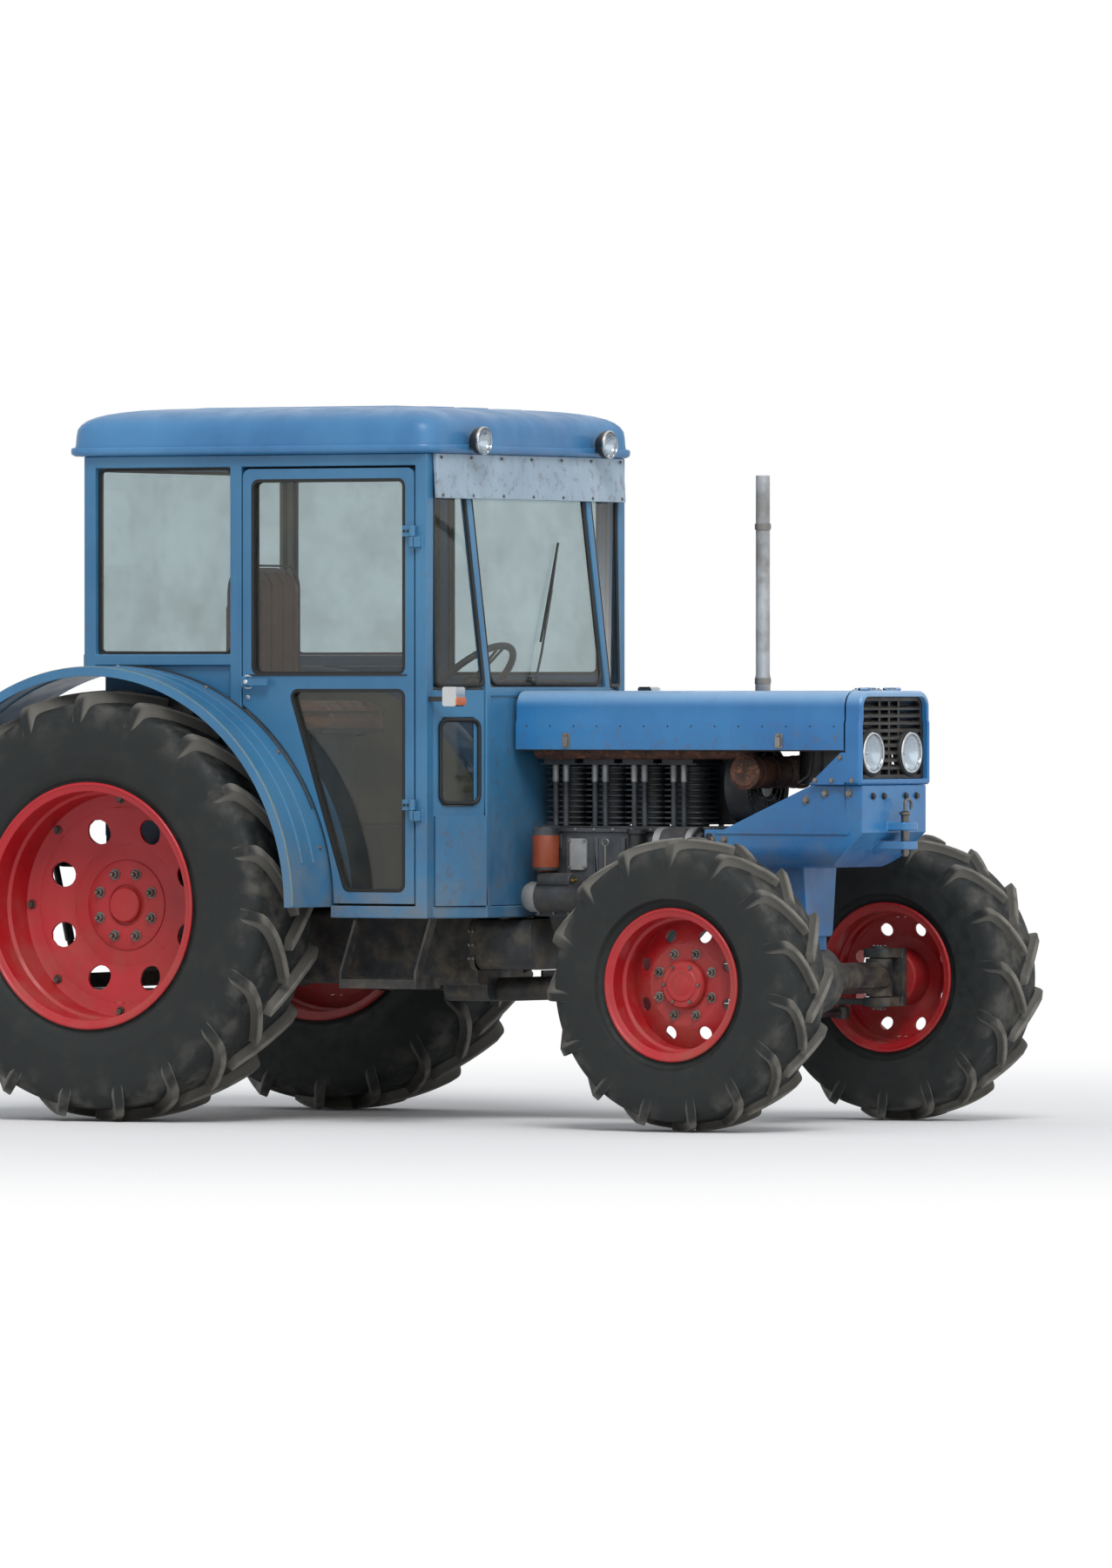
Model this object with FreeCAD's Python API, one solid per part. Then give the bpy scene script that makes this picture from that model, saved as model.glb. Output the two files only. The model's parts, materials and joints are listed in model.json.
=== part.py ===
import FreeCAD, Part
import math
import os
from FreeCAD import Vector

# A farm tractor of the 1970s: four driven wheels, an open air-cooled engine and a full cab.
# Millimetres. X forward, Y left, Z up, ground at Z = 0.
# Every X below is measured from the rear axle; export() moves it to the middle of the length.

# Running clearances
seat_gap = 0.3
pin_gap = 0.05
open_pin_gap = 1.0
swing_gap = 6.0

# Tyres and rims
REAR_TYRE = dict(rim_radius=432.0, wall_height=363.0, width=430.0, rim_half=195.0, lugs=19,
                 lug_height=40.0, lug_wide=44.0, sweep=15.5)
FRONT_TYRE = dict(rim_radius=254.0, wall_height=276.0, width=318.0, rim_half=140.0, lugs=15,
                  lug_height=30.0, lug_wide=36.0, sweep=17.0)
for tyre_size in (REAR_TYRE, FRONT_TYRE):
    tyre_size["radius"] = tyre_size["rim_radius"] + tyre_size["wall_height"]
rim_flange = 24.0
rim_lip = 16.0
rim_sheet = 10.0
# Dished discs: the flat's distance from the rim, its face and the disc's edge along Y,
# how far the back of the flat runs on, and the ring of holes, measured inwards from the rim.
REAR_DISC = dict(bore=60.0, flat_in=182.0, face=-76.0, edge=-28.0, heel=12.0, thick=12.0,
                 holes=8, hole_r=46.0, hole_in=140.0)
FRONT_DISC = dict(bore=70.0, flat_in=104.0, face=30.0, edge=-14.0, heel=-8.0, thick=12.0,
                  holes=8, hole_r=24.0, hole_in=66.0)
rear_hub_r = 118.0
rear_cap_r = 66.0
hub_cap = 24.0
front_hub_r = 104.0
front_cap_r = 88.0
rear_track = 1590.0
front_track = 1560.0
rear_axle_z = REAR_TYRE["radius"]
front_axle_z = FRONT_TYRE["radius"]

# Lengths along the tractor, forward from the rear axle
centre_back = -262.0
centre_front = 240.0
gearbox_long = 940.0
bell_long = 250.0
engine_long = 760.0
front_axle_ahead = 260.0
nose_ahead = 345.0
nose_deep = 65.0
tow_reach = 75.0
clutch_x = centre_front + gearbox_long
engine_back = clutch_x + bell_long
engine_front = engine_back + engine_long
wheelbase = engine_front + front_axle_ahead
nose_back = wheelbase + nose_ahead
nose_front = nose_back + nose_deep
tow_front = nose_front + tow_reach

# Rear axle and gearbox castings
axle_end_in = 239.0
axle_end_y = rear_track / 2.0 - axle_end_in
axle_stub_r = 45.0
axle_stub_depth = 70.0
trumpet_root_r = 135.0
trumpet_end_r = 92.0
trumpet_flange = 26.0
axle_flange = 30.0
centre_half = 200.0
centre_down = 275.0
centre_up = 140.0
centre_bottom = rear_axle_z - centre_down
centre_top = rear_axle_z + centre_up
gearbox_half = 165.0
gearbox_drop = 20.0
gearbox_bottom = centre_bottom - gearbox_drop
gearbox_top = rear_axle_z - gearbox_drop
clutch_half = 200.0
bell_drop = 50.0
bell_high = 185.0
bell_top = rear_axle_z - bell_drop
bell_bottom = bell_top - bell_high
joint_flange = 22.0
lift_wall = 46.0
cover_drop = 90.0
cover_run = 110.0
cover_half = 120.0
cover_rise = 16.0
transfer_half = 95.0
transfer_drop = 60.0
transfer_long = 190.0

# Engine
block_half = 165.0
block_drop = 25.0
block_high = 320.0
block_bottom = rear_axle_z - block_drop
block_top = block_bottom + block_high
sump_drop = 130.0
sump_half = 125.0
rib_count = 7
rib_thick = 20.0
rib_out = 10.0
pump_r = 62.0
pump_long = 190.0
pump_z = block_bottom + 160.0
filter_r = 44.0
filter_long = 175.0
filter_top = block_top - 15.0
starter_r = 54.0
starter_z = block_bottom + 60.0
oil_filter_r = 48.0
oil_filter_x = engine_back + 70.0
generator_r = 55.0
generator_z = block_top - 60.0
crank_z = block_bottom + 80.0
pulley_r = 72.0
pulley_long = 48.0
cylinder_count = 4
cylinder_first_x = engine_back + 68.0
cylinder_pitch = 168.0
barrel_r = 64.0
fin_half = 82.0
fin_corner_r = 30.0
fin_count = 11
fin_thick = 7.0
push_tube_r = 10.0
push_tube_apart = 22.0
barrel_height = 225.0
head_height = 95.0
head_fins = 5
head_fin_reach = 16.0
head_overhang = 14.0
port_overhang = 26.0
cover_height = 48.0
cover_round = 18.0
blower_r = 150.0
blower_y = 95.0
blower_z = block_top + 155.0
blower_length = 100.0
blower_wall = 12.0
fan_hub_r = 46.0
fan_pin_r = 12.0
fan_blades = 9
fan_blade_wide = 48.0
hood_outer_y = 225.0
manifold_y = -172.0
manifold_r = 30.0
port_r = 24.0
port_flange_r = 36.0
port_flange = 10.0
muffler_x = wheelbase - 105.0
muffler_z = block_top + 200.0
muffler_r = 58.0
muffler_half = 215.0
stack_x = engine_front - 65.0
stack_y = 305.0
stack_r = 26.0
stack_wall = 4.0
stack_high = 793.0
cleaner_x = wheelbase + 70.0
cleaner_y = 60.0
cleaner_r = 85.0
cleaner_high = 235.0
battery_space = 35.0
battery_long = 120.0
battery_half = 150.0
battery_high = 195.0

# Bonnet and nose
bonnet_half = 260.0
bonnet_up = 792.0
bonnet_deep = 217.0
bonnet_top = rear_axle_z + bonnet_up
bonnet_side_bottom = bonnet_top - bonnet_deep
bonnet_edge_r = 60.0
bonnet_crease = 6.0
crease_low = bonnet_top - 118.0
crease_high = bonnet_top - 106.0
bonnet_sheet = 5.0
nose_high = 342.0
nose_bottom = bonnet_top - nose_high
nose_wall = 22.0
nose_round = 10.0
cheek_long = 155.0
bonnet_hinge_r = 6.0
bonnet_pin_r = 2.5
hinge_knuckle = 60.0
hinge_leaf = 30.0
headlamp_r = 76.0
headlamp_y = 140.0
headlamp_z = nose_bottom + 117.0
grille_bars = 9
grille_depth = 24.0
grille_frame = 16.0
grille_post_y = 70.0

# Front carrier and front axle
carrier_half = 235.0
carrier_high = 300.0
carrier_bottom = nose_bottom - carrier_high
carrier_floor = 60.0
carrier_wall = 40.0
carrier_edge_r = 75.0
carrier_shoulder_z = carrier_bottom + 137.0
chin_long = 165.0
tow_bore = 16.0
tow_thick = 30.0
tow_space = 40.0
tow_half = 45.0
pedestal_half_x = 95.0
pedestal_half_y = 92.0
front_diff_r = 128.0
front_diff_half = 120.0
axle_tube_r = 58.0
axle_nose_r = 62.0
kingpin_in = 180.0
kingpin_y = front_track / 2.0 - kingpin_in
kingpin_r = 22.0
kingpin_boss_r = 50.0
kingpin_boss_half = 70.0
knuckle_plate = 34.0
spindle_r = 38.0
spindle_long = 110.0
steering_arm = 160.0
arm_thick = 22.0
tie_rod_drop = 132.0
tie_rod_z = front_axle_z - tie_rod_drop
tie_rod_r = 16.0
tie_rod_eye_r = 30.0
ball_pin_r = 10.0
shaft_guard_r = 44.0

# Rear fenders
fender_over_tyre = 85.0
fender_beside_tyre = 28.0
fender_outset = 180.0
fender_r = REAR_TYRE["radius"] + fender_over_tyre
fender_sheet = 7.0
fender_inner_y = (rear_track - REAR_TYRE["width"]) / 2.0 - fender_beside_tyre
fender_outer_y = rear_track / 2.0 + fender_outset
fender_lip = 34.0
fender_start = 0.0
fender_end = 152.0
axle_notch_r = 150.0

# Cab
cab_over_fender = 158.0
cab_half = fender_inner_y + cab_over_fender
post = 50.0
a_post_behind = 160.0
a_post_x = engine_back - a_post_behind
b_post_x = 470.0
c_post_x = -170.0
waist_bottom = rear_axle_z + fender_r + 5.0
waist_high = 42.0
window_rise = 775.0
rail_top = waist_bottom + window_rise
rail_high = 45.0
sill_top = rear_axle_z + 5.0
sill_high = 45.0
screen_foot_x = engine_back - 40.0
screen_head_x = screen_foot_x - 105.0
screen_corner = 300.0
screen_half = cab_half - screen_corner
screen_post = 34.0
screen_deep = 30.0
screen_foot_z = bonnet_top + 13.0
bonnet_back = screen_foot_x + 12.0
corner_glass_low = sill_top + 365.0
corner_glass_high = screen_foot_z - 110.0
corner_rim = 34.0
header_bottom = rail_top - 165.0
header_thick = 18.0
header_short = 40.0
floor_top = sill_top + 30.0
floor_thick = 30.0
deck_up = 285.0
deck_top = rear_axle_z + deck_up
deck_front = b_post_x - 20.0
cab_mount_r = 38.0
cab_mount_y = fender_inner_y - 172.0
cab_front_mount_x = engine_back - 140.0
cab_front_mount_y = 130.0
panel_sheet = 8.0
cab_back = c_post_x - post / 2.0 - panel_sheet - seat_gap
glass_thick = 6.0
pane_gap = 0.5
pane_in = 30.0
roof_back = c_post_x - 100.0
roof_front = a_post_x + 65.0
roof_over = 35.0
roof_half = cab_half + roof_over
roof_bottom = rail_top + seat_gap
roof_high = 184.7
roof_corner = 90.0

# Doors
door_gap = 5.0
door_thick = 36.0
door_bottom = sill_top + 8.0
door_top = rail_top - 53.0
door_frame = 42.0
door_mid_bottom = waist_bottom - 90.0
door_mid_top = waist_bottom - 30.0
door_fender_gap = 14.0
door_arc_rim = 20.0
hinge_out = 14.0
hinge_pin_r = 7.0
hinge_barrel_r = 13.0
hinge_heights = (door_bottom + 342.0, door_top - 252.0)
hinge_long = 40.0
handle_long = 104.0

# Steps
step_front_x = a_post_x + 35.0
step_long = 330.0
step_z = sill_top - 300.0
step_out = 150.0
step_in = 20.0
step_sheet = 10.0
step_slots = 6

# Seat and controls
seat_back_x = c_post_x + 282.0
seat_long = 352.0
seat_half = 240.0
seat_low = deck_top + 350.0
seat_high = 104.0
seat_pan = 14.0
back_high = 504.0
back_thick = 88.0
wheel_ring_r = 205.0
wheel_grip_r = 14.0
wheel_hub_r = 40.0
wheel_lift = 17.5
column_r = 24.0
column_foot = (engine_back - 190.0, floor_top + 570.0)
column_head = (engine_back - 378.0, floor_top + 770.0)
dash_half = 190.0
side_box_y = -340.0
side_box_half = 48.0
side_box_high = 380.0
side_box_long = 280.0
lever_long = 150.0
lever_r = 7.0
knob_r = 16.0
knob_long = 34.0
pedal_r = 9.0
pedal_high = 170.0
pedal_places = (235.0, -225.0, -292.0)

# Fuel tank
tank_inner_y = 215.0
tank_outer_y = fender_inner_y - 52.0
tank_back_x = centre_front + 180.0
tank_long = 540.0
tank_bottom = gearbox_bottom - 30.0
tank_top = gearbox_top - 5.0
tank_cap_r = 40.0

# Lamps
lamp_drum = 50.0
work_lamp_r = 52.0
work_lamp_y = cab_half - 260.0
work_lamp_z = rail_top + 47.0
side_lamp_high = 72.0
side_lamp_long = 68.0
tail_lamp_high = 90.0

# Linkage and drawbar
link_pivot_x = -110.0
link_pivot_z = centre_bottom
link_root_y = 250.0
link_tip_y = 410.0
link_length = 830.0
link_drop = 40.0
link_high = 56.0
link_thick = 18.0
link_eye_r = 38.0
link_eye_bore = 14.35
link_pin_r = 14.0
lift_reach = 340.0
lift_drop = 20.0
rockshaft_x = -215.0
rockshaft_z = centre_top + 40.0
rockshaft_r = 34.0
lift_arm_thick = 26.0
rod_r = 13.0
rod_sleeve_r = 18.0
rod_eye_r = 30.0
rod_offset = 42.0
rod_pin_r = 10.0
drawbar_tip_x = -640.0
drawbar_z = centre_bottom - 80.0
drawbar_thick = 30.0
drawbar_half = 38.0
drawbar_bore = 16.0
hanger_half = 150.0
pto_z = centre_bottom + 130.0
pto_r = 17.45
pto_long = 80.0
pto_collar_r = 62.0
shield_half = 70.0
top_link_z = centre_top - 50.0
top_link_x = centre_back - 34.0
top_link_bore = 12.75

rear_reach = link_length - link_pivot_x + link_eye_r
front_reach = max(tow_front, wheelbase + FRONT_TYRE["radius"])
shift_x = (rear_reach - front_reach) / 2.0


# Basic solids

def box(x0, x1, y0, y1, z0, z1):
    return Part.makeBox(x1 - x0, y1 - y0, z1 - z0, Vector(x0, y0, z0))


def rod(start, end, radius):
    a = Vector(*start)
    b = Vector(*end)
    return Part.makeCylinder(radius, (b - a).Length, a, b - a)


def lengthwise(x0, x1, y, z, radius):
    # A round bar along the tractor.
    return rod((x0, y, z), (x1, y, z), radius)


def across(x, y0, y1, z, radius):
    # A round bar across the tractor.
    return rod((x, y0, z), (x, y1, z), radius)


def upright(x, y, z0, z1, radius):
    # A round bar that stands up.
    return rod((x, y, z0), (x, y, z1), radius)


def fuse(shapes):
    whole = shapes[0]
    if len(shapes) > 1:
        whole = whole.fuse(shapes[1:])
    return whole.removeSplitter()


def mirror_y(shape):
    return shape.mirror(Vector(0, 0, 0), Vector(0, 1, 0))


def both_sides(shape):
    return [shape, mirror_y(shape)]


def place(shape, x, y, z):
    moved = shape.copy()
    moved.translate(Vector(x, y, z))
    return moved


def rectangle(a0, a1, b0, b1):
    return [(a0, b0), (a1, b0), (a1, b1), (a0, b1)]


def wire_of(points, radii=None):
    # A closed outline of straight runs whose corners are rounded by tangent arcs.
    points = [Vector(*p) for p in points]
    count = len(points)
    radii = radii or [0.0] * count
    entries = []
    for i, corner in enumerate(points):
        back = (points[i - 1] - corner).normalize()
        ahead = (points[(i + 1) % count] - corner).normalize()
        if radii[i] <= 0:
            entries.append((corner, corner, corner))
            continue
        half = back.getAngle(ahead) / 2.0
        reach = radii[i] / math.tan(half)
        middle = (back + ahead).normalize()
        crown = corner + middle * (radii[i] / math.sin(half) - radii[i])
        entries.append((corner + back * reach, crown, corner + ahead * reach))
    edges = []
    for i, (first, crown, last) in enumerate(entries):
        if radii[i] > 0:
            edges.append(Part.Arc(first, crown, last).toShape())
        following = entries[(i + 1) % count][0]
        if (following - last).Length > 1e-6:
            edges.append(Part.LineSegment(last, following).toShape())
    return Part.Wire(edges)


def prism(points, along, radii=None):
    return Part.Face(wire_of(points, radii)).extrude(Vector(*along))


def prism_x(outline, x0, x1, radii=None):
    return prism([(x0, y, z) for y, z in outline], (x1 - x0, 0, 0), radii)


def prism_y(outline, y0, y1, radii=None):
    return prism([(x, y0, z) for x, z in outline], (0, y1 - y0, 0), radii)


def prism_z(outline, z0, z1, radii=None):
    return prism([(x, y, z0) for x, y in outline], (0, 0, z1 - z0), radii)


def loft_x(sections):
    # sections: (place along X, outline in Y and Z, corner radii)
    wires = [wire_of([(x, y, z) for y, z in outline], radii) for x, outline, radii in sections]
    return Part.makeLoft(wires, True, True)


def loft_z(sections):
    # sections: (height, outline in X and Y, corner radii)
    wires = [wire_of([(x, y, z) for x, y in outline], radii) for z, outline, radii in sections]
    return Part.makeLoft(wires, True, True)


def pipe(points, radius, bend):
    # Straight runs joined by tangent arcs of one bend radius.
    points = [Vector(*p) for p in points]
    edges = []
    start = points[0]
    for i in range(1, len(points) - 1):
        corner = points[i]
        back = (points[i - 1] - corner).normalize()
        ahead = (points[i + 1] - corner).normalize()
        half = back.getAngle(ahead) / 2.0
        reach = bend / math.tan(half)
        crown = corner + (back + ahead).normalize() * (bend / math.sin(half) - bend)
        first = corner + back * reach
        last = corner + ahead * reach
        edges.append(Part.LineSegment(start, first).toShape())
        edges.append(Part.Arc(first, crown, last).toShape())
        start = last
    edges.append(Part.LineSegment(start, points[-1]).toShape())
    path = Part.Wire(edges)
    tangent = (points[1] - points[0]).normalize()
    ring_wire = Part.Wire([Part.makeCircle(radius, points[0], tangent)])
    return path.makePipeShell([ring_wire], True, False)


def sector(r0, r1, a0, a1, y0, y1):
    # A curved plate about the rear axle, angles in degrees from straight ahead.
    def point(radius, angle):
        turn = math.radians(angle)
        return Vector(radius * math.cos(turn), y0, rear_axle_z + radius * math.sin(turn))
    mid = (a0 + a1) / 2.0
    edges = [
        Part.Arc(point(r1, a0), point(r1, mid), point(r1, a1)).toShape(),
        Part.LineSegment(point(r1, a1), point(r0, a1)).toShape(),
        Part.Arc(point(r0, a1), point(r0, mid), point(r0, a0)).toShape(),
        Part.LineSegment(point(r0, a0), point(r1, a0)).toShape(),
    ]
    return Part.Face(Part.Wire(edges)).extrude(Vector(0, y1 - y0, 0))


def export(name, shapes):
    shapes = shapes if isinstance(shapes, list) else [shapes]
    whole = Part.makeCompound(shapes) if len(shapes) > 1 else shapes[0]
    whole = whole.copy()
    whole.translate(Vector(shift_x, 0, 0))
    whole.exportStep("parts/%s.step" % name)


# Wheels

def triangle(a, b, c):
    return Part.Face(Part.makePolygon([a, b, c, a]))


def solid_of(faces):
    shell = Part.makeShell(faces)
    shell.sewShape()
    solid = Part.makeSolid(shell)
    if solid.Volume < 0:
        solid.reverse()
    return solid


def ring(profile, sides):
    # A many-sided ring about the Y axis; profile holds (radius, y).
    def point(radius, y, step):
        turn = 2.0 * math.pi * step / sides
        return Vector(radius * math.cos(turn), y, radius * math.sin(turn))
    faces = []
    for step in range(sides):
        for k, (r0, y0) in enumerate(profile):
            r1, y1 = profile[(k + 1) % len(profile)]
            quad = [point(r0, y0, step), point(r1, y1, step),
                    point(r1, y1, step + 1), point(r0, y0, step + 1)]
            faces.append(Part.Face(Part.makePolygon(quad + [quad[0]])))
    return solid_of(faces)


def tyre(size):
    # One closed skin: the carcass, with its lugs raised from it row by row.
    radius = size["radius"]
    floor_r = radius - size["lug_height"]
    half = size["width"] / 2.0
    bead_r = size["rim_radius"] + seat_gap
    bead_half = size["rim_half"] - rim_lip - seat_gap
    flange_r = size["rim_radius"] + rim_flange
    sweep = math.radians(size["sweep"])
    pitch = 2.0 * math.pi / size["lugs"]
    half_lug = size["lug_wide"] / 2.0 / radius
    taper = 0.82
    # Rows from the middle out: y, carcass radius, lug radius, share of the sweep.
    rows = (
        (0.0, floor_r, radius, 0.0),
        (half * 0.48, floor_r - 3.0, radius - 2.0, 0.62),
        (half * 0.90, floor_r - 20.0, radius - 16.0, 1.0),
        (half * 0.985, floor_r - 78.0, None, 1.1),
    )
    # Rows below the lugs: y, radius.
    wall = (
        (half, (floor_r + flange_r) / 2.0 - 12.0),
        (bead_half + 8.0, flange_r + 16.0),
        (bead_half, flange_r + 4.0),
        (bead_half, bead_r),
    )

    def at(y, r, turn):
        return Vector(r * math.cos(turn), y, r * math.sin(turn))

    faces = []
    for side in (1, -1):
        phase = 0.0 if side > 0 else pitch / 2.0
        for n in range(size["lugs"]):
            start = phase + n * pitch

            def low(k, edge, extra=0.0):
                y, r, _, share = rows[k]
                return at(side * y, r, start + extra + share * sweep + edge * half_lug)

            def high(k, edge):
                y, _, r, share = rows[k]
                return at(side * y, r, start + share * sweep + edge * half_lug * taper)

            quads = []
            for k in (0, 1):
                quads.append((high(k, -1), high(k, 1), high(k + 1, 1), high(k + 1, -1)))
                quads.append((low(k, -1), high(k, -1), high(k + 1, -1), low(k + 1, -1)))
                quads.append((high(k, 1), low(k, 1), low(k + 1, 1), high(k + 1, 1)))
            quads.append((high(2, -1), high(2, 1), low(3, 1), low(3, -1)))
            quads.append((low(0, -1), low(0, 1), high(0, 1), high(0, -1)))
            faces.append(triangle(low(2, -1), high(2, -1), low(3, -1)))
            faces.append(triangle(high(2, 1), low(2, 1), low(3, 1)))
            for k in (1, 2):
                quads.append((low(k, 1), low(k, -1, pitch), low(k + 1, -1, pitch), low(k + 1, 1)))
            for a, b, c, d in quads:
                faces.append(triangle(a, b, c))
                faces.append(triangle(a, c, d))
            other_a = low(0, -1, pitch / 2.0)
            other_b = low(0, 1, pitch / 2.0)
            faces.append(triangle(low(0, 1), other_a, low(1, 1)))
            faces.append(triangle(other_a, other_b, low(1, 1)))
            faces.append(triangle(other_b, low(1, -1, pitch), low(1, 1)))
            faces.append(triangle(other_b, low(0, -1, pitch), low(1, -1, pitch)))
            edge_row = (low(3, -1), low(3, 1), low(3, -1, pitch))
            for j in (0, 1):
                turn = start + sweep + (j - 0.25) * pitch / 2.0
                y, r = wall[0]
                top = (at(side * y, r, turn), at(side * y, r, turn + pitch / 2.0))
                faces.append(triangle(edge_row[j], top[0], edge_row[j + 1]))
                faces.append(triangle(edge_row[j + 1], top[0], top[1]))
                for (ya, ra), (yb, rb) in zip(wall, wall[1:]):
                    a = at(side * ya, ra, turn)
                    b = at(side * ya, ra, turn + pitch / 2.0)
                    c = at(side * yb, rb, turn + pitch / 2.0)
                    d = at(side * yb, rb, turn)
                    faces.append(Part.Face(Part.makePolygon([a, b, c, d, a])))
    y, r = wall[-1]
    for step in range(2 * size["lugs"]):
        turn = sweep + (step - 0.25) * pitch / 2.0
        a = at(y, r, turn)
        b = at(y, r, turn + pitch / 2.0)
        c = at(-y, r, turn + pitch / 2.0)
        d = at(-y, r, turn)
        faces.append(Part.Face(Part.makePolygon([a, b, c, d, a])))
    return solid_of(faces)


def rim(size, disc, hub):
    # hub: rows of (radius, y0, y1).
    sides = 2 * size["lugs"]
    base = size["rim_radius"]
    top = base + rim_flange
    half = size["rim_half"]
    inner = base - rim_sheet
    channel = [(top, -half), (top, -half + rim_lip), (base, -half + rim_lip), (base, half - rim_lip),
               (top, half - rim_lip), (top, half), (inner, half), (inner, -half)]
    flat = base - disc["flat_in"]
    face = disc["face"]
    back = face - disc["thick"]
    dish = [(disc["bore"], back), (disc["bore"], face), (flat, face), (inner + 1.0, disc["edge"]),
            (inner + 1.0, disc["edge"] - disc["thick"]), (flat + disc["heel"], back)]
    body = ring(channel, sides)
    plate = ring(dish, sides)
    turn = math.degrees(math.radians(size["sweep"]) - 0.125 * 2.0 * math.pi / size["lugs"])
    for shape in (body, plate):
        shape.rotate(Vector(0, 0, 0), Vector(0, 1, 0), -turn)
    hole_at = base - disc["hole_in"]
    cuts = []
    for n in range(disc["holes"]):
        angle = 2.0 * math.pi * (n + 0.5) / disc["holes"]
        x = hole_at * math.cos(angle)
        z = hole_at * math.sin(angle)
        cuts.append(across(x, -half, half, z, disc["hole_r"]))
    plate = plate.cut(Part.makeCompound(cuts))
    hubs = [across(0, y0, y1, 0, r) for r, y0, y1 in hub]
    return body.fuse([plate] + hubs)


def export_wheels(end, wheel_tyre, wheel_rim):
    export("tyre_%s_left" % end, wheel_tyre)
    export("rim_%s_left" % end, wheel_rim)
    export("tyre_%s_right" % end, mirror_y(wheel_tyre))
    export("rim_%s_right" % end, mirror_y(wheel_rim))


def build_rear_wheels():
    face_y = rear_track / 2.0
    face = REAR_DISC["face"]
    hub = ((rear_hub_r, axle_end_y + seat_gap - face_y, face),
           (rear_cap_r, face - 4.0, face + hub_cap),
           (axle_stub_r, axle_end_y - axle_stub_depth - face_y, face - 4.0))
    export_wheels("rear", place(tyre(REAR_TYRE), 0, face_y, rear_axle_z),
                  place(rim(REAR_TYRE, REAR_DISC, hub), 0, face_y, rear_axle_z))


def build_front_wheels():
    face_y = front_track / 2.0
    face = FRONT_DISC["face"]
    hub_start = kingpin_y + kingpin_boss_r + knuckle_plate + seat_gap - face_y
    hub = ((front_hub_r, hub_start, face - 8.0), (front_cap_r, face - 10.0, face + hub_cap + 10.0))
    spindle_tip = hub_start - seat_gap + spindle_long
    bore = across(0, hub_start - 1.0, spindle_tip + 4.0, 0, spindle_r + pin_gap)
    wheel_rim = rim(FRONT_TYRE, FRONT_DISC, hub).cut(bore)
    export_wheels("front", place(tyre(FRONT_TYRE), wheelbase, face_y, front_axle_z),
                  place(wheel_rim, wheelbase, face_y, front_axle_z))


# Rear axle, gearbox, linkage

def build_rear_axle():
    root_y = centre_half + seat_gap
    trumpet = Part.makeCone(trumpet_root_r, trumpet_end_r, axle_end_y - axle_flange - root_y,
                            Vector(0, root_y, rear_axle_z), Vector(0, 1, 0))
    flange = across(0, root_y, root_y + trumpet_flange, rear_axle_z, trumpet_root_r + 22.0)
    end = across(0, axle_end_y - axle_flange, axle_end_y, rear_axle_z, trumpet_end_r + 14.0)
    mount = upright(0, cab_mount_y, rear_axle_z, deck_top - floor_thick - seat_gap, cab_mount_r)
    bore = across(0, axle_end_y - axle_stub_depth - 4.0, axle_end_y + 1.0, rear_axle_z,
                  axle_stub_r + pin_gap)
    export("rear_axle_housing", both_sides(fuse([trumpet, flange, end, mount]).cut(bore)))


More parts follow.
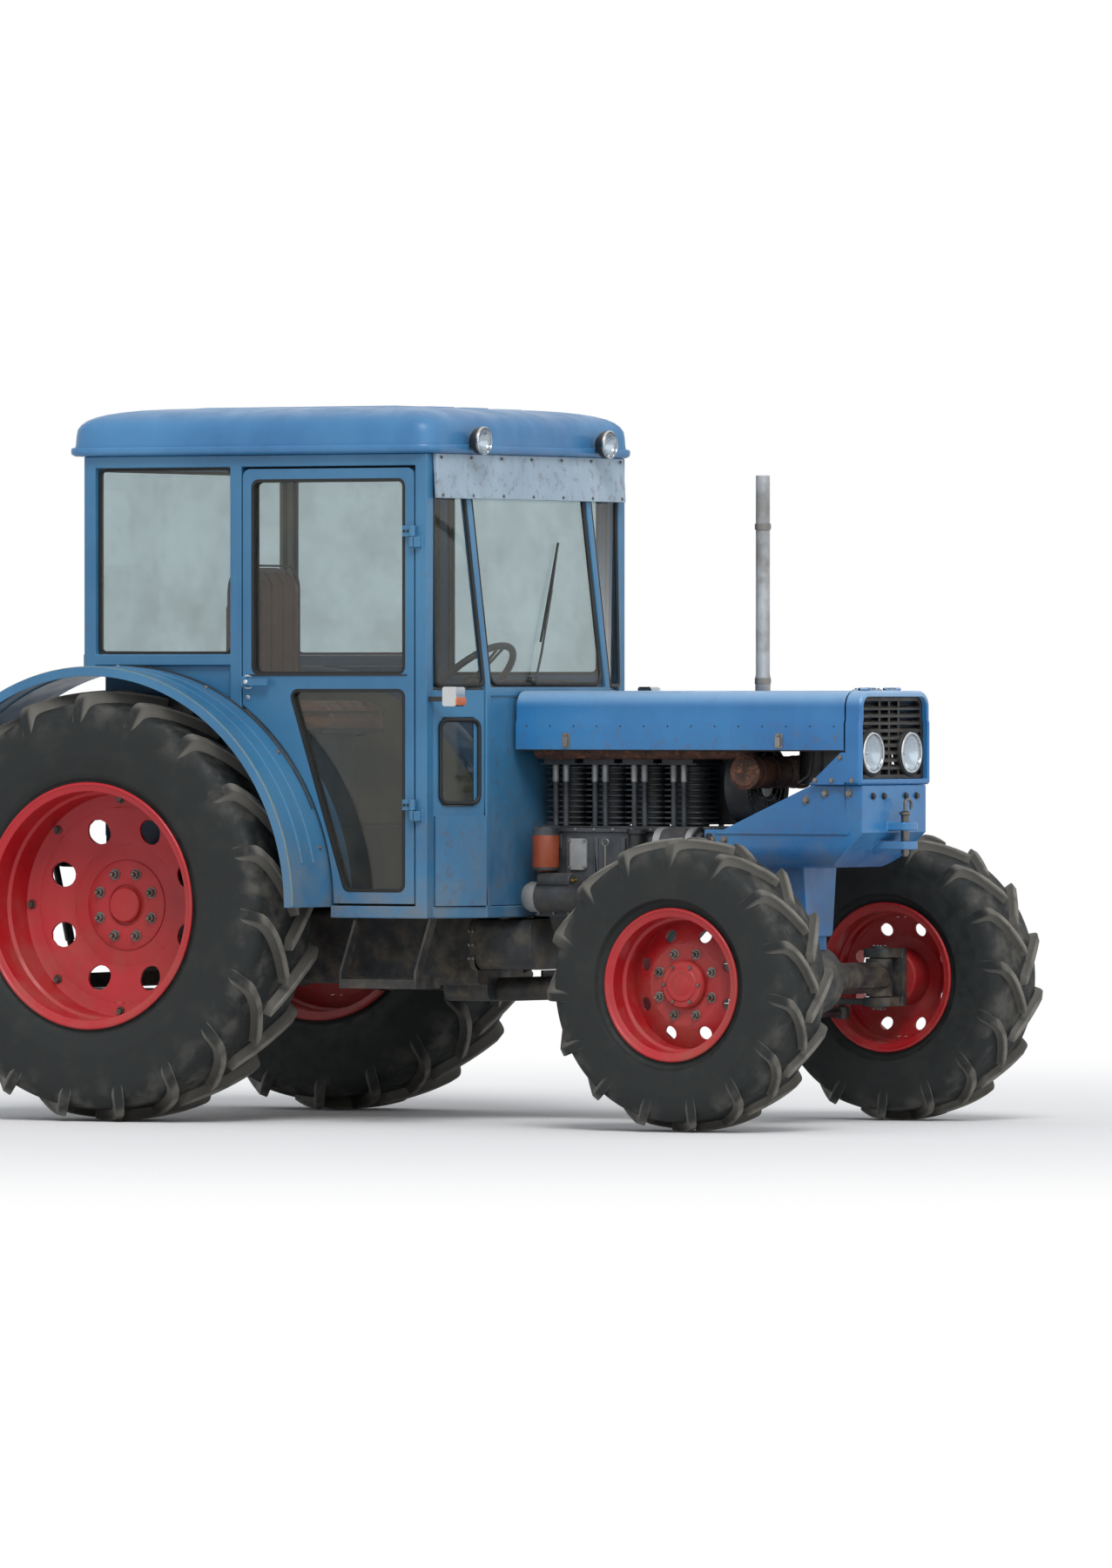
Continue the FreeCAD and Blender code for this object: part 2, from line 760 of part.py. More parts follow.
def build_transmission():
    lift_top = rockshaft_z + lift_wall
    centre = prism_y([(centre_back, centre_bottom), (centre_front, centre_bottom),
                      (centre_front, centre_top - cover_drop), (centre_front - cover_run, centre_top),
                      (rockshaft_x + lift_wall + 24.0, centre_top), (rockshaft_x + lift_wall, lift_top),
                      (centre_back, lift_top)], -centre_half, centre_half, [24, 10, 40, 40, 0, 30, 30])
    gearbox = prism_x(rectangle(-gearbox_half, gearbox_half, gearbox_bottom, gearbox_top),
                      centre_front - 1.0, clutch_x, [30] * 4)
    bell = prism_x(rectangle(-clutch_half, clutch_half, bell_bottom, bell_top),
                   clutch_x, engine_back - seat_gap, [60, 60, 40, 40])
    # Bolted joints: middle along X, half width, bottom, top.
    joints = ((centre_front, gearbox_half + joint_flange, gearbox_bottom - 16.0, gearbox_top + 15.0),
              (clutch_x, clutch_half + 6.0, bell_bottom - 6.0, bell_top + 6.0))
    flanges = [prism_x(rectangle(-half, half, low, high), x - joint_flange / 2.0, x + joint_flange / 2.0,
                       [40] * 4)
               for x, half, low, high in joints]
    transfer_bottom = gearbox_bottom - transfer_drop
    transfer = prism_x(rectangle(-transfer_half, transfer_half, transfer_bottom, gearbox_bottom + 20.0),
                       clutch_x - transfer_long, clutch_x, [40, 40, 0, 0])
    cover = prism_x(rectangle(-cover_half, cover_half, gearbox_top - 1.0, gearbox_top + cover_rise),
                    centre_front + 120.0, centre_front + 420.0, [0, 0, 20, 20])
    pto = lengthwise(centre_back - pto_long, centre_back + 20.0, 0, pto_z, pto_r)
    collar = lengthwise(centre_back - 18.0, centre_back + 1.0, 0, pto_z, pto_collar_r)
    shield = prism_x(rectangle(-shield_half, shield_half, pto_z + 60.0, pto_z + 72.0),
                     centre_back - pto_long - 30.0, centre_back + 1.0)
    boss = across(link_pivot_x, centre_half - 1.0, centre_half + 18.0, link_pivot_z + 18.0,
                  link_eye_r + 6.0)
    pin = across(link_pivot_x, centre_half, link_root_y + link_thick / 2.0 + 20.0, link_pivot_z,
                 link_pin_r)
    pins = both_sides(fuse([boss, pin]))
    mounts = both_sides(upright(cab_front_mount_x, cab_front_mount_y, bell_top - 30.0,
                                floor_top - floor_thick - seat_gap, cab_mount_r))
    shaft_bore = across(rockshaft_x, -centre_half - 5.0, centre_half + 5.0, rockshaft_z,
                        rockshaft_r + pin_gap)
    ears = [box(centre_back - 62.0, centre_back + 10.0, y, y + 14.0, top_link_z - 45.0, top_link_z + 45.0)
            for y in (-40.0, 26.0)]
    top_bore = across(top_link_x, -60, 60, top_link_z, top_link_bore)
    body = fuse([centre, gearbox, bell, transfer, cover, pto, collar,
                 shield] + flanges + pins + ears + mounts)
    export("transmission_housing", body.cut(shaft_bore).cut(top_bore))


def build_linkage():
    tip_x = link_pivot_x - link_length
    tip_z = link_pivot_z - link_drop
    attach_x = link_pivot_x - lift_reach
    attach_z = link_pivot_z - lift_drop
    attach_y = link_root_y + (link_tip_y - link_root_y) * lift_reach / link_length
    half = link_thick / 2.0
    half_high = link_high / 2.0
    # Lower link: a flat bar that spreads outwards, with an eye at each end.
    plan = prism_z([(link_pivot_x, link_root_y - half), (link_pivot_x, link_root_y + half),
                    (tip_x, link_tip_y + half), (tip_x, link_tip_y - half)],
                   tip_z - link_high, link_pivot_z + link_high)
    long_side = prism_y([(link_pivot_x, link_pivot_z - half_high), (tip_x, tip_z - half_high),
                         (tip_x, tip_z + half_high), (link_pivot_x, link_pivot_z + half_high)],
                        0.0, link_tip_y + link_high)
    bar = plan.common(long_side)
    root_eye = across(link_pivot_x, link_root_y - 20.0, link_root_y + 20.0, link_pivot_z, link_eye_r)
    tip_eye = across(tip_x, link_tip_y - 22.0, link_tip_y + 22.0, tip_z, link_eye_r)
    rod_pin = across(attach_x, attach_y, attach_y + rod_offset + 18.0, attach_z, rod_pin_r)
    link = fuse([bar, root_eye, tip_eye, rod_pin])
    link = link.cut(across(link_pivot_x, 0, link_tip_y * 2, link_pivot_z, link_pin_r + pin_gap))
    link = link.cut(across(tip_x, 0, link_tip_y * 2, tip_z, link_eye_bore))
    export("lower_links", both_sides(link))

    arm_y = attach_y + rod_offset
    arm_tip_x = rockshaft_x - lift_reach
    arm_tip_z = rockshaft_z - lift_drop
    inner = arm_y - 16.0 - lift_arm_thick
    arm = prism_y([(rockshaft_x + 10.0, rockshaft_z - 52.0), (arm_tip_x, arm_tip_z - 26.0),
                   (arm_tip_x, arm_tip_z + 26.0), (rockshaft_x + 10.0, rockshaft_z + 52.0)],
                  inner, inner + lift_arm_thick, [30, 24, 24, 30])
    boss = across(rockshaft_x, inner, inner + lift_arm_thick, rockshaft_z, rockshaft_r + 20.0)
    arm_pin = across(arm_tip_x, inner + 2.0, arm_y + 20.0, arm_tip_z, rod_pin_r)
    side = fuse([arm, boss, arm_pin])
    shaft = across(rockshaft_x, -inner - 2.0, inner + 2.0, rockshaft_z, rockshaft_r)
    export("lift_arms", fuse([shaft] + both_sides(side)))

    def between(share):
        return (arm_tip_x + (attach_x - arm_tip_x) * share, arm_y,
                arm_tip_z + (attach_z - arm_tip_z) * share)
    upper = across(arm_tip_x, arm_y - 15.0, arm_y + 15.0, arm_tip_z, rod_eye_r)
    lower = across(attach_x, arm_y - 9.0, arm_y + 15.0, attach_z, rod_eye_r)
    lift_rod = fuse([upper, lower, rod(between(0.0), between(1.0), rod_r),
                     rod(between(0.3), between(0.66), rod_sleeve_r)])
    lift_rod = lift_rod.cut(across(arm_tip_x, 0, arm_y * 2, arm_tip_z, rod_pin_r + pin_gap))
    lift_rod = lift_rod.cut(across(attach_x, 0, arm_y * 2, attach_z, rod_pin_r + open_pin_gap))
    export("lift_rods", both_sides(lift_rod))


def build_drawbar():
    bar_end = centre_back + 240.0
    round_tip = drawbar_half - 2.0
    top = drawbar_z + drawbar_thick
    bar = prism_z(rectangle(drawbar_tip_x, bar_end, -drawbar_half, drawbar_half), drawbar_z, top,
                  [round_tip, 0, 0, round_tip])
    hanger = prism_x(rectangle(-hanger_half, hanger_half, drawbar_z - 14.0, centre_bottom - seat_gap),
                     centre_back + 30.0, centre_back + 120.0, [20, 20, 0, 0])
    pocket = box(centre_back, bar_end, -drawbar_half, drawbar_half, drawbar_z, top)
    window = [box(centre_back, bar_end, y, y + 70.0, drawbar_z + 6.0, centre_bottom - 22.0)
              for y in (20.0 - hanger_half, hanger_half - 90.0)]
    hanger = hanger.cut(Part.makeCompound(window)).cut(pocket)
    hole_x = drawbar_tip_x + 50.0
    hole = upright(hole_x, 0, drawbar_z - 10.0, top + 10.0, drawbar_bore)
    export("drawbar", fuse([bar, hanger]).cut(hole))


# Engine

def build_engine():
    side = block_half
    sump_bottom = block_bottom - sump_drop
    block = box(engine_back, engine_front, -side, side, block_bottom, block_top)
    sump = prism_y([(engine_back + 30.0, block_bottom), (engine_back + 70.0, sump_bottom),
                    (engine_front - 260.0, sump_bottom), (engine_front - 200.0, sump_bottom + 60.0),
                    (engine_front - 20.0, block_bottom)], -sump_half, sump_half)
    rib_step = (engine_front - engine_back - 3.0 * rib_thick) / (rib_count - 1)
    ribs = []
    for i in range(rib_count):
        x = engine_back + rib_thick + i * rib_step
        ribs.append(box(x, x + rib_thick, -side - rib_out, side + rib_out, block_bottom + 30.0,
                        block_top - 40.0))
    rail_half = side + rib_out + 4.0
    pan_rail = box(engine_back + 6.0, engine_front - 6.0, -rail_half, rail_half,
                   block_bottom - 12.0, block_bottom + 12.0)
    deck_rail = box(engine_back + 6.0, engine_front - 6.0, -side - rib_out, side + rib_out,
                    block_top - 22.0, block_top)
    # Left side: injection pump and two fuel filters on their saddle.
    pump_x = engine_back + 330.0
    pump = lengthwise(pump_x, pump_x + pump_long, side + pump_r - 10.0, pump_z, pump_r)
    filter_y = side + filter_r + 8.0
    filters = [upright(x, filter_y, filter_top - filter_long, filter_top, filter_r)
               for x in (engine_front - 300.0, engine_front - 190.0)]
    saddle = box(engine_front - 350.0, engine_front - 140.0, side - 1.0, filter_y,
                 filter_top - 75.0, filter_top - 15.0)
    # Right side: starter, oil filter and generator.
    starter_y = -side - starter_r + 8.0
    starter = lengthwise(engine_back + 10.0, engine_back + 270.0, starter_y, starter_z, starter_r)
    solenoid = lengthwise(engine_back + 60.0, engine_back + 200.0, starter_y - 20.0, starter_z + 62.0,
                          starter_r / 2.0)
    oil_y = 6.0 - side - oil_filter_r
    oil_filter = upright(oil_filter_x, oil_y, starter_z + 96.0, block_top - 5.0, oil_filter_r)
    oil_saddle = box(oil_filter_x - 40.0, oil_filter_x + 40.0, oil_y, 1.0 - side, block_top - 80.0,
                     block_top - 30.0)
    generator_y = -side - generator_r + 6.0
    generator = lengthwise(engine_front - 190.0, engine_front - 40.0, generator_y, generator_z,
                           generator_r)
    generator_pulley = lengthwise(engine_front - 41.0, engine_front - 12.0, generator_y, generator_z,
                                  generator_r - 16.0)
    pulley = lengthwise(engine_front - 1.0, engine_front + pulley_long, 0, crank_z, pulley_r)
    groove = lengthwise(engine_front + 16.0, engine_front + 30.0, 0, crank_z, pulley_r + 1.0)
    groove = groove.cut(lengthwise(engine_front + 15.0, engine_front + 31.0, 0, crank_z, pulley_r - 12.0))
    body = fuse([block, sump, pan_rail, deck_rail, pump, saddle, starter, solenoid, oil_filter,
                 oil_saddle,
                 generator, generator_pulley, pulley] + ribs + filters)
    export("engine_block", body.cut(groove))


def build_cylinders():
    # Each unit: a round barrel in square fins, its push-rod tubes, a finned head and the rocker cover.
    base = block_top + seat_gap
    head_z = base + barrel_height
    cover_z = head_z + head_height
    hood_side = fin_half + head_overhang
    port_side = -fin_half - port_overhang
    barrel_step = barrel_height / fin_count
    head_step = (head_height - fin_thick) / (head_fins - 1)
    tube_y = -fin_half - push_tube_r - 2.0
    units = []
    for i in range(cylinder_count):
        x = cylinder_first_x + i * cylinder_pitch
        pieces = [upright(x, 0, base, head_z + 1.0, barrel_r)]
        for k in range(fin_count):
            z = base + k * barrel_step + (barrel_step - fin_thick) / 2.0
            pieces.append(prism_z(rectangle(x - fin_half, x + fin_half, -fin_half, fin_half),
                                  z, z + fin_thick, [fin_corner_r] * 4))
        for tube_x in (x - push_tube_apart, x + push_tube_apart):
            pieces.append(upright(tube_x, tube_y, base, head_z + 1.0, push_tube_r))
        core = fin_half - head_fin_reach
        pieces.append(box(x - core, x + core, port_side, hood_side, head_z, cover_z))
        for k in range(head_fins):
            z = head_z + k * head_step
            pieces.append(box(x - fin_half, x + fin_half, port_side, hood_side, z, z + fin_thick))
        pieces.append(prism_x(rectangle(10.0 - fin_half, fin_half - 20.0, cover_z - 1.0,
                                        cover_z + cover_height),
                              x - fin_half + 12.0, x + fin_half - 12.0, [0, 0, cover_round, cover_round]))
        units.append(fuse(pieces))
    export("engine_cylinders", units)


def build_cooling():
    base = block_top + seat_gap
    head_side = fin_half + head_overhang + seat_gap
    x0 = cylinder_first_x - fin_half - 8.0
    x1 = engine_front - 20.0
    bottom = base + 6.0
    top = base + barrel_height + head_height - 10.0
    hood = prism_x([(head_side, bottom), (hood_outer_y - 40.0, bottom), (hood_outer_y, bottom + 54.0),
                    (hood_outer_y, top - 50.0), (hood_outer_y - 50.0, top), (head_side, top)],
                   x0, x1, [0, 12, 20, 20, 20, 0])
    rim_x = x1 + blower_length
    blower = lengthwise(x1 - 1.0, rim_x, blower_y, blower_z, blower_r)
    bowl = lengthwise(x1 + 20.0, rim_x + 1.0, blower_y, blower_z, blower_r - blower_wall)
    axle_tip = rim_x - 34.0
    axle = lengthwise(x1 + 10.0, axle_tip, blower_y, blower_z, fan_pin_r)
    export("engine_blower", fuse([hood, blower.cut(bowl), axle]))

    fan_back = x1 + 20.0 + swing_gap
    fan_front = rim_x - swing_gap
    hub = lengthwise(fan_back, fan_front, blower_y, blower_z, fan_hub_r)
    middle = (fan_back + fan_front) / 2.0
    blades = []
    for n in range(fan_blades):
        blade = box(middle - 5.0, middle + 5.0, blower_y + fan_hub_r - 6.0,
                    blower_y + blower_r - blower_wall - swing_gap - 2.0,
                    blower_z - fan_blade_wide / 2.0, blower_z + fan_blade_wide / 2.0)
        blade.rotate(Vector(middle, blower_y, blower_z), Vector(0, 1, 0), 52.0)
        blade.rotate(Vector(middle, blower_y, blower_z), Vector(1, 0, 0), n * 360.0 / fan_blades)
        blades.append(blade)
    bore = lengthwise(fan_back - 1.0, axle_tip + 1.0, blower_y, blower_z, fan_pin_r + pin_gap)
    export("engine_fan", fuse([hub] + blades).cut(bore))


def build_exhaust():
    port_z = block_top + barrel_height + 52.0
    port_face = -fin_half - port_overhang - seat_gap
    log_end = muffler_x - 20.0
    log = pipe([(cylinder_first_x - 50.0, manifold_y, port_z), (log_end, manifold_y, port_z),
                (muffler_x, manifold_y, muffler_z)], manifold_r, 34.0)
    ports = []
    for i in range(cylinder_count):
        x = cylinder_first_x + i * cylinder_pitch
        ports.append(across(x, manifold_y, port_face, port_z, port_r))
        ports.append(across(x, port_face - port_flange, port_face, port_z, port_flange_r))
    muffler = across(muffler_x, -muffler_half, muffler_half, muffler_z, muffler_r)
    ends = [across(muffler_x, y - 5.0, y + 5.0, muffler_z, muffler_r + 4.0)
            for y in (10.0 - muffler_half, muffler_half - 10.0)]
    tail = pipe([(muffler_x, muffler_half - 20.0, muffler_z), (muffler_x, stack_y, muffler_z),
                 (stack_x, stack_y, muffler_z), (stack_x, stack_y,
                                                 bonnet_top + stack_high)], stack_r, 60.0)
    mouth_z = bonnet_top + stack_high
    mouth = upright(stack_x, stack_y, mouth_z - 60.0, mouth_z + 1.0, stack_r - stack_wall)
    export("exhaust", fuse([log, muffler, tail] + ports + ends).cut(mouth))


def build_air_cleaner():
    base_z = nose_bottom
    top_z = base_z + cleaner_high
    tray_z = carrier_bottom + carrier_floor + seat_gap
    # Bottom, top and radius of the pot, its lid, its band and its stand.
    rows = ((base_z, top_z, cleaner_r), (top_z - 10.0, top_z + 50.0, cleaner_r - 26.0),
            (top_z - 45.0, top_z - 30.0, cleaner_r + 4.0), (tray_z, base_z + 1.0, cleaner_r - 40.0))
    export("air_cleaner", fuse([upright(cleaner_x, cleaner_y, z0, z1, r) for z0, z1, r in rows]))
    battery_back = cleaner_x + cleaner_r + battery_space
    battery_top = base_z + battery_high
    case = box(battery_back, battery_back + battery_long, -battery_half, battery_half, base_z,
               battery_top)
    lip = box(battery_back - 4.0, battery_back + battery_long + 4.0, -battery_half - 4.0,
              battery_half + 4.0,
              battery_top - 40.0, battery_top - 22.0)
    export("battery", fuse([case, lip]))


# Bonnet, nose, lamps, front carrier

def bonnet_outline(inset, bottom):
    # Y and Z of the cross-section: the sides step in at a crease below the rounded edges.
    low = bonnet_half - inset
    high = low - bonnet_crease
    top = bonnet_top - inset
    return [(-low, bottom), (low, bottom), (low, crease_low), (high, crease_high), (high, top),
            (-high, top), (-high, crease_high), (-low, crease_low)]


def bonnet_radii(edge, foot=0.0):
    return [foot, foot, 0, 0, edge, edge, 0, 0]


def knuckle_spans(first):
    # The bonnet hinge's knuckles on both sides of the middle, from one row of the pattern.
    y0 = first * hinge_knuckle + hinge_knuckle / 2.0
    return ((y0, y0 + hinge_knuckle), (-y0 - hinge_knuckle, -y0))


def build_bonnet():
    edge = bonnet_edge_r
    outer = prism_x(bonnet_outline(0.0, bonnet_side_bottom), bonnet_back, nose_back - door_gap,
                    bonnet_radii(edge))
    inner = prism_x(bonnet_outline(bonnet_sheet, bonnet_side_bottom - 1.0), bonnet_back - 1.0, nose_back,
                    bonnet_radii(edge - bonnet_sheet))
    hinge_x = nose_back - door_gap / 2.0
    hinge_z = bonnet_top + bonnet_hinge_r
    groove = across(hinge_x, -bonnet_half, bonnet_half, hinge_z, bonnet_hinge_r + 1.0)
    pieces = [outer.cut(inner).cut(groove)]
    bores = []
    for y0, y1 in knuckle_spans(1):
        pieces.append(across(hinge_x, y0, y1, hinge_z, bonnet_hinge_r))
        pieces.append(box(hinge_x - hinge_leaf, hinge_x, y0, y1, bonnet_top - 1.0, bonnet_top + 5.0))
        bores.append(across(hinge_x, y0 - 1.0, y1 + 1.0, hinge_z, bonnet_pin_r + pin_gap))
    export("bonnet", fuse(pieces).cut(Part.makeCompound(bores)))


def build_nose():
    edge = bonnet_edge_r
    chamfer = nose_round * 0.7
    outer = loft_x([(nose_back, bonnet_outline(0.0, nose_bottom), bonnet_radii(edge, 12.0)),
                    (nose_front - nose_round, bonnet_outline(0.0, nose_bottom), bonnet_radii(edge, 12.0)),
                    (nose_front, bonnet_outline(chamfer, nose_bottom + chamfer),
                     bonnet_radii(edge - chamfer, 5.0))])
    window = prism_x(bonnet_outline(nose_wall, nose_bottom + nose_wall), nose_back - 1.0,
                     nose_front + 1.0,
                     bonnet_radii(edge - nose_wall))
    cheek_back = nose_back - cheek_long
    cheek_top = bonnet_side_bottom - door_gap - 1.0
    cheek = prism_y([(cheek_back, nose_bottom), (nose_back + 1.0, nose_bottom),
                     (nose_back + 1.0, cheek_top),
                     (cheek_back + cheek_long - 19.0, cheek_top)], bonnet_half - panel_sheet, bonnet_half)
    hinge_x = nose_back - door_gap / 2.0
    hinge_z = bonnet_top + bonnet_hinge_r
    pieces = [outer.cut(window)] + both_sides(cheek)
    for y0, y1 in knuckle_spans(0):
        pieces.append(across(hinge_x, y0 + seat_gap, y1 - seat_gap, hinge_z, bonnet_hinge_r))
        pieces.append(box(hinge_x, hinge_x + hinge_leaf, y0 + seat_gap, y1 - seat_gap, bonnet_top - 1.0,
                          bonnet_top + 5.0))
    for y0, y1 in knuckle_spans(1):
        inside = 2.0 if y0 > 0 else 0.0
        pieces.append(across(hinge_x, y0 - inside, y1 + 2.0 - inside, hinge_z, bonnet_pin_r))
    export("nose_panel", fuse(pieces))


def build_grille():
    edge = bonnet_edge_r - nose_wall
    back = nose_back + nose_wall
    front = back + grille_depth
    outset = nose_wall + seat_gap
    plate = prism_x(bonnet_outline(outset, nose_bottom + outset), back, front, bonnet_radii(edge))
    inset = nose_wall + grille_frame
    hole = prism_x(bonnet_outline(inset, nose_bottom + inset), back - 1.0, front + 1.0,
                   bonnet_radii(edge - grille_frame + 4.0))
    low = nose_bottom + inset - 2.0
    high = bonnet_top - inset + 2.0
    half = bonnet_half - inset + 2.0
    pieces = [plate.cut(hole)]
    for i in range(grille_bars):
        z = low + (i + 1) * (high - low) / (grille_bars + 1)
        slat = [(back + 3.0, z), (front - 3.0, z - 8.0), (front - 3.0, z + 3.0), (back + 3.0, z + 11.0)]
        pieces.append(prism_y(slat, -half, half))
    for y in (-grille_post_y, 0.0, grille_post_y):
        pieces.append(box(back, front - 8.0, y - 7.0, y + 7.0, low, high))
    holes = []
    for y in (-headlamp_y, headlamp_y):
        pieces.append(lengthwise(back, front, y, headlamp_z, headlamp_r + 12.0))
        holes.append(lengthwise(back - 1.0, front + 1.0, y, headlamp_z, headlamp_r + seat_gap))
    export("grille", fuse(pieces).cut(Part.makeCompound(holes)))


def lamp(x, y, z, radius, depth, bulge):
    # A round lamp facing forward: a short drum with a shallow domed lens.
    drum = lengthwise(x - depth, x, y, z, radius)
    ball_r = (radius * radius + bulge * bulge) / (2.0 * bulge)
    ball = Part.makeSphere(ball_r, Vector(x + bulge - ball_r, y, z))
    lens = ball.common(lengthwise(x - 0.5, x + bulge + 1.0, y, z, radius))
    return fuse([drum, lens])


def build_lamps():
    lamp_x = nose_back + nose_wall + grille_depth + 8.0
    export("headlamps", [lamp(lamp_x, y, headlamp_z, headlamp_r, lamp_drum, 8.0)
                         for y in (-headlamp_y, headlamp_y)])
    drum = lamp_drum + 2.0
    pieces = [lamp(roof_front + drum, y, work_lamp_z, work_lamp_r, drum - seat_gap, 6.0)
              for y in (-work_lamp_y, work_lamp_y)]
    # Side lamps on short arms from the front posts.
    lamp_back = screen_foot_x - 18.0
    lamp_low = screen_foot_z - side_lamp_high + 2.0
    arm_low = lamp_low + 18.0
    arm = box(a_post_x + post / 2.0 + seat_gap, lamp_back + 20.0, cab_half - 34.0, cab_half - 14.0,
              arm_low, arm_low + 18.0)
    body = box(lamp_back, lamp_back + side_lamp_long, cab_half - 46.0, cab_half + 24.0,
               lamp_low, lamp_low + side_lamp_high)
    pieces += both_sides(fuse([arm, body]))
    # Tail lamps sit on the rear ends of the fenders.
    turn = math.radians(fender_end)
    tail_x = fender_r * math.cos(turn)
    tail_z = rear_axle_z + fender_r * math.sin(turn)
    tail = box(tail_x - 52.0, tail_x + 40.0, fender_outer_y - 130.0, fender_outer_y - 20.0,
               tail_z - 20.0, tail_z + tail_lamp_high)
    pieces += both_sides(tail.cut(fender_space(seat_gap, fender_end - 60.0, fender_end + 20.0)))
    export("work_lamps", pieces)


def fender_space(clearance, start, stop):
    # All that lies under a fender and its clearance, on the left side.
    return sector(0.001, fender_r + clearance, start, stop, 0.0, fender_outer_y + 200.0)


def build_front_carrier():
    top = nose_bottom - seat_gap
    back = engine_front
    front = nose_front - 5.0
    slope_end = nose_back - cheek_long
    wide = carrier_half + 10.0
    casting = prism_x(rectangle(-carrier_half, carrier_half, carrier_bottom, top), back, front,
                      [carrier_edge_r, carrier_edge_r, 0, 0])
    # Cut to the side view: the sloping top behind the nose and the raised chin.
    over = prism_y([(back - 10.0, carrier_shoulder_z), (back + 80.0, carrier_shoulder_z),
                    (slope_end, top),
                    (slope_end, top + 10.0), (back - 10.0, top + 10.0)], -wide, wide)
    chin = prism_y([(front - chin_long, carrier_bottom - 10.0), (front - 90.0, carrier_bottom + 42.0),
                    (front + 10.0, carrier_shoulder_z), (front + 10.0,
                                                         carrier_bottom - 10.0)], -wide, wide)
    hollow = box(back - 1.0, slope_end - carrier_wall, carrier_wall - carrier_half,
                 carrier_half - carrier_wall,
                 carrier_bottom + carrier_floor, top + 10.0)
    casting = casting.cut(over).cut(chin).cut(hollow)
    saddle_z = front_axle_z + front_diff_r + 32.0
    pedestal_top = pedestal_half_y + 30.0
    pedestal = prism_x([(-pedestal_top, carrier_bottom + 1.0), (pedestal_top, carrier_bottom + 1.0),
                        (pedestal_half_y, saddle_z), (-pedestal_half_y, saddle_z)],
                       wheelbase - pedestal_half_x, wheelbase + pedestal_half_x, [0, 0, 20, 20])
    seat = across(wheelbase, -carrier_half, carrier_half, front_axle_z, front_diff_r + seat_gap)
    foot = box(wheelbase - pedestal_half_x + 25.0, wheelbase + pedestal_half_x - 25.0,
               -pedestal_half_y, pedestal_half_y, front_axle_z + front_diff_r - 38.0, saddle_z + 10.0)
    jaw_top = carrier_shoulder_z + tow_thick - 2.0
    jaw = prism_z([(nose_front - 130.0, -tow_half - 25.0), (tow_front, -tow_half),
                   (tow_front, tow_half), (nose_front - 130.0, tow_half + 25.0)],
                  jaw_top - tow_thick, jaw_top, [0, 26, 26, 0])
    low_jaw = place(jaw, 0, 0, -tow_thick - tow_space)
    pin_x = tow_front - 36.0
    hole = upright(pin_x, 0, jaw_top - 180.0, jaw_top + 90.0, tow_bore)
    export("front_carrier", fuse([casting, pedestal, foot, jaw, low_jaw]).cut(seat).cut(hole))


# Front axle and steering

def build_front_axle():
    x = wheelbase
    z = front_axle_z
    diff = across(x, -front_diff_half, front_diff_half, z, front_diff_r)
    nose = Part.makeCone(96.0, axle_nose_r, 120.0, Vector(x - 60.0, 0, z), Vector(-1, 0, 0))
    cones = both_sides(Part.makeCone(front_diff_r - 18.0, axle_tube_r, 120.0,
                                     Vector(x, front_diff_half - 2.0, z),
                                     Vector(0, 1, 0)))
    tube = across(x, -kingpin_y, kingpin_y, z, axle_tube_r)
    bosses = both_sides(upright(x, kingpin_y, z - kingpin_boss_half, z + kingpin_boss_half,
                                kingpin_boss_r))
    end = box(x - 100, x + 100, kingpin_y + kingpin_boss_r - 8.0, kingpin_y + 100.0, z - 200, z + 200)
    bore = upright(x, kingpin_y, z - 200, z + 200, kingpin_r + pin_gap)
    cuts = both_sides(end) + both_sides(bore)
    export("front_axle", fuse([diff, nose, tube] + cones + bosses).cut(Part.makeCompound(cuts)))
    shaft_start_z = gearbox_bottom - 20.0
    guard = rod((clutch_x - 60.0, 0, shaft_start_z), (x - 100.0, 0, z - 4.0), shaft_guard_r)
    reach = 3.0 * shaft_guard_r
    guard = guard.common(box(clutch_x, x - 180.0 - seat_gap, -reach, reach,
                             min(shaft_start_z, z) - reach, max(shaft_start_z, z) + reach))
    export("front_drive_shaft", guard)


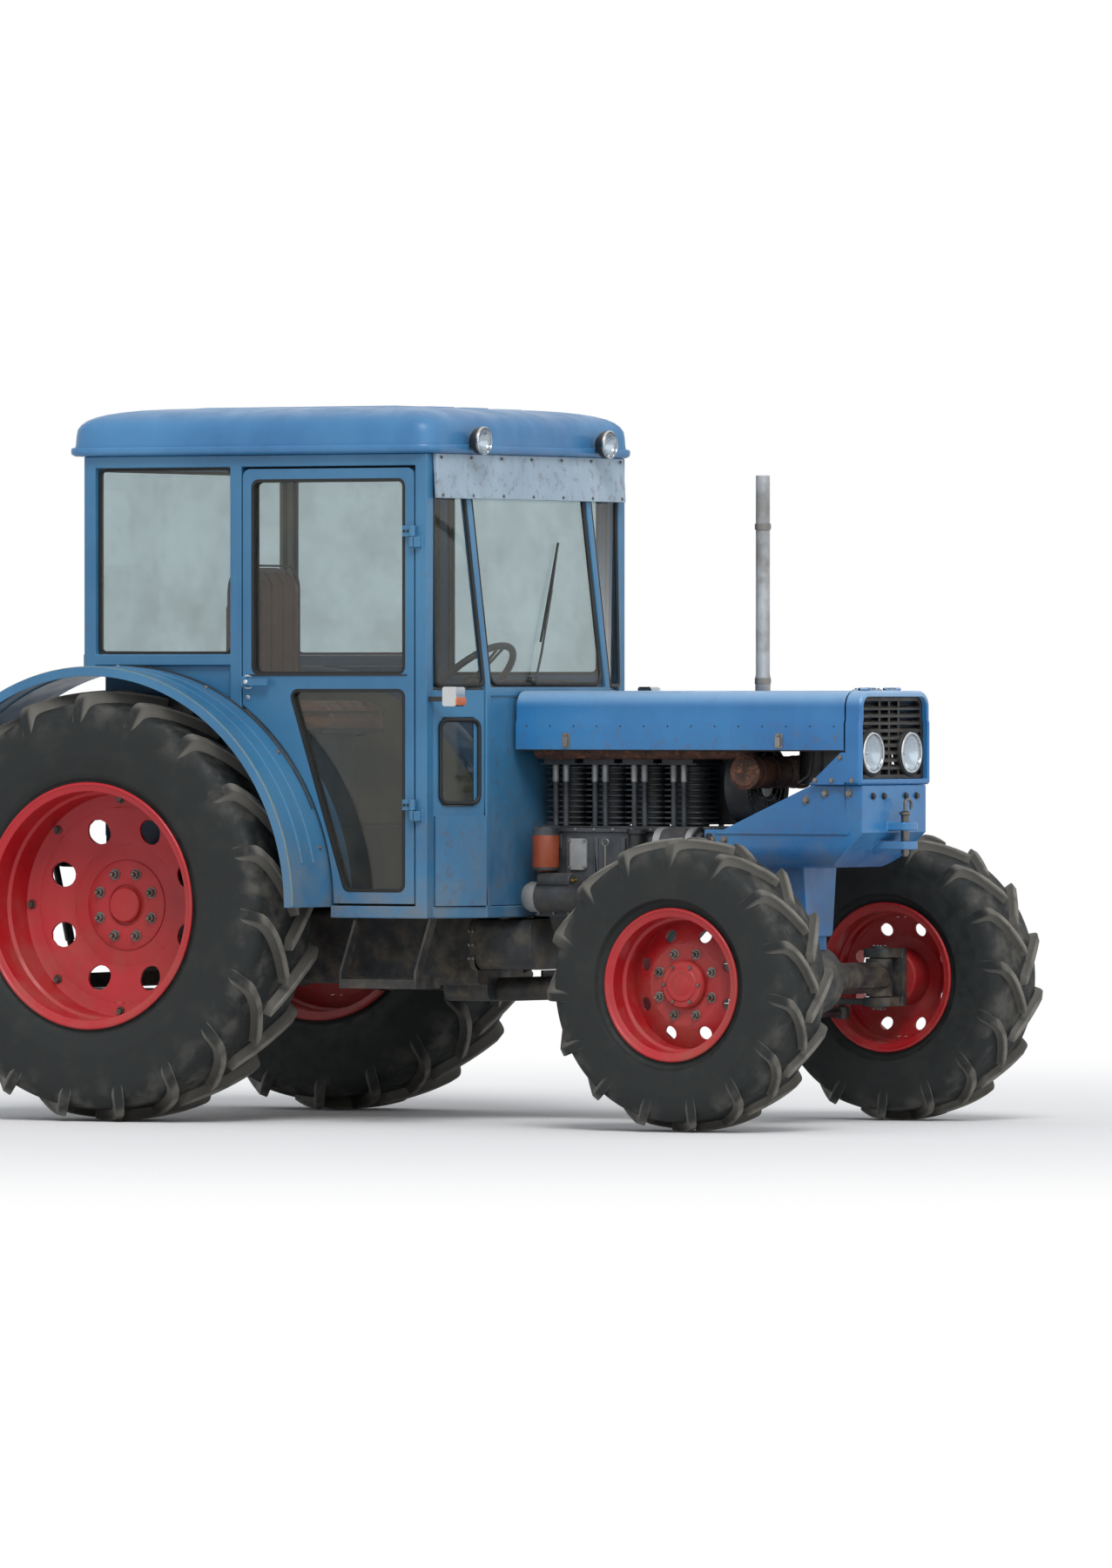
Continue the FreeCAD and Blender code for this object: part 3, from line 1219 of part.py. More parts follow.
def build_knuckles():
    x = wheelbase
    z = front_axle_z
    reach = kingpin_boss_half + 3.0
    hub_y = kingpin_y + kingpin_boss_r + knuckle_plate
    plate_outline = [(x - 52.0, kingpin_y - 46.0), (x + 52.0, kingpin_y - 46.0), (x + 70.0, hub_y),
                     (x - 70.0, hub_y)]
    plates = [prism_z(plate_outline, z0, z0 + knuckle_plate, [40, 40, 0, 0])
              for z0 in (z + reach, z - reach - knuckle_plate)]
    web_y = kingpin_y + kingpin_boss_r + 4.0
    web = box(x - 70.0, x + 70.0, web_y, hub_y, z - reach - knuckle_plate, z + reach + knuckle_plate)
    pin = upright(x, kingpin_y, z - reach - 10.0, z + reach + 10.0, kingpin_r)
    spindle = across(x, web_y + 5.0, hub_y + spindle_long, z, spindle_r)
    arm_low = z - reach - knuckle_plate + 6.0
    arm_x = x - steering_arm
    arm = prism_z([(arm_x - 26.0, kingpin_y - 26.0), (x - 40.0, kingpin_y - 30.0),
                   (x - 40.0, kingpin_y + 40.0), (arm_x - 26.0, kingpin_y + 26.0)],
                  arm_low, arm_low + arm_thick, [25, 0, 0, 25])
    ball = upright(arm_x, kingpin_y, tie_rod_z - 22.0, arm_low + 5.0, ball_pin_r)
    body = fuse(plates + [web, pin, spindle, arm, ball])
    export("knuckle_left", body)
    export("knuckle_right", mirror_y(body))

    def eye_bar(y, half, radius):
        return upright(arm_x, y, tie_rod_z - half, tie_rod_z + half, radius)
    eyes = both_sides(eye_bar(kingpin_y, 22.0, tie_rod_eye_r))
    bar = across(arm_x, -kingpin_y, kingpin_y, tie_rod_z, tie_rod_r)
    left_bore = eye_bar(kingpin_y, 100.0, ball_pin_r + pin_gap)
    right_bore = eye_bar(-kingpin_y, 100.0, ball_pin_r + open_pin_gap)
    export("tie_rod", fuse([bar] + eyes).cut(left_bore).cut(right_bore))


# Fenders and steps

def build_fenders():
    inner_r = fender_r - fender_sheet
    arch = sector(inner_r, fender_r, fender_start, fender_end, fender_inner_y, fender_outer_y)
    lip = sector(fender_r - fender_lip, fender_r, fender_start, fender_end, fender_outer_y - 8.0,
                 fender_outer_y)
    plate = sector(0.001, inner_r + 1.0, 0.0, 180.0, fender_inner_y, fender_inner_y + panel_sheet)
    plate = plate.common(box(cab_back + panel_sheet + seat_gap, fender_r, 0.0, fender_outer_y,
                             sill_top, rear_axle_z + fender_r))
    notch = across(0.0, 0.0, fender_outer_y, rear_axle_z, axle_notch_r)
    side = fuse([arch, lip, plate.cut(notch)])
    export("fender_left", side)
    export("fender_right", mirror_y(side))


def build_steps():
    x1 = step_front_x
    x0 = x1 - step_long
    sheet = step_sheet
    inner = cab_half - 60.0
    outer = inner + step_out
    hang_top = sill_top - sill_high - seat_gap
    ends = (x0, x1 - sheet)
    hanger = [(inner, hang_top), (inner + 46.0, hang_top), (outer, step_z + 60.0), (outer, step_z),
              (outer - 46.0, step_z), (outer - 46.0, step_z + 50.0)]
    pieces = [prism_x(hanger, x, x + sheet) for x in ends]
    pieces += [box(x, x + sheet, inner - step_in, outer, step_z, step_z + 40.0) for x in ends]
    pieces.append(box(x0 + sheet - 1.0, x1 - sheet + 1.0, inner - step_in, outer, step_z, step_z + sheet))
    pieces.append(box(x0 + sheet - 1.0, x1 - sheet + 1.0, outer - 8.0, outer, step_z, step_z + 34.0))
    pitch = (step_long - 2.0 * 30.0) / step_slots
    slots = [box(x0 + 30.0 + i * pitch + 11.0, x0 + 30.0 + (i + 1) * pitch - 11.0, inner, outer - step_in,
                 step_z - 1.0, step_z + sheet + 1.0) for i in range(step_slots)]
    export("steps", both_sides(fuse(pieces).cut(Part.makeCompound(slots))))


# Cab

def build_cab_frame():
    inner = cab_half - post
    half = post / 2.0
    low = sill_top - sill_high
    rail_low = rail_top - rail_high
    over_fender = fender_space(seat_gap, -20.0, 200.0)
    a_post = box(a_post_x - half, a_post_x + half, inner, cab_half, low, rail_top)
    b_post = box(b_post_x - half, b_post_x + half, inner, cab_half, rear_axle_z + 1.0,
                 rail_top).cut(over_fender)
    c_post = box(c_post_x - half, c_post_x + half, inner, cab_half, rear_axle_z + 1.0,
                 rail_top).cut(over_fender)
    waist = box(c_post_x, b_post_x, inner, cab_half, waist_bottom, waist_bottom + waist_high)
    top_rail = box(c_post_x - half, a_post_x + half, inner, cab_half, rail_low, rail_top)
    sill = box(fender_r + seat_gap, a_post_x, inner, cab_half, low, sill_top)
    foot = rectangle(screen_foot_x - screen_deep, screen_foot_x, screen_half, screen_half + screen_post)
    head = [(x - screen_foot_x + screen_head_x, y) for x, y in foot]
    lower_post = prism_z(foot, low, screen_foot_z)
    upper_post = loft_z([(screen_foot_z, foot, None), (rail_top, head, None)])
    pieces = [a_post, b_post, c_post, waist, top_rail, sill, lower_post, upper_post]
    hinge_x = a_post_x - half - door_gap / 2.0
    hinge_y = cab_half + hinge_out
    for z in hinge_heights:
        pieces.append(upright(hinge_x, hinge_y, z - hinge_long, z, hinge_barrel_r))
        pieces.append(upright(hinge_x, hinge_y, z - 1.0, z + hinge_long, hinge_pin_r))
        pieces.append(box(hinge_x, hinge_x + 34.0, cab_half - 1.0, hinge_y + 6.0, z - hinge_long, z))
    # Slanted runs that join the screen posts to the front posts, above and below.
    pieces.append(prism_z([(screen_head_x - screen_deep, screen_half), (screen_head_x, screen_half),
                           (a_post_x + half, inner), (a_post_x, inner)], rail_low, rail_top))
    pieces.append(prism_z([(screen_foot_x - screen_deep, screen_half + 20.0),
                           (screen_foot_x, screen_half + screen_post - 1.0),
                           (a_post_x + half, inner + 4.0), (a_post_x, inner + 4.0)], low, sill_top - 2.0))
    # Cross bars: X from, X to, half width, bottom, top.
    bars = (
        (screen_head_x - screen_deep, screen_head_x, screen_half + 1.0, rail_low, rail_top),
        (screen_foot_x - screen_deep, screen_foot_x, screen_half + 1.0, screen_foot_z - screen_post,
         screen_foot_z),
        (screen_foot_x - screen_deep, screen_foot_x, screen_half + 1.0, low, sill_top - 2.0),
        (a_post_x - half, a_post_x + half, inner + 1.0, rail_low, rail_top),
        (c_post_x - half, c_post_x + half, inner + 1.0, rail_low, rail_top),
        (c_post_x - half, c_post_x + half, inner + 1.0, waist_bottom, waist_bottom + waist_high),
    )
    cross = [box(x0, x1, -y, y, z0, z1) for x0, x1, y, z0, z1 in bars]
    export("cab_frame", fuse(both_sides(fuse(pieces)) + cross))


def corner_section(x_centre, depth, thick, margin=0.0):
    # Plan of a plate in the slanted corner between the front post and the screen post,
    # set back by depth from the line that joins the two posts' outer corners.
    a = Vector(a_post_x + post / 2, cab_half - post, 0)
    b = Vector(x_centre, screen_half + screen_post, 0)
    along = (b - a).normalize()
    inward = Vector(along.y, -along.x, 0)
    faces = (depth, depth + thick)
    start = max((seat_gap + inward.y * d) / -along.y for d in faces) + margin
    stop = max((seat_gap - inward.y * d) / -along.y for d in faces) + margin
    p = a + along * start + inward * depth
    q = b - along * stop + inward * depth
    r = q + inward * thick
    s = p + inward * thick
    return [(v.x, v.y) for v in (p, q, r, s)]


def screen_x(z):
    share = (z - screen_foot_z) / (rail_top - screen_foot_z)
    return screen_foot_x + (screen_head_x - screen_foot_x) * max(0.0, share)


def build_cab_panels():
    low = sill_top
    centre = box(screen_foot_x - 6.0 - panel_sheet, screen_foot_x - 6.0, seat_gap - screen_half,
                 screen_half - seat_gap, low, screen_foot_z - screen_post - seat_gap)

    def wall(z0, z1, depth, thick, margin=0.0):
        return prism_z(corner_section(screen_foot_x, depth, thick, margin), z0, z1)
    corner = wall(low, screen_foot_z - 10.0, 6.0, panel_sheet)
    window = wall(corner_glass_low, corner_glass_high, -20.0, 60.0, corner_rim)
    kick = wall(low, corner_glass_low - 35.0, -8.0, 15.0)
    export("cab_front_panels", [centre] + both_sides(fuse([corner.cut(window), kick])))

    over_fender = fender_space(seat_gap, -20.0, 200.0)
    flank_y = cab_half - pane_in
    flank = box(c_post_x + post / 2 + seat_gap, b_post_x - post / 2 - seat_gap, flank_y,
                flank_y + panel_sheet, rear_axle_z + 1.0, waist_bottom - seat_gap).cut(over_fender)
    top = waist_bottom + waist_high
    inner = fender_inner_y - seat_gap
    middle = box(cab_back, cab_back + panel_sheet, -inner, inner, deck_top - floor_thick, top)
    wing = box(cab_back, cab_back + panel_sheet, inner - 1.0, cab_half - 10.0, rear_axle_z + 1.0, top)
    back = fuse([middle] + both_sides(wing.cut(over_fender)))
    export("cab_rear_panels", [back] + both_sides(flank))


def build_cab_floor():
    low = floor_top - floor_thick
    inner = cab_half - post - seat_gap
    plate_side = fender_inner_y - seat_gap
    front_edge = screen_foot_x - screen_deep - 4.0
    step_x = fender_r + 4.0
    right = [(deck_front, plate_side), (step_x, plate_side), (step_x, inner), (a_post_x, inner),
             (front_edge, screen_half - 4.0)]
    plan = [(x, -y) for x, y in right] + right[::-1]
    floor = prism_z(plan, low, floor_top)
    riser = box(deck_front, deck_front + 20.0, -plate_side, plate_side, low, deck_top)
    deck = box(cab_back + panel_sheet + seat_gap, deck_front + 20.0, -plate_side, plate_side,
               deck_top - floor_thick, deck_top)
    export("cab_floor", fuse([floor, riser, deck]))


def build_roof():
    # Height over the rail, inset and corner radius; the foot turns out into a rain gutter.
    rows = ((0.0, 12.0, 80.0), (8.0, 0.0, roof_corner), (30.0, 0.0, roof_corner), (38.0, 14.0, 80.0),
            (104.0, 20.0, 78.0), (152.0, 74.0, 70.0), (roof_high, 236.0, 60.0))
    sections = []
    for rise, inset, radius in rows:
        outline = rectangle(roof_back + inset, roof_front - inset, inset - roof_half, roof_half - inset)
        sections.append((roof_bottom + rise, outline, [radius] * 4))
    export("cab_roof", loft_z(sections))
    foot_x = screen_x(header_bottom) + seat_gap
    head_x = a_post_x + post / 2.0 + seat_gap
    half = cab_half - header_short
    header = prism_y([(foot_x, header_bottom), (foot_x + header_thick, header_bottom),
                      (head_x + header_thick, rail_top), (head_x, rail_top)], -half, half)
    export("windscreen_header", header)


def build_glass():
    half = screen_half - seat_gap
    z0 = screen_foot_z + seat_gap
    z1 = rail_top - rail_high - seat_gap
    x0 = screen_x(z0) - 12.0
    x1 = screen_x(z1) - 12.0
    screen = prism_y([(x0 - glass_thick, z0), (x0, z0), (x1, z1), (x1 - glass_thick, z1)], -half, half)
    corner = loft_z([(z0 - 9.0, corner_section(screen_foot_x, 10.0, glass_thick), None),
                     (z1, corner_section(screen_x(z1), 10.0, glass_thick), None)])
    low_corner = prism_z(corner_section(screen_foot_x, 7.0, glass_thick, corner_rim + 12.0),
                         corner_glass_low + seat_gap, corner_glass_high - seat_gap)
    export("windscreen", [screen] + both_sides(corner) + both_sides(low_corner))
    low = waist_bottom + waist_high + seat_gap
    side = box(c_post_x + post / 2 + seat_gap, b_post_x - post / 2 - seat_gap, cab_half - pane_in,
               cab_half - pane_in + glass_thick, low, z1)
    rear_half = cab_half - post - seat_gap
    rear = box(c_post_x - glass_thick / 2, c_post_x + glass_thick / 2, -rear_half, rear_half, low, z1)
    export("rear_windows", [rear] + both_sides(side))


def tangent_x(foot_x, foot_z, radius, z):
    # X at height z of the line that starts at the foot and just touches a circle about the rear axle.
    rise = foot_z - rear_axle_z
    turn = math.atan2(rise, foot_x) + math.acos(radius / math.hypot(foot_x, rise))
    return (radius - (z - rear_axle_z) * math.sin(turn)) / math.cos(turn)


def door_outline(inset):
    # X and Z of the door's edge, without the fender's arc.
    return rectangle(b_post_x + post / 2 + door_gap + inset, a_post_x - post / 2 - door_gap - inset,
                     door_bottom + inset, door_top - inset)


def build_doors():
    outer_y = cab_half - 2.0
    inner_y = outer_y - door_thick
    arc_r = fender_r + door_fender_gap
    blank = prism_y(door_outline(0.0), inner_y, outer_y, [0, 0, 30, 30]).cut(
        fender_space(door_fender_gap, -20.0, 120.0))
    x0, x1 = door_outline(door_frame)[0][0], door_outline(door_frame)[1][0]
    upper = rectangle(x0, x1, door_mid_top, door_top - door_frame)
    foot_z = door_bottom + door_frame + 4.0
    foot_x = math.sqrt(arc_r ** 2 - (foot_z - rear_axle_z) ** 2) + door_frame + 8.0
    lower = [(foot_x, foot_z), (x1, foot_z), (x1, door_mid_bottom),
             (tangent_x(foot_x, foot_z, arc_r + door_arc_rim, door_mid_bottom), door_mid_bottom)]
    radii = [26] * 4
    holes = [prism_y(shape, inner_y - 1.0, outer_y + 1.0, radii) for shape in (upper, lower)]
    pieces = [blank.cut(Part.makeCompound(holes))]
    hinge_x = a_post_x - post / 2 - door_gap / 2.0
    hinge_y = cab_half + hinge_out
    for z in hinge_heights:
        pieces.append(upright(hinge_x, hinge_y, z + seat_gap, z + hinge_long, hinge_barrel_r))
        pieces.append(box(hinge_x - 40.0, hinge_x, outer_y - 1.0, hinge_y + 6.0, z + seat_gap,
                          z + hinge_long))
    handle_x = x0 - 18.0
    handle_z = door_mid_bottom + 10.0
    pieces.append(box(handle_x - 10.0, handle_x + 10.0, outer_y - 1.0, outer_y + 34.0, handle_z,
                      handle_z + 40.0))
    pieces.append(box(handle_x - 10.0, handle_x + handle_long, outer_y + 24.0, outer_y + 36.0,
                      handle_z + 6.0, handle_z + 32.0))
    bores = [upright(hinge_x, hinge_y, z - 1.0, z + hinge_long + 1.0, hinge_pin_r + pin_gap)
             for z in hinge_heights]
    frame = fuse(pieces).cut(Part.makeCompound(bores))
    pane_y = (outer_y + inner_y - glass_thick) / 2.0

    def pane(shape):
        middle_x = sum(x for x, _ in shape) / len(shape)
        middle_z = sum(z for _, z in shape) / len(shape)
        shrunk = [(x + math.copysign(pane_gap, middle_x - x), z + math.copysign(pane_gap, middle_z - z))
                  for x, z in shape]
        return prism_y(shrunk, pane_y, pane_y + glass_thick, radii)
    glass = [pane(upper), pane(lower)]
    export("door_left", frame)
    export("door_left_glass", glass)
    export("door_right", mirror_y(frame))
    export("door_right_glass", [mirror_y(g) for g in glass])


# Inside the cab

def build_dashboard():
    base = floor_top + seat_gap
    back = screen_foot_x - 22.0
    console = prism_y([(back - 188.0, base), (back, base), (back, screen_foot_z - 60.0),
                       (back - 118.0, screen_foot_z - 100.0), (back - 148.0, screen_foot_z - 220.0),
                       (back - 118.0, floor_top + 370.0)], -dash_half, dash_half, [20, 0, 0, 30, 20, 40])
    foot = Vector(column_foot[0], 0, column_foot[1])
    head = Vector(column_head[0], 0, column_head[1])
    along = (head - foot).normalize()
    export("dashboard", fuse([console, rod(foot, head, column_r)]))

    grip = []
    for k in range(8):
        turn = math.pi * k / 4.0
        grip.append((wheel_ring_r + wheel_grip_r * math.cos(turn), wheel_grip_r * math.sin(turn)))
    rim_ring = ring(grip, 36)
    rim_ring.rotate(Vector(0, 0, 0), Vector(1, 0, 0), 90.0)
    pieces = [upright(0, 0, -24.0, 16.0, wheel_hub_r), rim_ring]
    for angle in (90.0, 210.0, 330.0):
        spoke = box(-9.0, 9.0, 0.0, wheel_ring_r - 5.0, -5.0, 5.0)
        spoke.rotate(Vector(0, 0, 0), Vector(0, 0, 1), angle)
        pieces.append(spoke)
    wheel = fuse(pieces)
    wheel.Placement = FreeCAD.Placement(head + along * wheel_lift,
                                        FreeCAD.Rotation(Vector(0, 0, 1), along))
    export("steering_wheel", wheel.copy().cut(rod(foot, head, column_r + pin_gap)))


def lever(foot, tip):
    along = (Vector(*tip) - Vector(*foot)).normalize()
    knob_top = Vector(*tip) + along * knob_long
    return [rod(foot, tip, lever_r), rod(tip, knob_top, knob_r)]


def build_controls():
    # A console with two levers at the driver's right hand, and three pedals in front of the seat.
    box_back = seat_back_x + 60.0
    box_front = box_back + side_box_long
    base = deck_top + seat_gap
    top = base + side_box_high
    console_side = [(box_back, base), (box_front, base), (box_front, top - 60.0),
                    (box_front - 70.0, top), (box_back, top)]
    console = prism_y(console_side, side_box_y - side_box_half, side_box_y + side_box_half,
                      [12, 12, 20, 20, 12])
    pieces = [console]
    for y, lean in ((side_box_y - 20.0, 30.0), (side_box_y + 20.0, 70.0)):
        foot_x = box_front - 120.0
        pieces += lever((foot_x, y, top - 20.0), (foot_x + lean, y, top + lever_long))
    solids = [fuse(pieces)]
    pedal_x = screen_foot_x - 120.0
    for y in pedal_places:
        arm = pipe([(pedal_x, y, floor_top + seat_gap), (pedal_x, y, floor_top + pedal_high - 60.0),
                    (pedal_x - 70.0, y, floor_top + pedal_high)], pedal_r, 20.0)
        pad = box(-35.0, 35.0, -30.0, 30.0, -5.0, 5.0)
        pad.rotate(Vector(0, 0, 0), Vector(0, 1, 0), 52.0)
        solids.append(fuse([arm, place(pad, pedal_x - 70.0, y, floor_top + pedal_high)]))
    export("controls", solids)


def build_seat():
    half = seat_half
    foot_back = seat_back_x + 58.0
    pan_low = seat_low
    base = prism_y([(foot_back, deck_top + seat_gap), (foot_back + 300.0, deck_top + seat_gap),
                    (foot_back + 280.0, pan_low), (foot_back + 20.0, pan_low)], 90.0 - half, half - 90.0)
    pan = box(seat_back_x - 2.0, seat_back_x + back_thick + seat_long - 12.0, 15.0 - half, half - 15.0,
              pan_low, pan_low + seat_pan)
    back_plate = box(seat_back_x - seat_pan, seat_back_x, 50.0 - half, half - 50.0, pan_low,
                     pan_low + 470.0)
    export("seat_base", fuse([base, pan, back_plate]))
    cushion_back = seat_back_x + back_thick + 8.0
    cushion_low = pan_low + seat_pan
    cushion_top = cushion_low + seat_high
    export("seat_cushion", prism_z(rectangle(cushion_back, cushion_back + seat_long, -half, half),
                                   cushion_low + seat_gap, cushion_top, [50] * 4))
    side = half - 15.0
    export("seat_back", prism_x(rectangle(-side, side, cushion_top + 8.0, cushion_top + 8.0 + back_high),
                                seat_back_x + seat_gap, seat_back_x + back_thick, [40, 40, 90, 90]))


def build_tank():
    tank = prism_x(rectangle(tank_inner_y, tank_outer_y, tank_bottom, tank_top), tank_back_x,
                   tank_back_x + tank_long, [40] * 4)
    cap_x = tank_back_x + tank_long - 80.0
    cap = rod((cap_x, tank_outer_y - 1.0, tank_top - 110.0),
              (cap_x, tank_outer_y + 40.0, tank_top - 80.0), tank_cap_r)
    straps = [prism_x(rectangle(tank_inner_y - 3.0, tank_outer_y + 3.0, tank_bottom - 3.0,
                                tank_top + 3.0),
                      x, x + 40.0, [43] * 4) for x in (tank_back_x + 85.0,
                                                       tank_back_x + tank_long - 135.0)]
    brackets = [box(x, x + 40.0, gearbox_half + seat_gap, tank_inner_y + 15.0, tank_bottom + 90.0,
                    tank_top - 70.0)
                for x in (tank_back_x + 85.0, tank_back_x + tank_long - 135.0)]
    export("fuel_tank", fuse([tank, cap] + straps + brackets))


os.makedirs("parts", exist_ok=True)
build_rear_wheels()
build_front_wheels()
build_rear_axle()
build_transmission()
build_linkage()
build_drawbar()
build_engine()
build_cylinders()
build_cooling()
build_exhaust()
build_air_cleaner()
build_bonnet()
build_nose()
build_grille()
build_lamps()
build_front_carrier()
build_front_axle()
build_knuckles()
build_fenders()
build_steps()
build_cab_frame()
build_cab_panels()
build_cab_floor()
build_roof()
build_glass()
build_doors()
build_dashboard()
build_controls()
build_seat()
build_tank()
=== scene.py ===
import json
import math
import random

import bmesh
import bpy
from mathutils import Matrix, Quaternion, Vector


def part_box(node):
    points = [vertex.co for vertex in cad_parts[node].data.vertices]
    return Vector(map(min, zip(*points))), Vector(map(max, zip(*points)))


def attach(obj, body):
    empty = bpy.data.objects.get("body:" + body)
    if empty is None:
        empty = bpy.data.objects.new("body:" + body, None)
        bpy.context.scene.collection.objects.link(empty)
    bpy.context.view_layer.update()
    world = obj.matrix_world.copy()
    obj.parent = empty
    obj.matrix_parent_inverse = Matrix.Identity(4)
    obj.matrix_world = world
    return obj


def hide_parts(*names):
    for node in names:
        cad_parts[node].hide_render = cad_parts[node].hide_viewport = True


# The looks of a four-wheel-drive farm tractor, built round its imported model.
# Metres. Every X below is measured from the rear axle; Piece.finish moves it to the frame's own X.

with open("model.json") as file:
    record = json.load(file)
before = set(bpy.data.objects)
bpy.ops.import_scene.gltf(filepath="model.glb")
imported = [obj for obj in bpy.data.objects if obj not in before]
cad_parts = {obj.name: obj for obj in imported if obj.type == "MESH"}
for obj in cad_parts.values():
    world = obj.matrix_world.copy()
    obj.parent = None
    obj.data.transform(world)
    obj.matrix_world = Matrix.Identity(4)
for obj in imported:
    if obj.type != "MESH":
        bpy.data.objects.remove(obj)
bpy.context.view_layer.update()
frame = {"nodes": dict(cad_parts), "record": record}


def middle(node):
    low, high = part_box(node)
    return (low + high) / 2.0


AXLE_X = middle("rim_rear_left").x
REAR_Y = middle("tyre_rear_left").y
REAR_Z = middle("rim_rear_left").z
FRONT_X = middle("rim_front_left").x - AXLE_X
FRONT_Y = middle("tyre_front_left").y
FRONT_Z = middle("rim_front_left").z


def span(node):
    """A CAD node's lowest and highest corner, with X from the rear axle."""
    low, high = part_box(node)
    back = Vector((AXLE_X, 0.0, 0.0))
    return low - back, high - back


# Camera, lamps and floor

PHOTO_WIDE, PHOTO_HIGH = 1277.0, 1800.0
VIEW_AZIMUTH = math.radians(31.0)
EYE_HEIGHT = 1.587
EYE_DISTANCE = 50.0
HORIZON_ROW = 793.0
SCALE_PX_PER_M = 312.0
SCALE_DEPTH = 0.857
AXIS_ALONG = 1.217
SENSOR = 36.0


def make_camera():
    right = Vector((math.cos(VIEW_AZIMUTH), math.sin(VIEW_AZIMUTH), 0.0))
    ahead = Vector((-math.sin(VIEW_AZIMUTH), math.cos(VIEW_AZIMUTH), 0.0))
    focal_px = SCALE_PX_PER_M * (EYE_DISTANCE - SCALE_DEPTH)
    down = (PHOTO_HIGH / 2.0 - HORIZON_ROW) / focal_px
    data = bpy.data.cameras.new("camera")
    data.sensor_width = SENSOR
    data.lens = focal_px * SENSOR / PHOTO_HIGH
    data.clip_start = 1.0
    data.clip_end = 400.0
    camera = bpy.data.objects.new("camera", data)
    bpy.context.scene.collection.objects.link(camera)
    camera.location = right * AXIS_ALONG - ahead * EYE_DISTANCE + Vector((AXLE_X, 0.0, EYE_HEIGHT))
    camera.rotation_mode = "QUATERNION"
    camera.rotation_quaternion = (ahead - Vector((0.0, 0.0, down))).to_track_quat("-Z", "Y")
    bpy.context.scene.camera = camera


def seen_ray(nodes, links):
    """1 on rays from the camera, a mirror or glass."""
    path = nodes.new("ShaderNodeLightPath")
    total = path.outputs["Is Camera Ray"]
    for name in ("Is Glossy Ray", "Is Transmission Ray"):
        more = nodes.new("ShaderNodeMath")
        more.operation = "MAXIMUM"
        links.new(total, more.inputs[0])
        links.new(path.outputs[name], more.inputs[1])
        total = more.outputs[0]
    return total


def make_lights():
    world = bpy.data.worlds.new("studio")
    bpy.context.scene.world = world
    world.use_nodes = True
    nodes, links = world.node_tree.nodes, world.node_tree.links
    lit = nodes["Background"]
    lit.inputs["Color"].default_value = (0.93, 0.96, 1.0, 1.0)
    lit.inputs["Strength"].default_value = 0.62
    shown = nodes.new("ShaderNodeBackground")
    shown.inputs["Color"].default_value = (1.0, 1.0, 1.0, 1.0)
    shown.inputs["Strength"].default_value = 1.0
    choice = nodes.new("ShaderNodeMixShader")
    links.new(seen_ray(nodes, links), choice.inputs[0])
    links.new(lit.outputs[0], choice.inputs[1])
    links.new(shown.outputs[0], choice.inputs[2])
    links.new(choice.outputs[0], nodes["World Output"].inputs["Surface"])
    for name, energy, toward, soft in (("key", 1.7, (-0.55, 0.75, -1.0), 25.0), ("fill", 0.5, (-1.0, 0.35, -0.35), 60.0)):
        data = bpy.data.lights.new(name, "SUN")
        data.energy = energy
        data.angle = math.radians(soft)
        lamp = bpy.data.objects.new(name, data)
        bpy.context.scene.collection.objects.link(lamp)
        lamp.rotation_mode = "QUATERNION"
        lamp.rotation_quaternion = Vector(toward).to_track_quat("-Z", "Y")


def make_floor():
    size = 300.0
    mesh = bpy.data.meshes.new("floor")
    mesh.from_pydata([(-size, -size, 0), (size, -size, 0), (size, size, 0), (-size, size, 0)], [], [(0, 1, 2, 3)])
    floor = bpy.data.objects.new("floor", mesh)
    bpy.context.scene.collection.objects.link(floor)
    material = bpy.data.materials.new("pale_floor")
    material.use_nodes = True
    nodes, links = material.node_tree.nodes, material.node_tree.links
    shader = nodes["Principled BSDF"]
    shader.inputs["Base Color"].default_value = (0.8, 0.8, 0.8, 1.0)
    shader.inputs["Roughness"].default_value = 0.9
    shader.inputs["Specular IOR Level"].default_value = 0.1
    white = nodes.new("ShaderNodeEmission")
    place = nodes.new("ShaderNodeTexCoord")
    away = nodes.new("ShaderNodeVectorMath")
    away.operation = "LENGTH"
    links.new(place.outputs["Object"], away.inputs[0])
    fade = nodes.new("ShaderNodeMapRange")
    fade.interpolation_type = "SMOOTHSTEP"
    fade.inputs["From Min"].default_value = 2.6
    fade.inputs["From Max"].default_value = 9.0
    links.new(away.outputs["Value"], fade.inputs["Value"])
    both = nodes.new("ShaderNodeMath")
    both.operation = "MULTIPLY"
    links.new(fade.outputs["Result"], both.inputs[0])
    links.new(seen_ray(nodes, links), both.inputs[1])
    choice = nodes.new("ShaderNodeMixShader")
    links.new(both.outputs[0], choice.inputs[0])
    links.new(shader.outputs[0], choice.inputs[1])
    links.new(white.outputs[0], choice.inputs[2])
    links.new(choice.outputs[0], nodes["Material Output"].inputs["Surface"])
    mesh.materials.append(material)


# Materials

def srgb(red, green, blue):
    def linear(value):
        value /= 255.0
        return value / 12.92 if value <= 0.04045 else ((value + 0.055) / 1.055) ** 2.4
    return (linear(red), linear(green), linear(blue), 1.0)


def shade(colour, share):
    return tuple(min(1.0, c * share) for c in colour[:3]) + (1.0,)


DUST = srgb(126, 114, 94)
MUD = srgb(74, 62, 48)


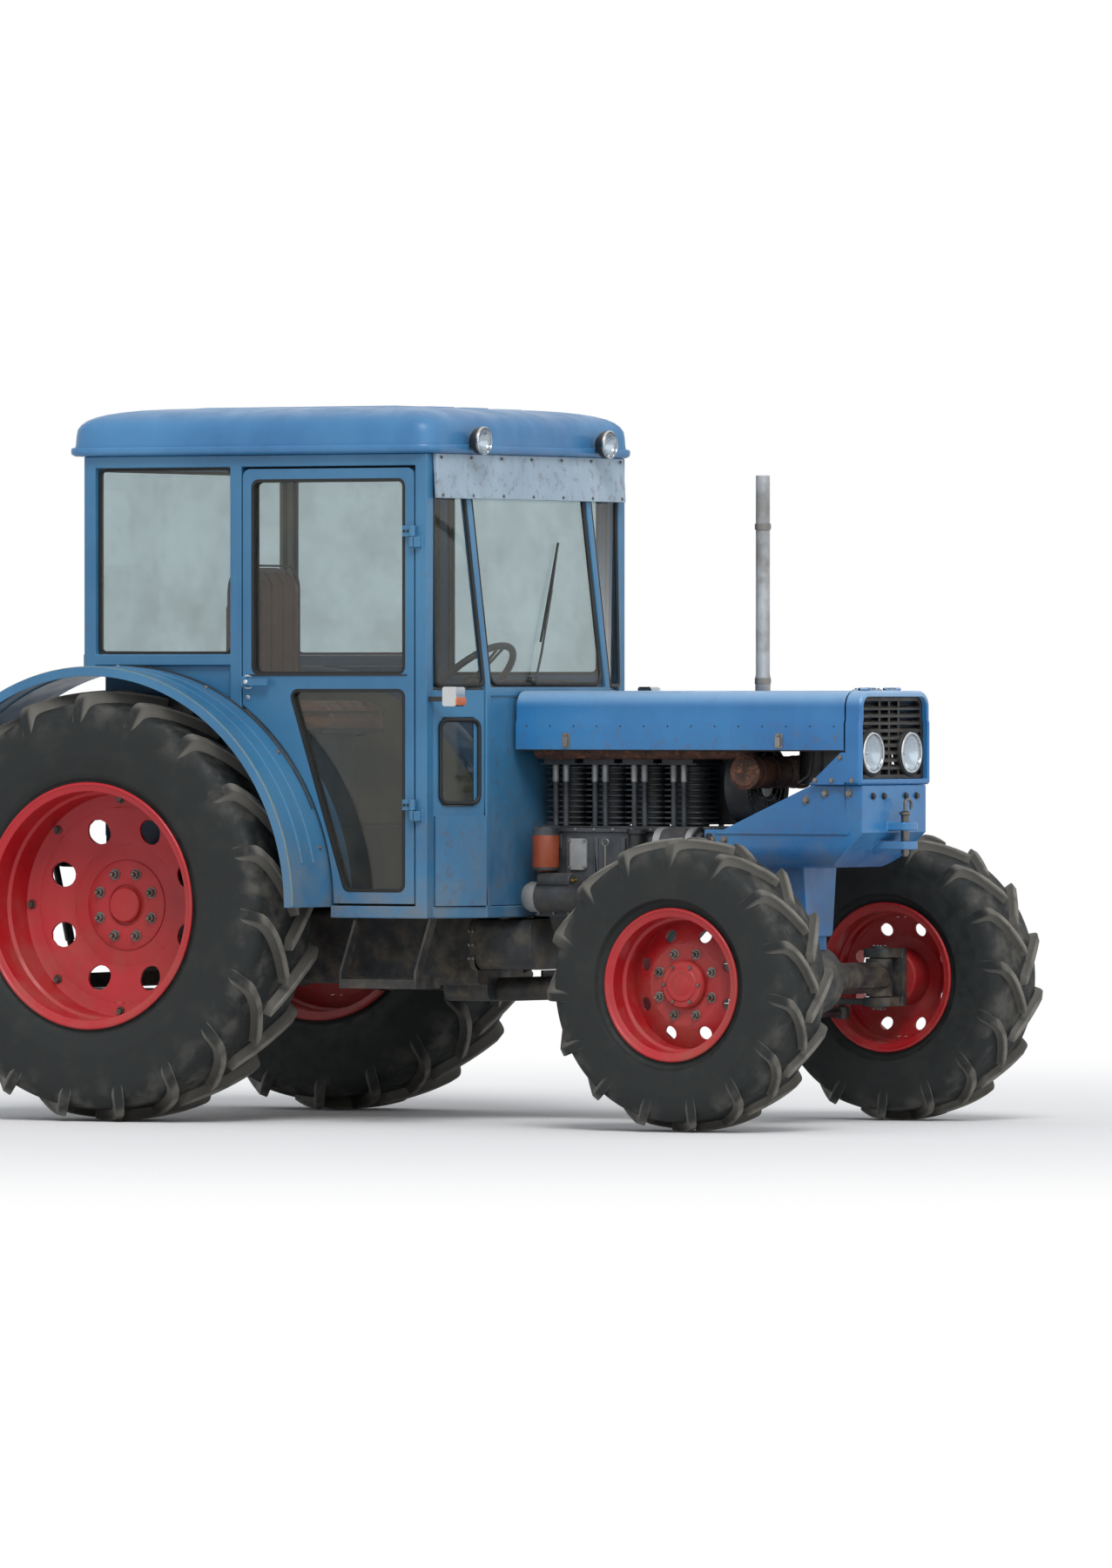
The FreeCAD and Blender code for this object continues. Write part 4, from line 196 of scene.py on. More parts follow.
class Look:
    """One procedural material. Its patterns lie in the frame's own coordinates."""

    def __init__(self, name, **values):
        self.material = bpy.data.materials.new(name)
        self.material.use_nodes = True
        self.nodes = self.material.node_tree.nodes
        self.links = self.material.node_tree.links
        self.shader = self.nodes["Principled BSDF"]
        self.place = self.nodes.new("ShaderNodeTexCoord").outputs
        self.last_bump = None
        for socket, value in values.items():
            self.shader.inputs[socket.replace("_", " ")].default_value = value

    def feed(self, socket, value):
        if isinstance(value, bpy.types.NodeSocket):
            self.links.new(value, socket)
        else:
            socket.default_value = value

    def spot(self, stretch=(1.0, 1.0, 1.0), offset=(0.0, 0.0, 0.0)):
        node = self.nodes.new("ShaderNodeMapping")
        node.inputs["Scale"].default_value = stretch
        node.inputs["Location"].default_value = offset
        self.links.new(self.place["Object"], node.inputs["Vector"])
        return node.outputs[0]

    def noise(self, scale, detail=4.0, rough=0.55, stretch=(1.0, 1.0, 1.0), offset=(0.0, 0.0, 0.0)):
        node = self.nodes.new("ShaderNodeTexNoise")
        node.inputs["Scale"].default_value = scale
        node.inputs["Detail"].default_value = detail
        node.inputs["Roughness"].default_value = rough
        self.links.new(self.spot(stretch, offset), node.inputs["Vector"])
        return node.outputs["Fac"]

    def cells(self, scale, stretch=(1.0, 1.0, 1.0)):
        node = self.nodes.new("ShaderNodeTexVoronoi")
        node.inputs["Scale"].default_value = scale
        self.links.new(self.spot(stretch), node.inputs["Vector"])
        return node.outputs["Distance"]

    def ramp(self, value, low, high, start=0.0, end=1.0):
        node = self.nodes.new("ShaderNodeMapRange")
        node.interpolation_type = "SMOOTHSTEP"
        node.inputs["From Min"].default_value = low
        node.inputs["From Max"].default_value = high
        node.inputs["To Min"].default_value = start
        node.inputs["To Max"].default_value = end
        self.links.new(value, node.inputs["Value"])
        return node.outputs["Result"]

    def calc(self, operation, first, second=0.0):
        node = self.nodes.new("ShaderNodeMath")
        node.operation = operation
        self.feed(node.inputs[0], first)
        self.feed(node.inputs[1], second)
        return node.outputs[0]

    def blend(self, amount, first, second):
        node = self.nodes.new("ShaderNodeMix")
        node.data_type = "RGBA"
        self.feed(node.inputs[0], amount)
        self.feed(node.inputs[6], first)
        self.feed(node.inputs[7], second)
        return node.outputs[2]

    def part(self, vector, axis):
        node = self.nodes.new("ShaderNodeSeparateXYZ")
        self.links.new(vector, node.inputs[0])
        return node.outputs[axis]

    def edges(self, low=0.53, high=0.6):
        node = self.nodes.new("ShaderNodeNewGeometry")
        return self.ramp(node.outputs["Pointiness"], low, high)

    def bump(self, height, distance, strength=1.0):
        node = self.nodes.new("ShaderNodeBump")
        node.inputs["Distance"].default_value = distance
        node.inputs["Strength"].default_value = strength
        self.links.new(height, node.inputs["Height"])
        if self.last_bump is not None:
            self.links.new(self.last_bump, node.inputs["Normal"])
        self.last_bump = node.outputs[0]
        self.links.new(self.last_bump, self.shader.inputs["Normal"])

    def colour(self, value):
        self.feed(self.shader.inputs["Base Color"], value)

    def rough(self, value):
        self.feed(self.shader.inputs["Roughness"], value)


def paint(name, colour, faded, rough=0.34, dust=0.6, dust_low=0.55, dust_high=1.35, chips=0.6, base=None, sky_highlight=0.0):
    """Aged sheet-metal paint: fading, rain streaks, dust low down, chipped edges, and a painted sky highlight along the
    bonnet's top edge.
    """
    look = Look(name, Coat_Weight=0.12, Coat_Roughness=0.15)
    broad = look.noise(1.6, 5.0)
    streak = look.noise(2.2, 6.0, 0.6, (5.0, 5.0, 0.35))
    tone = look.blend(look.ramp(broad, 0.32, 0.68), colour, faded)
    tone = look.blend(look.ramp(streak, 0.5, 0.8, 0.0, 0.35), tone, shade(faded, 1.18))
    grime = look.noise(7.0, 8.0, 0.62)
    height = look.part(look.place["Object"], 2)
    # Painted highlight: the top few centimetres by height turn pale blue, standing in for the sky's reflection on the
    # bonnet and nose.
    if sky_highlight:
        tone = look.blend(look.ramp(height, 1.525, 1.583, 0.0, sky_highlight), tone, srgb(158, 192, 222))
    low = look.calc("MULTIPLY", look.ramp(height, dust_high, dust_low, 0.06, 1.0), look.ramp(grime, 0.36, 0.72, 0.1, 1.0))
    top = look.calc("MULTIPLY", look.ramp(look.part(look.place["Normal"], 2), 0.5, 1.0), look.ramp(grime, 0.3, 0.8, 0.0, 0.32))
    amount = look.calc("MULTIPLY", look.calc("MAXIMUM", low, top), dust)
    tone = look.blend(amount, tone, DUST)
    worn = look.calc("MULTIPLY", look.edges(), look.ramp(look.noise(26.0, 5.0, 0.7), 0.52, 0.66))
    worn = look.calc("MULTIPLY", worn, chips)
    nick = look.calc("MULTIPLY", look.ramp(look.noise(55.0, 2.0, 0.5), 0.74, 0.78), look.ramp(broad, 0.5, 0.62, 0.0, chips))
    worn = look.calc("MAXIMUM", worn, nick)
    look.colour(look.blend(worn, tone, base or srgb(88, 70, 58)))
    gloss = look.ramp(grime, 0.3, 0.75, rough - 0.06, rough + 0.16)
    look.rough(look.calc("ADD", gloss, look.calc("MULTIPLY", amount, 0.4)))
    look.bump(look.noise(3.2, 2.0), 0.004, 0.25)
    look.bump(look.noise(420.0, 2.0), 0.0002, 0.35)
    return look.material


def metal(name, colour, dark, rough=0.5, metallic=0.0, grain=60.0, depth=0.0008, dust=0.5, dust_high=1.2, oily=0.0):
    """Cast or machined metal, dull with dust and oil."""
    look = Look(name, Metallic=metallic)
    tone = look.blend(look.ramp(look.noise(9.0, 6.0), 0.35, 0.68), colour, dark)
    if oily:
        tone = look.blend(look.ramp(look.noise(3.4, 5.0, offset=(3.0, 1.0, 0.0)), 0.5, 0.66, 0.0, oily), tone, srgb(22, 20, 18))
    grime = look.noise(12.0, 8.0, 0.65)
    height = look.part(look.place["Object"], 2)
    amount = look.calc("MULTIPLY", look.ramp(height, dust_high, 0.3, 0.1, 1.0), look.ramp(grime, 0.4, 0.7, 0.0, dust))
    up = look.calc("MULTIPLY", look.ramp(look.part(look.place["Normal"], 2), 0.4, 0.95), look.ramp(grime, 0.35, 0.7, 0.0, dust))
    amount = look.calc("MAXIMUM", amount, up)
    tone = look.blend(look.calc("MULTIPLY", look.edges(), 0.4), tone, shade(colour, 1.7))
    look.colour(look.blend(amount, tone, DUST))
    look.rough(look.ramp(grime, 0.3, 0.7, rough - 0.1, rough + 0.2))
    look.bump(look.noise(grain, 3.0), depth, 0.5)
    return look.material


def rust(name):
    look = Look(name)
    broad = look.noise(11.0, 8.0, 0.65)
    tone = look.blend(look.ramp(broad, 0.3, 0.7), srgb(92, 56, 40), srgb(52, 38, 34))
    tone = look.blend(look.ramp(look.noise(40.0, 6.0, 0.7), 0.5, 0.72), tone, srgb(140, 86, 54))
    look.colour(tone)
    look.rough(look.ramp(broad, 0.3, 0.7, 0.62, 0.92))
    look.bump(look.noise(150.0, 4.0), 0.0006, 0.7)
    return look.material


def rubber(name, colour, centre=None, tread=None, wall=None):
    """Rubber. With a wheel's centre, dust lies on the tread and the shoulder, and the lug edges get a painted
    highlight.
    """
    look = Look(name, Specular_IOR_Level=0.35)
    fine = look.noise(22.0, 7.0, 0.65)
    tone = look.blend(look.ramp(fine, 0.3, 0.7), colour, shade(colour, 1.8))
    look.rough(look.ramp(fine, 0.3, 0.75, 0.55, 0.85))
    if centre:
        flat = look.spot((1.0, 0.0, 1.0), (-centre[0], 0.0, -centre[1]))
        node = look.nodes.new("ShaderNodeVectorMath")
        node.operation = "LENGTH"
        look.links.new(flat, node.inputs[0])
        radius = node.outputs["Value"]
        worn = look.ramp(radius, tread - 0.016, tread - 0.002, 0.0, 0.9)
        cake = look.calc("MULTIPLY", look.ramp(radius, wall, tread - 0.02, 0.03, 0.34), look.ramp(look.noise(9.0, 7.0), 0.45, 0.7))
        amount = look.calc("MULTIPLY", worn, look.ramp(look.noise(13.0, 6.0), 0.25, 0.6, 0.45, 1.0))
        # Painted highlight: convex edges of the lugs are lightened in the dust colour.
        edge_highlight = look.calc("MULTIPLY", look.edges(0.52, 0.58), look.ramp(radius, wall - 0.02, wall + 0.06, 0.0, 0.55))
        amount = look.calc("MAXIMUM", amount, edge_highlight)
        # The light grey-brown carries both the dust and the painted edge highlight.
        tone = look.blend(look.calc("MAXIMUM", amount, cake), tone, srgb(124, 120, 112))
    look.colour(tone)
    look.bump(look.noise(240.0, 3.0), 0.0005, 0.5)
    return look.material


def plain(name, colour, rough=0.5, grain=260.0, depth=0.0001, metallic=0.0, vary=0.25, coat=0.0):
    look = Look(name, Metallic=metallic, Coat_Weight=coat)
    broad = look.noise(6.0, 6.0, 0.6)
    look.colour(look.blend(look.ramp(broad, 0.3, 0.7), shade(colour, 1.0 - vary), shade(colour, 1.0 + vary)))
    look.rough(look.ramp(broad, 0.3, 0.7, rough - 0.08, rough + 0.12))
    look.bump(look.noise(grain, 3.0), depth, 0.5)
    return look.material


def cloth(name, colour, other, weave=900.0):
    look = Look(name, Sheen_Weight=0.35, Sheen_Roughness=0.5)
    broad = look.noise(5.0, 6.0, 0.6)
    tone = look.blend(look.ramp(broad, 0.3, 0.7), colour, other)
    thread = look.nodes.new("ShaderNodeTexWave")
    thread.bands_direction = "Y"
    thread.inputs["Scale"].default_value = weave / 10.0
    look.links.new(look.place["Object"], thread.inputs["Vector"])
    look.colour(look.blend(look.ramp(look.noise(30.0, 5.0), 0.4, 0.7, 0.0, 0.4), tone, shade(other, 0.7)))
    look.rough(look.ramp(broad, 0.3, 0.7, 0.68, 0.9))
    look.bump(thread.outputs["Fac"], 0.0004, 0.6)
    look.bump(look.noise(300.0, 3.0), 0.0004, 0.5)
    return look.material


def window(name, tint, haze=0.05):
    """Window glass: it shows what is behind it, with a film of dust."""
    look = Look(name)
    look.nodes.remove(look.shader)
    clear = look.nodes.new("ShaderNodeBsdfTransparent")
    clear.inputs["Color"].default_value = tint
    mirror = look.nodes.new("ShaderNodeBsdfGlossy")
    mirror.inputs["Roughness"].default_value = 0.03
    film = look.nodes.new("ShaderNodeBsdfDiffuse")
    film.inputs["Color"].default_value = DUST
    facing = look.nodes.new("ShaderNodeLayerWeight")
    facing.inputs["Blend"].default_value = 0.5
    sheen = look.calc("ADD", look.calc("MULTIPLY", look.calc("POWER", facing.outputs["Facing"], 5.0), 0.9), 0.04)
    gloss = look.nodes.new("ShaderNodeMixShader")
    look.links.new(sheen, gloss.inputs[0])
    look.links.new(clear.outputs[0], gloss.inputs[1])
    look.links.new(mirror.outputs[0], gloss.inputs[2])
    dirty = look.nodes.new("ShaderNodeMixShader")
    look.links.new(look.ramp(look.noise(4.0, 7.0, 0.6), 0.35, 0.8, haze * 0.3, haze * 2.5), dirty.inputs[0])
    look.links.new(gloss.outputs[0], dirty.inputs[1])
    look.links.new(film.outputs[0], dirty.inputs[2])
    look.links.new(dirty.outputs[0], look.nodes["Material Output"].inputs["Surface"])
    return look.material


BLUE = srgb(26, 98, 156)
BLUE_FADED = srgb(44, 118, 172)
LOOKS = {
    # The bonnet paint gets the painted sky highlight along its top edge.
    "body_blue": paint("paint_bonnet", BLUE, BLUE_FADED, rough=0.3, sky_highlight=0.6),
    "cab_blue": paint("paint_cab", srgb(40, 100, 140), srgb(60, 118, 156), rough=0.38),
    "roof_blue": paint("paint_roof", srgb(44, 104, 152), srgb(66, 126, 172), rough=0.4, dust=0.35),
    "header_grey": paint("paint_header", srgb(132, 152, 168), srgb(160, 178, 192), rough=0.4, dust=0.3),
    "wheel_red": paint("paint_wheel", srgb(158, 6, 22), srgb(176, 16, 30), rough=0.46, dust=0.3, dust_low=0.25,
                       dust_high=1.3, chips=0.5, base=srgb(70, 34, 30)),
    "chassis_grey": metal("chassis_casting", srgb(52, 56, 60), srgb(34, 36, 38), dust=0.55, oily=0.7),
    "engine_metal": metal("engine_casting", srgb(66, 71, 77), srgb(40, 43, 47), dust=0.35, dust_high=1.5, oily=0.6),
    "black_metal": metal("black_steel", srgb(30, 31, 33), srgb(20, 21, 22), rough=0.45, grain=120.0, dust=0.3),
    "steel": metal("worn_steel", srgb(122, 120, 116), srgb(84, 80, 76), rough=0.38, metallic=0.8, grain=200.0,
                   depth=0.0003, dust=0.3),
    "rust": rust("rusted_steel"),
    "glass": window("window_glass", (0.78, 0.83, 0.84, 1.0)),
    "lamp_glass": plain("lamp_shell", srgb(60, 62, 64), rough=0.3),
    "seat_brown": cloth("seat_cover", srgb(150, 84, 46), srgb(118, 68, 42)),
    "black_plastic": plain("black_plastic", srgb(26, 27, 29), rough=0.5),
    "interior_beige": plain("beige_trim", srgb(140, 130, 102), rough=0.7, vary=0.15),
    "tyre": rubber("rubber_plain", srgb(26, 28, 28)),
}
LOOKS["aluminium"] = metal("cast_aluminium", srgb(150, 152, 152), srgb(112, 114, 114), rough=0.45, metallic=0.5,
                           dust=0.35, dust_high=1.5, oily=0.35)
LOOKS["seal"] = plain("rubber_seal", srgb(20, 21, 22), rough=0.62)
LOOKS["bright"] = plain("bright_metal", srgb(196, 198, 200), rough=0.18, metallic=1.0, vary=0.06)
LOOKS["stack"] = metal("aluminised_pipe", srgb(168, 172, 176), srgb(128, 128, 126), rough=0.5, metallic=0.35, grain=160.0,
                       depth=0.0002, dust=0.15, oily=0.12)
LOOKS["lens"] = window("lamp_lens", (0.93, 0.97, 1.0, 1.0), 0.04)
LOOKS["lens_red"] = plain("red_lens", srgb(150, 16, 20), rough=0.16, coat=0.6)
LOOKS["lens_amber"] = plain("amber_lens", srgb(206, 104, 22), rough=0.16, coat=0.6)
LOOKS["mesh"] = plain("wire_mesh", srgb(38, 40, 42), rough=0.45, metallic=0.4)
LOOKS["brass"] = plain("brass", srgb(150, 118, 62), rough=0.35, metallic=0.9)
LOOKS["filter"] = plain("filter_shell", srgb(142, 66, 38), rough=0.5, vary=0.2)
LOOKS["dial"] = plain("dial_face", srgb(18, 19, 21), rough=0.3)
LOOKS["needle"] = plain("dial_marks", srgb(226, 222, 208), rough=0.5, vary=0.04)
LOOKS["knob"] = plain("red_knob", srgb(150, 30, 28), rough=0.35)
LOOKS["piping"] = plain("seat_piping", srgb(58, 38, 28), rough=0.6)
LOOKS["dusty_edge"] = paint("paint_fender_edge", srgb(92, 118, 118), srgb(112, 130, 124), rough=0.5, dust=0.8,
                            dust_low=0.8, dust_high=2.4)


# Building pieces

def spot(axis, a, b, along):
    """A point from two coordinates across an axis and one along it."""
    if axis == "x":
        return Vector((along, a, b))
    if axis == "y":
        return Vector((a, along, b))
    return Vector((a, b, along))


def turned_corner(before, corner, after, bend, steps):
    back = before - corner
    ahead = after - corner
    half = back.angle(ahead) / 2.0
    if bend <= 0.0 or half > math.pi / 2.0 - 0.01:
        return [corner]
    reach = min(bend / math.tan(half), 0.49 * min(back.length, ahead.length))
    radius = reach * math.tan(half)
    start = corner + back.normalized() * reach
    end = corner + ahead.normalized() * reach
    centre = corner + (back.normalized() + ahead.normalized()).normalized() * (radius / math.sin(half))
    arm = start - centre
    turn = arm.angle(end - centre)
    pole = arm.cross(end - centre).normalized()
    return [centre + Quaternion(pole, turn * k / steps) @ arm for k in range(steps + 1)]


def rounded_path(points, bend, steps=6):
    points = [Vector(p) for p in points]
    path = [points[0]]
    for before, corner, after in zip(points, points[1:], points[2:]):
        path += turned_corner(before, corner, after, bend, steps)
    return path + [points[-1]]


def rounded_loop(outline, bends, steps=6):
    """A closed outline of (a, b) points with each corner turned on an arc."""
    points = [Vector((a, b, 0.0)) for a, b in outline]
    if not isinstance(bends, (list, tuple)):
        bends = [bends] * len(points)
    loop = []
    for i, corner in enumerate(points):
        loop += turned_corner(points[i - 1], corner, points[(i + 1) % len(points)], bends[i], steps)
    return [(p.x, p.y) for p in loop]


class Piece:
    """Closed forms gathered in one mesh."""

    def __init__(self, *looks):
        self.bm = bmesh.new()
        self.looks = looks
        self.slot = 0

    def face(self, corners):
        made = self.bm.faces.new(corners)
        made.material_index = self.slot
        return made

    def skin(self, rings, loop=False, caps=True):
        rows = [[self.bm.verts.new(p) for p in ring] for ring in rings]
        pairs = list(zip(rows, rows[1:]))
        if loop:
            pairs.append((rows[-1], rows[0]))
        count = len(rows[0])
        for low, high in pairs:
            for i in range(count):
                j = (i + 1) % count
                self.face((low[i], low[j], high[j], high[i]))
        if caps and not loop:
            self.face(list(reversed(rows[0])))
            self.face(rows[-1])

    def prism(self, axis, outline, start, stop):
        self.skin([[spot(axis, a, b, along) for a, b in outline] for along in (start, stop)])

    def block(self, x0, x1, y0, y1, z0, z1):
        self.prism("z", [(x0, y0), (x1, y0), (x1, y1), (x0, y1)], z0, z1)

    def band(self, axis, outer, inner, start, stop):
        """A frame between two loops of as many points."""
        rings = [[spot(axis, a, b, along) for a, b in loop]
                 for loop, along in ((outer, start), (inner, start), (inner, stop), (outer, stop))]
        self.skin(rings, loop=True)

    def lathe(self, profile, centre, axis="y", steps=64):
        """A closed outline of (radius, along) turned round an axis."""
        centre = Vector(centre)
        rings = []
        for n in range(steps):
            turn = 2.0 * math.pi * n / steps
            rings.append([centre + spot(axis, r * math.cos(turn), r * math.sin(turn), along) for r, along in profile])
        self.skin(rings, loop=True)

    def peg(self, at, toward, profile, sides=16, turn=0.0):
        """A turned form along any direction, from rows of (radius, along)."""
        out = Vector(toward).normalized()
        side = out.orthogonal().normalized()
        other = out.cross(side)
        rings = []
        for r, along in profile:
            ring = []
            for n in range(sides):
                angle = turn + 2.0 * math.pi * n / sides
                ring.append(Vector(at) + out * along + (side * math.cos(angle) + other * math.sin(angle)) * r)
            rings.append(ring)
        self.skin(rings)

    def bolt(self, at, toward, size, washer=True):
        """A hexagon head across corners of size, on its washer."""
        r = size / 2.0
        if washer:
            self.peg(at, toward, [(r * 1.25, 0.0), (r * 1.25, size * 0.1)], 18)
        self.peg(at, toward, [(r, size * 0.05), (r, size * 0.42), (r * 0.86, size * 0.5)], 6)

    def tube(self, points, radius, sides=12, closed=False):
        points = [Vector(p) for p in points]
        count = len(points)
        rings = []
        side = None
        for i, point in enumerate(points):
            before = points[i - 1] if i > 0 or closed else point
            after = points[(i + 1) % count] if i < count - 1 or closed else point
            ahead = (after - before).normalized()
            side = ahead.orthogonal() if side is None else side
            side = (side - ahead * side.dot(ahead)).normalized()
            other = ahead.cross(side)
            r = radius[i] if isinstance(radius, (list, tuple)) else radius
            rings.append([point + (side * math.cos(2.0 * math.pi * n / sides)
                                   + other * math.sin(2.0 * math.pi * n / sides)) * r for n in range(sides)])
        self.skin(rings, loop=closed)

    def mirror(self):
        """The same forms again on the other side of the tractor."""
        made = bmesh.ops.duplicate(self.bm, geom=self.bm.verts[:] + self.bm.edges[:] + self.bm.faces[:])
        for item in made["geom"]:
            if isinstance(item, bmesh.types.BMVert):
                item.co.y = -item.co.y
        bmesh.ops.reverse_faces(self.bm, faces=[f for f in made["geom"] if isinstance(f, bmesh.types.BMFace)])

    def place(self, side, x, y, z):
        """Moves what was built round a centre to its place on the left (1) or right (-1)."""
        for vert in self.bm.verts:
            vert.co = Vector((vert.co.x + x, side * (vert.co.y + y), vert.co.z + z))

    def finish(self, name, body, slot, stands_for=(), bevel=0.0, segments=2, angle=32.0, shift=True):
        bm = self.bm
        bmesh.ops.remove_doubles(bm, verts=bm.verts, dist=0.00002)
        bmesh.ops.recalc_face_normals(bm, faces=bm.faces)
        if shift:
            bmesh.ops.translate(bm, verts=bm.verts, vec=(AXLE_X, 0.0, 0.0))
        for face in bm.faces:
            face.smooth = True
        mesh = bpy.data.meshes.new(name)
        bm.to_mesh(mesh)
        bm.free()
        mesh.set_sharp_from_angle(angle=math.radians(angle))
        obj = bpy.data.objects.new(name, mesh)
        bpy.context.scene.collection.objects.link(obj)
        for look in self.looks:
            mesh.materials.append(look)
        if bevel > 0.0:
            edge = obj.modifiers.new("edges", "BEVEL")
            edge.width = bevel
            edge.segments = segments
            edge.limit_method = "ANGLE"
            edge.angle_limit = math.radians(angle)
            edge.harden_normals = True
            edge.use_clamp_overlap = False
        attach(obj, body)
        if stands_for:
            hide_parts(*stands_for)
        return obj


def body_of(node):
    for body, nodes in frame["record"]["behaviour"]["bodies"].items():
        if node in nodes:
            return body
    return None


def dressed(node, look, slot, bevel=0.003, angle=32.0, segments=2):
    """The CAD node's own shape with its edges broken and a new finish."""
    piece = Piece(look)
    piece.bm.from_mesh(frame["nodes"][node].data)
    for layer in list(piece.bm.loops.layers.uv.values()):
        piece.bm.loops.layers.uv.remove(layer)
    bmesh.ops.remove_doubles(piece.bm, verts=piece.bm.verts, dist=0.00004)
    bmesh.ops.dissolve_limit(piece.bm, angle_limit=math.radians(0.6), verts=piece.bm.verts, edges=piece.bm.edges)
    for face in piece.bm.faces:
        face.material_index = 0
    obj = piece.finish(node + "_dressed", body_of(node), slot, (node,), bevel, segments, angle, shift=False)
    stale = obj.data.attributes.get("custom_normal")
    if stale is not None:
        obj.data.attributes.remove(stale)
    return obj


make_camera()
make_lights()
make_floor()
bpy.context.scene.view_settings.view_transform = "Standard"

# Wheels

REAR = dict(node="rear", radius=0.795, width=0.430, rim=0.432, rim_half=0.195, lugs=19, lug_high=0.040, lug_wide=0.044,
            sweep=15.5, centre=(0.0, REAR_Y, REAR_Z))
FRONT = dict(node="front", radius=0.530, width=0.318, rim=0.254, rim_half=0.140, lugs=15, lug_high=0.030,
             lug_wide=0.036, sweep=17.0, centre=(FRONT_X, FRONT_Y, FRONT_Z))
RIM_FLANGE = 0.024
RIM_LIP = 0.016


def through(knots, steps):
    """A smooth line through (t, ...) knots, as rows of all but t."""
    rows = []
    for k in range(len(knots) - 1):
        before, first = knots[max(k - 1, 0)], knots[k]
        second, after = knots[k + 1], knots[min(k + 2, len(knots) - 1)]
        for s in range(steps):
            t = s / steps
            row = []
            for a, b, c, d in zip(before, first, second, after):
                row.append(0.5 * (2 * b + (c - a) * t + (2 * a - 5 * b + 4 * c - d) * t * t
                                  + (3 * b - a - 3 * c + d) * t * t * t))
            rows.append(tuple(row))
    rows.append(tuple(knots[-1]))
    return rows


def wheel_point(r, y, turn):
    return Vector((r * math.cos(turn), y, r * math.sin(turn)))


def tyre_piece(size, side, look):
    piece = Piece(look)
    radius, half = size["radius"], size["width"] / 2.0
    floor = radius - size["lug_high"]
    flange = size["rim"] + RIM_FLANGE
    bead = size["rim_half"] - RIM_LIP - 0.0003
    belly = (floor + flange) / 2.0 - 0.012
    wall = [(0.0, floor), (half * 0.48, floor - 0.003), (half * 0.82, floor - 0.014), (half * 0.95, floor - 0.045),
            (half * 0.99, floor - 0.085), (half, belly), (half * 0.975, belly - 0.06),
            (bead + 0.012, flange + 0.022), (bead + 0.003, flange + 0.008), (bead, flange - 0.004)]
    outer = through(wall, 5)
    # Raised rings and a rim guard on the side wall.
    ringed = []
    for y, r in outer:
        lift = 0.0
        for at, high, wide in ((flange + 0.034, 0.004, 0.006), (belly - 0.035, 0.0022, 0.004), (belly + 0.02, 0.0022, 0.004)):
            lift += high * math.exp(-((r - at) / wide) ** 2)
        ringed.append((min(y + lift if y > half * 0.6 else y, half), r))
    section = [(r, y) for y, r in ringed] + [(size["rim"] + 0.0004, bead)]
    section += [(size["rim"] + 0.0004, -bead)] + [(r, -y) for y, r in reversed(ringed)][:-1]
    piece.lathe(section, (0, 0, 0), "y", size["lugs"] * 10)
    sweep = math.radians(size["sweep"])
    pitch = 2.0 * math.pi / size["lugs"]
    half_lug = size["lug_wide"] / 2.0
    # Share of the half width, top radius, root radius, share of the sweep, width share
    knots = [(-0.05, radius, floor - 0.012, -0.06, 1.0), (0.12, radius, floor - 0.012, 0.17, 1.0),
             (0.48, radius - 0.002, floor - 0.014, 0.62, 0.98), (0.74, radius - 0.008, floor - 0.024, 0.87, 1.0),
             (0.90, radius - 0.016, floor - 0.036, 1.0, 1.06), (0.965, radius - 0.042, floor - 0.056, 1.05, 1.02),
             (0.985, floor - 0.050, floor - 0.09, 1.09, 0.9), (0.992, belly + 0.034, belly + 0.016, 1.12, 0.62)]
    for hand in (1, -1):
        phase = 0.0 if hand > 0 else pitch / 2.0
        for n in range(size["lugs"]):
            start = phase + n * pitch
            rings = []
            for share, top, root, bend, wide in through(knots, 3):
                y = hand * half * share
                turn = start + bend * sweep
                w = half_lug * wide
                foot, crown = w * 1.16 / root, w * 0.80 / top
                rings.append([wheel_point(root, y, turn - foot), wheel_point(top - 0.003, y, turn - crown),
                              wheel_point(top, y, turn - crown * 0.86), wheel_point(top, y, turn + crown * 0.86),
                              wheel_point(top - 0.003, y, turn + crown), wheel_point(root, y, turn + foot)])
            piece.skin(rings)
    x, y, z = size["centre"]
    piece.place(side, x, y, z)
    return piece


def holed_plate(piece, face, r0, r1, count, hole_at, hole_r, thick, rings=3, per_side=6):
    """A round plate with a circle of holes. face(r) gives its front at a radius."""
    sector = 2.0 * math.pi / count
    corners = []
    for k in range(per_side):
        corners.append((r0, -0.5 + k / per_side))
    for k in range(per_side):
        corners.append((r0 + (r1 - r0) * k / per_side, 0.5))
    for k in range(per_side):
        corners.append((r1, 0.5 - k / per_side))
    for k in range(per_side):
        corners.append((r1 - (r1 - r0) * k / per_side, -0.5))
    for n in range(count):
        middle_turn = sector * (n + 0.5)
        for back in (0.0, thick):
            rows = []
            for ring in range(rings + 1):
                share = ring / rings
                row = []
                for r, part in corners:
                    turn = part * sector
                    px, pz = r * math.cos(turn), r * math.sin(turn)
                    angle = math.atan2(pz, px - hole_at)
                    hx, hz = hole_at + hole_r * math.cos(angle), hole_r * math.sin(angle)
                    x, z = hx + (px - hx) * share, hz + (pz - hz) * share
                    dist, away = math.hypot(x, z), math.atan2(z, x)
                    if ring == rings:
                        dist, away = r, turn
                    row.append(wheel_point(dist, face(dist) - back, middle_turn + away))
                rows.append([piece.bm.verts.new(p) for p in row])
            for low, high in zip(rows, rows[1:]):
                for i in range(len(corners)):
                    j = (i + 1) % len(corners)
                    piece.face((low[i], low[j], high[j], high[i]))
            if back == 0.0:
                front_edge = rows[0]
            else:
                for i in range(len(corners)):
                    j = (i + 1) % len(corners)
                    piece.face((front_edge[i], front_edge[j], rows[0][j], rows[0][i]))


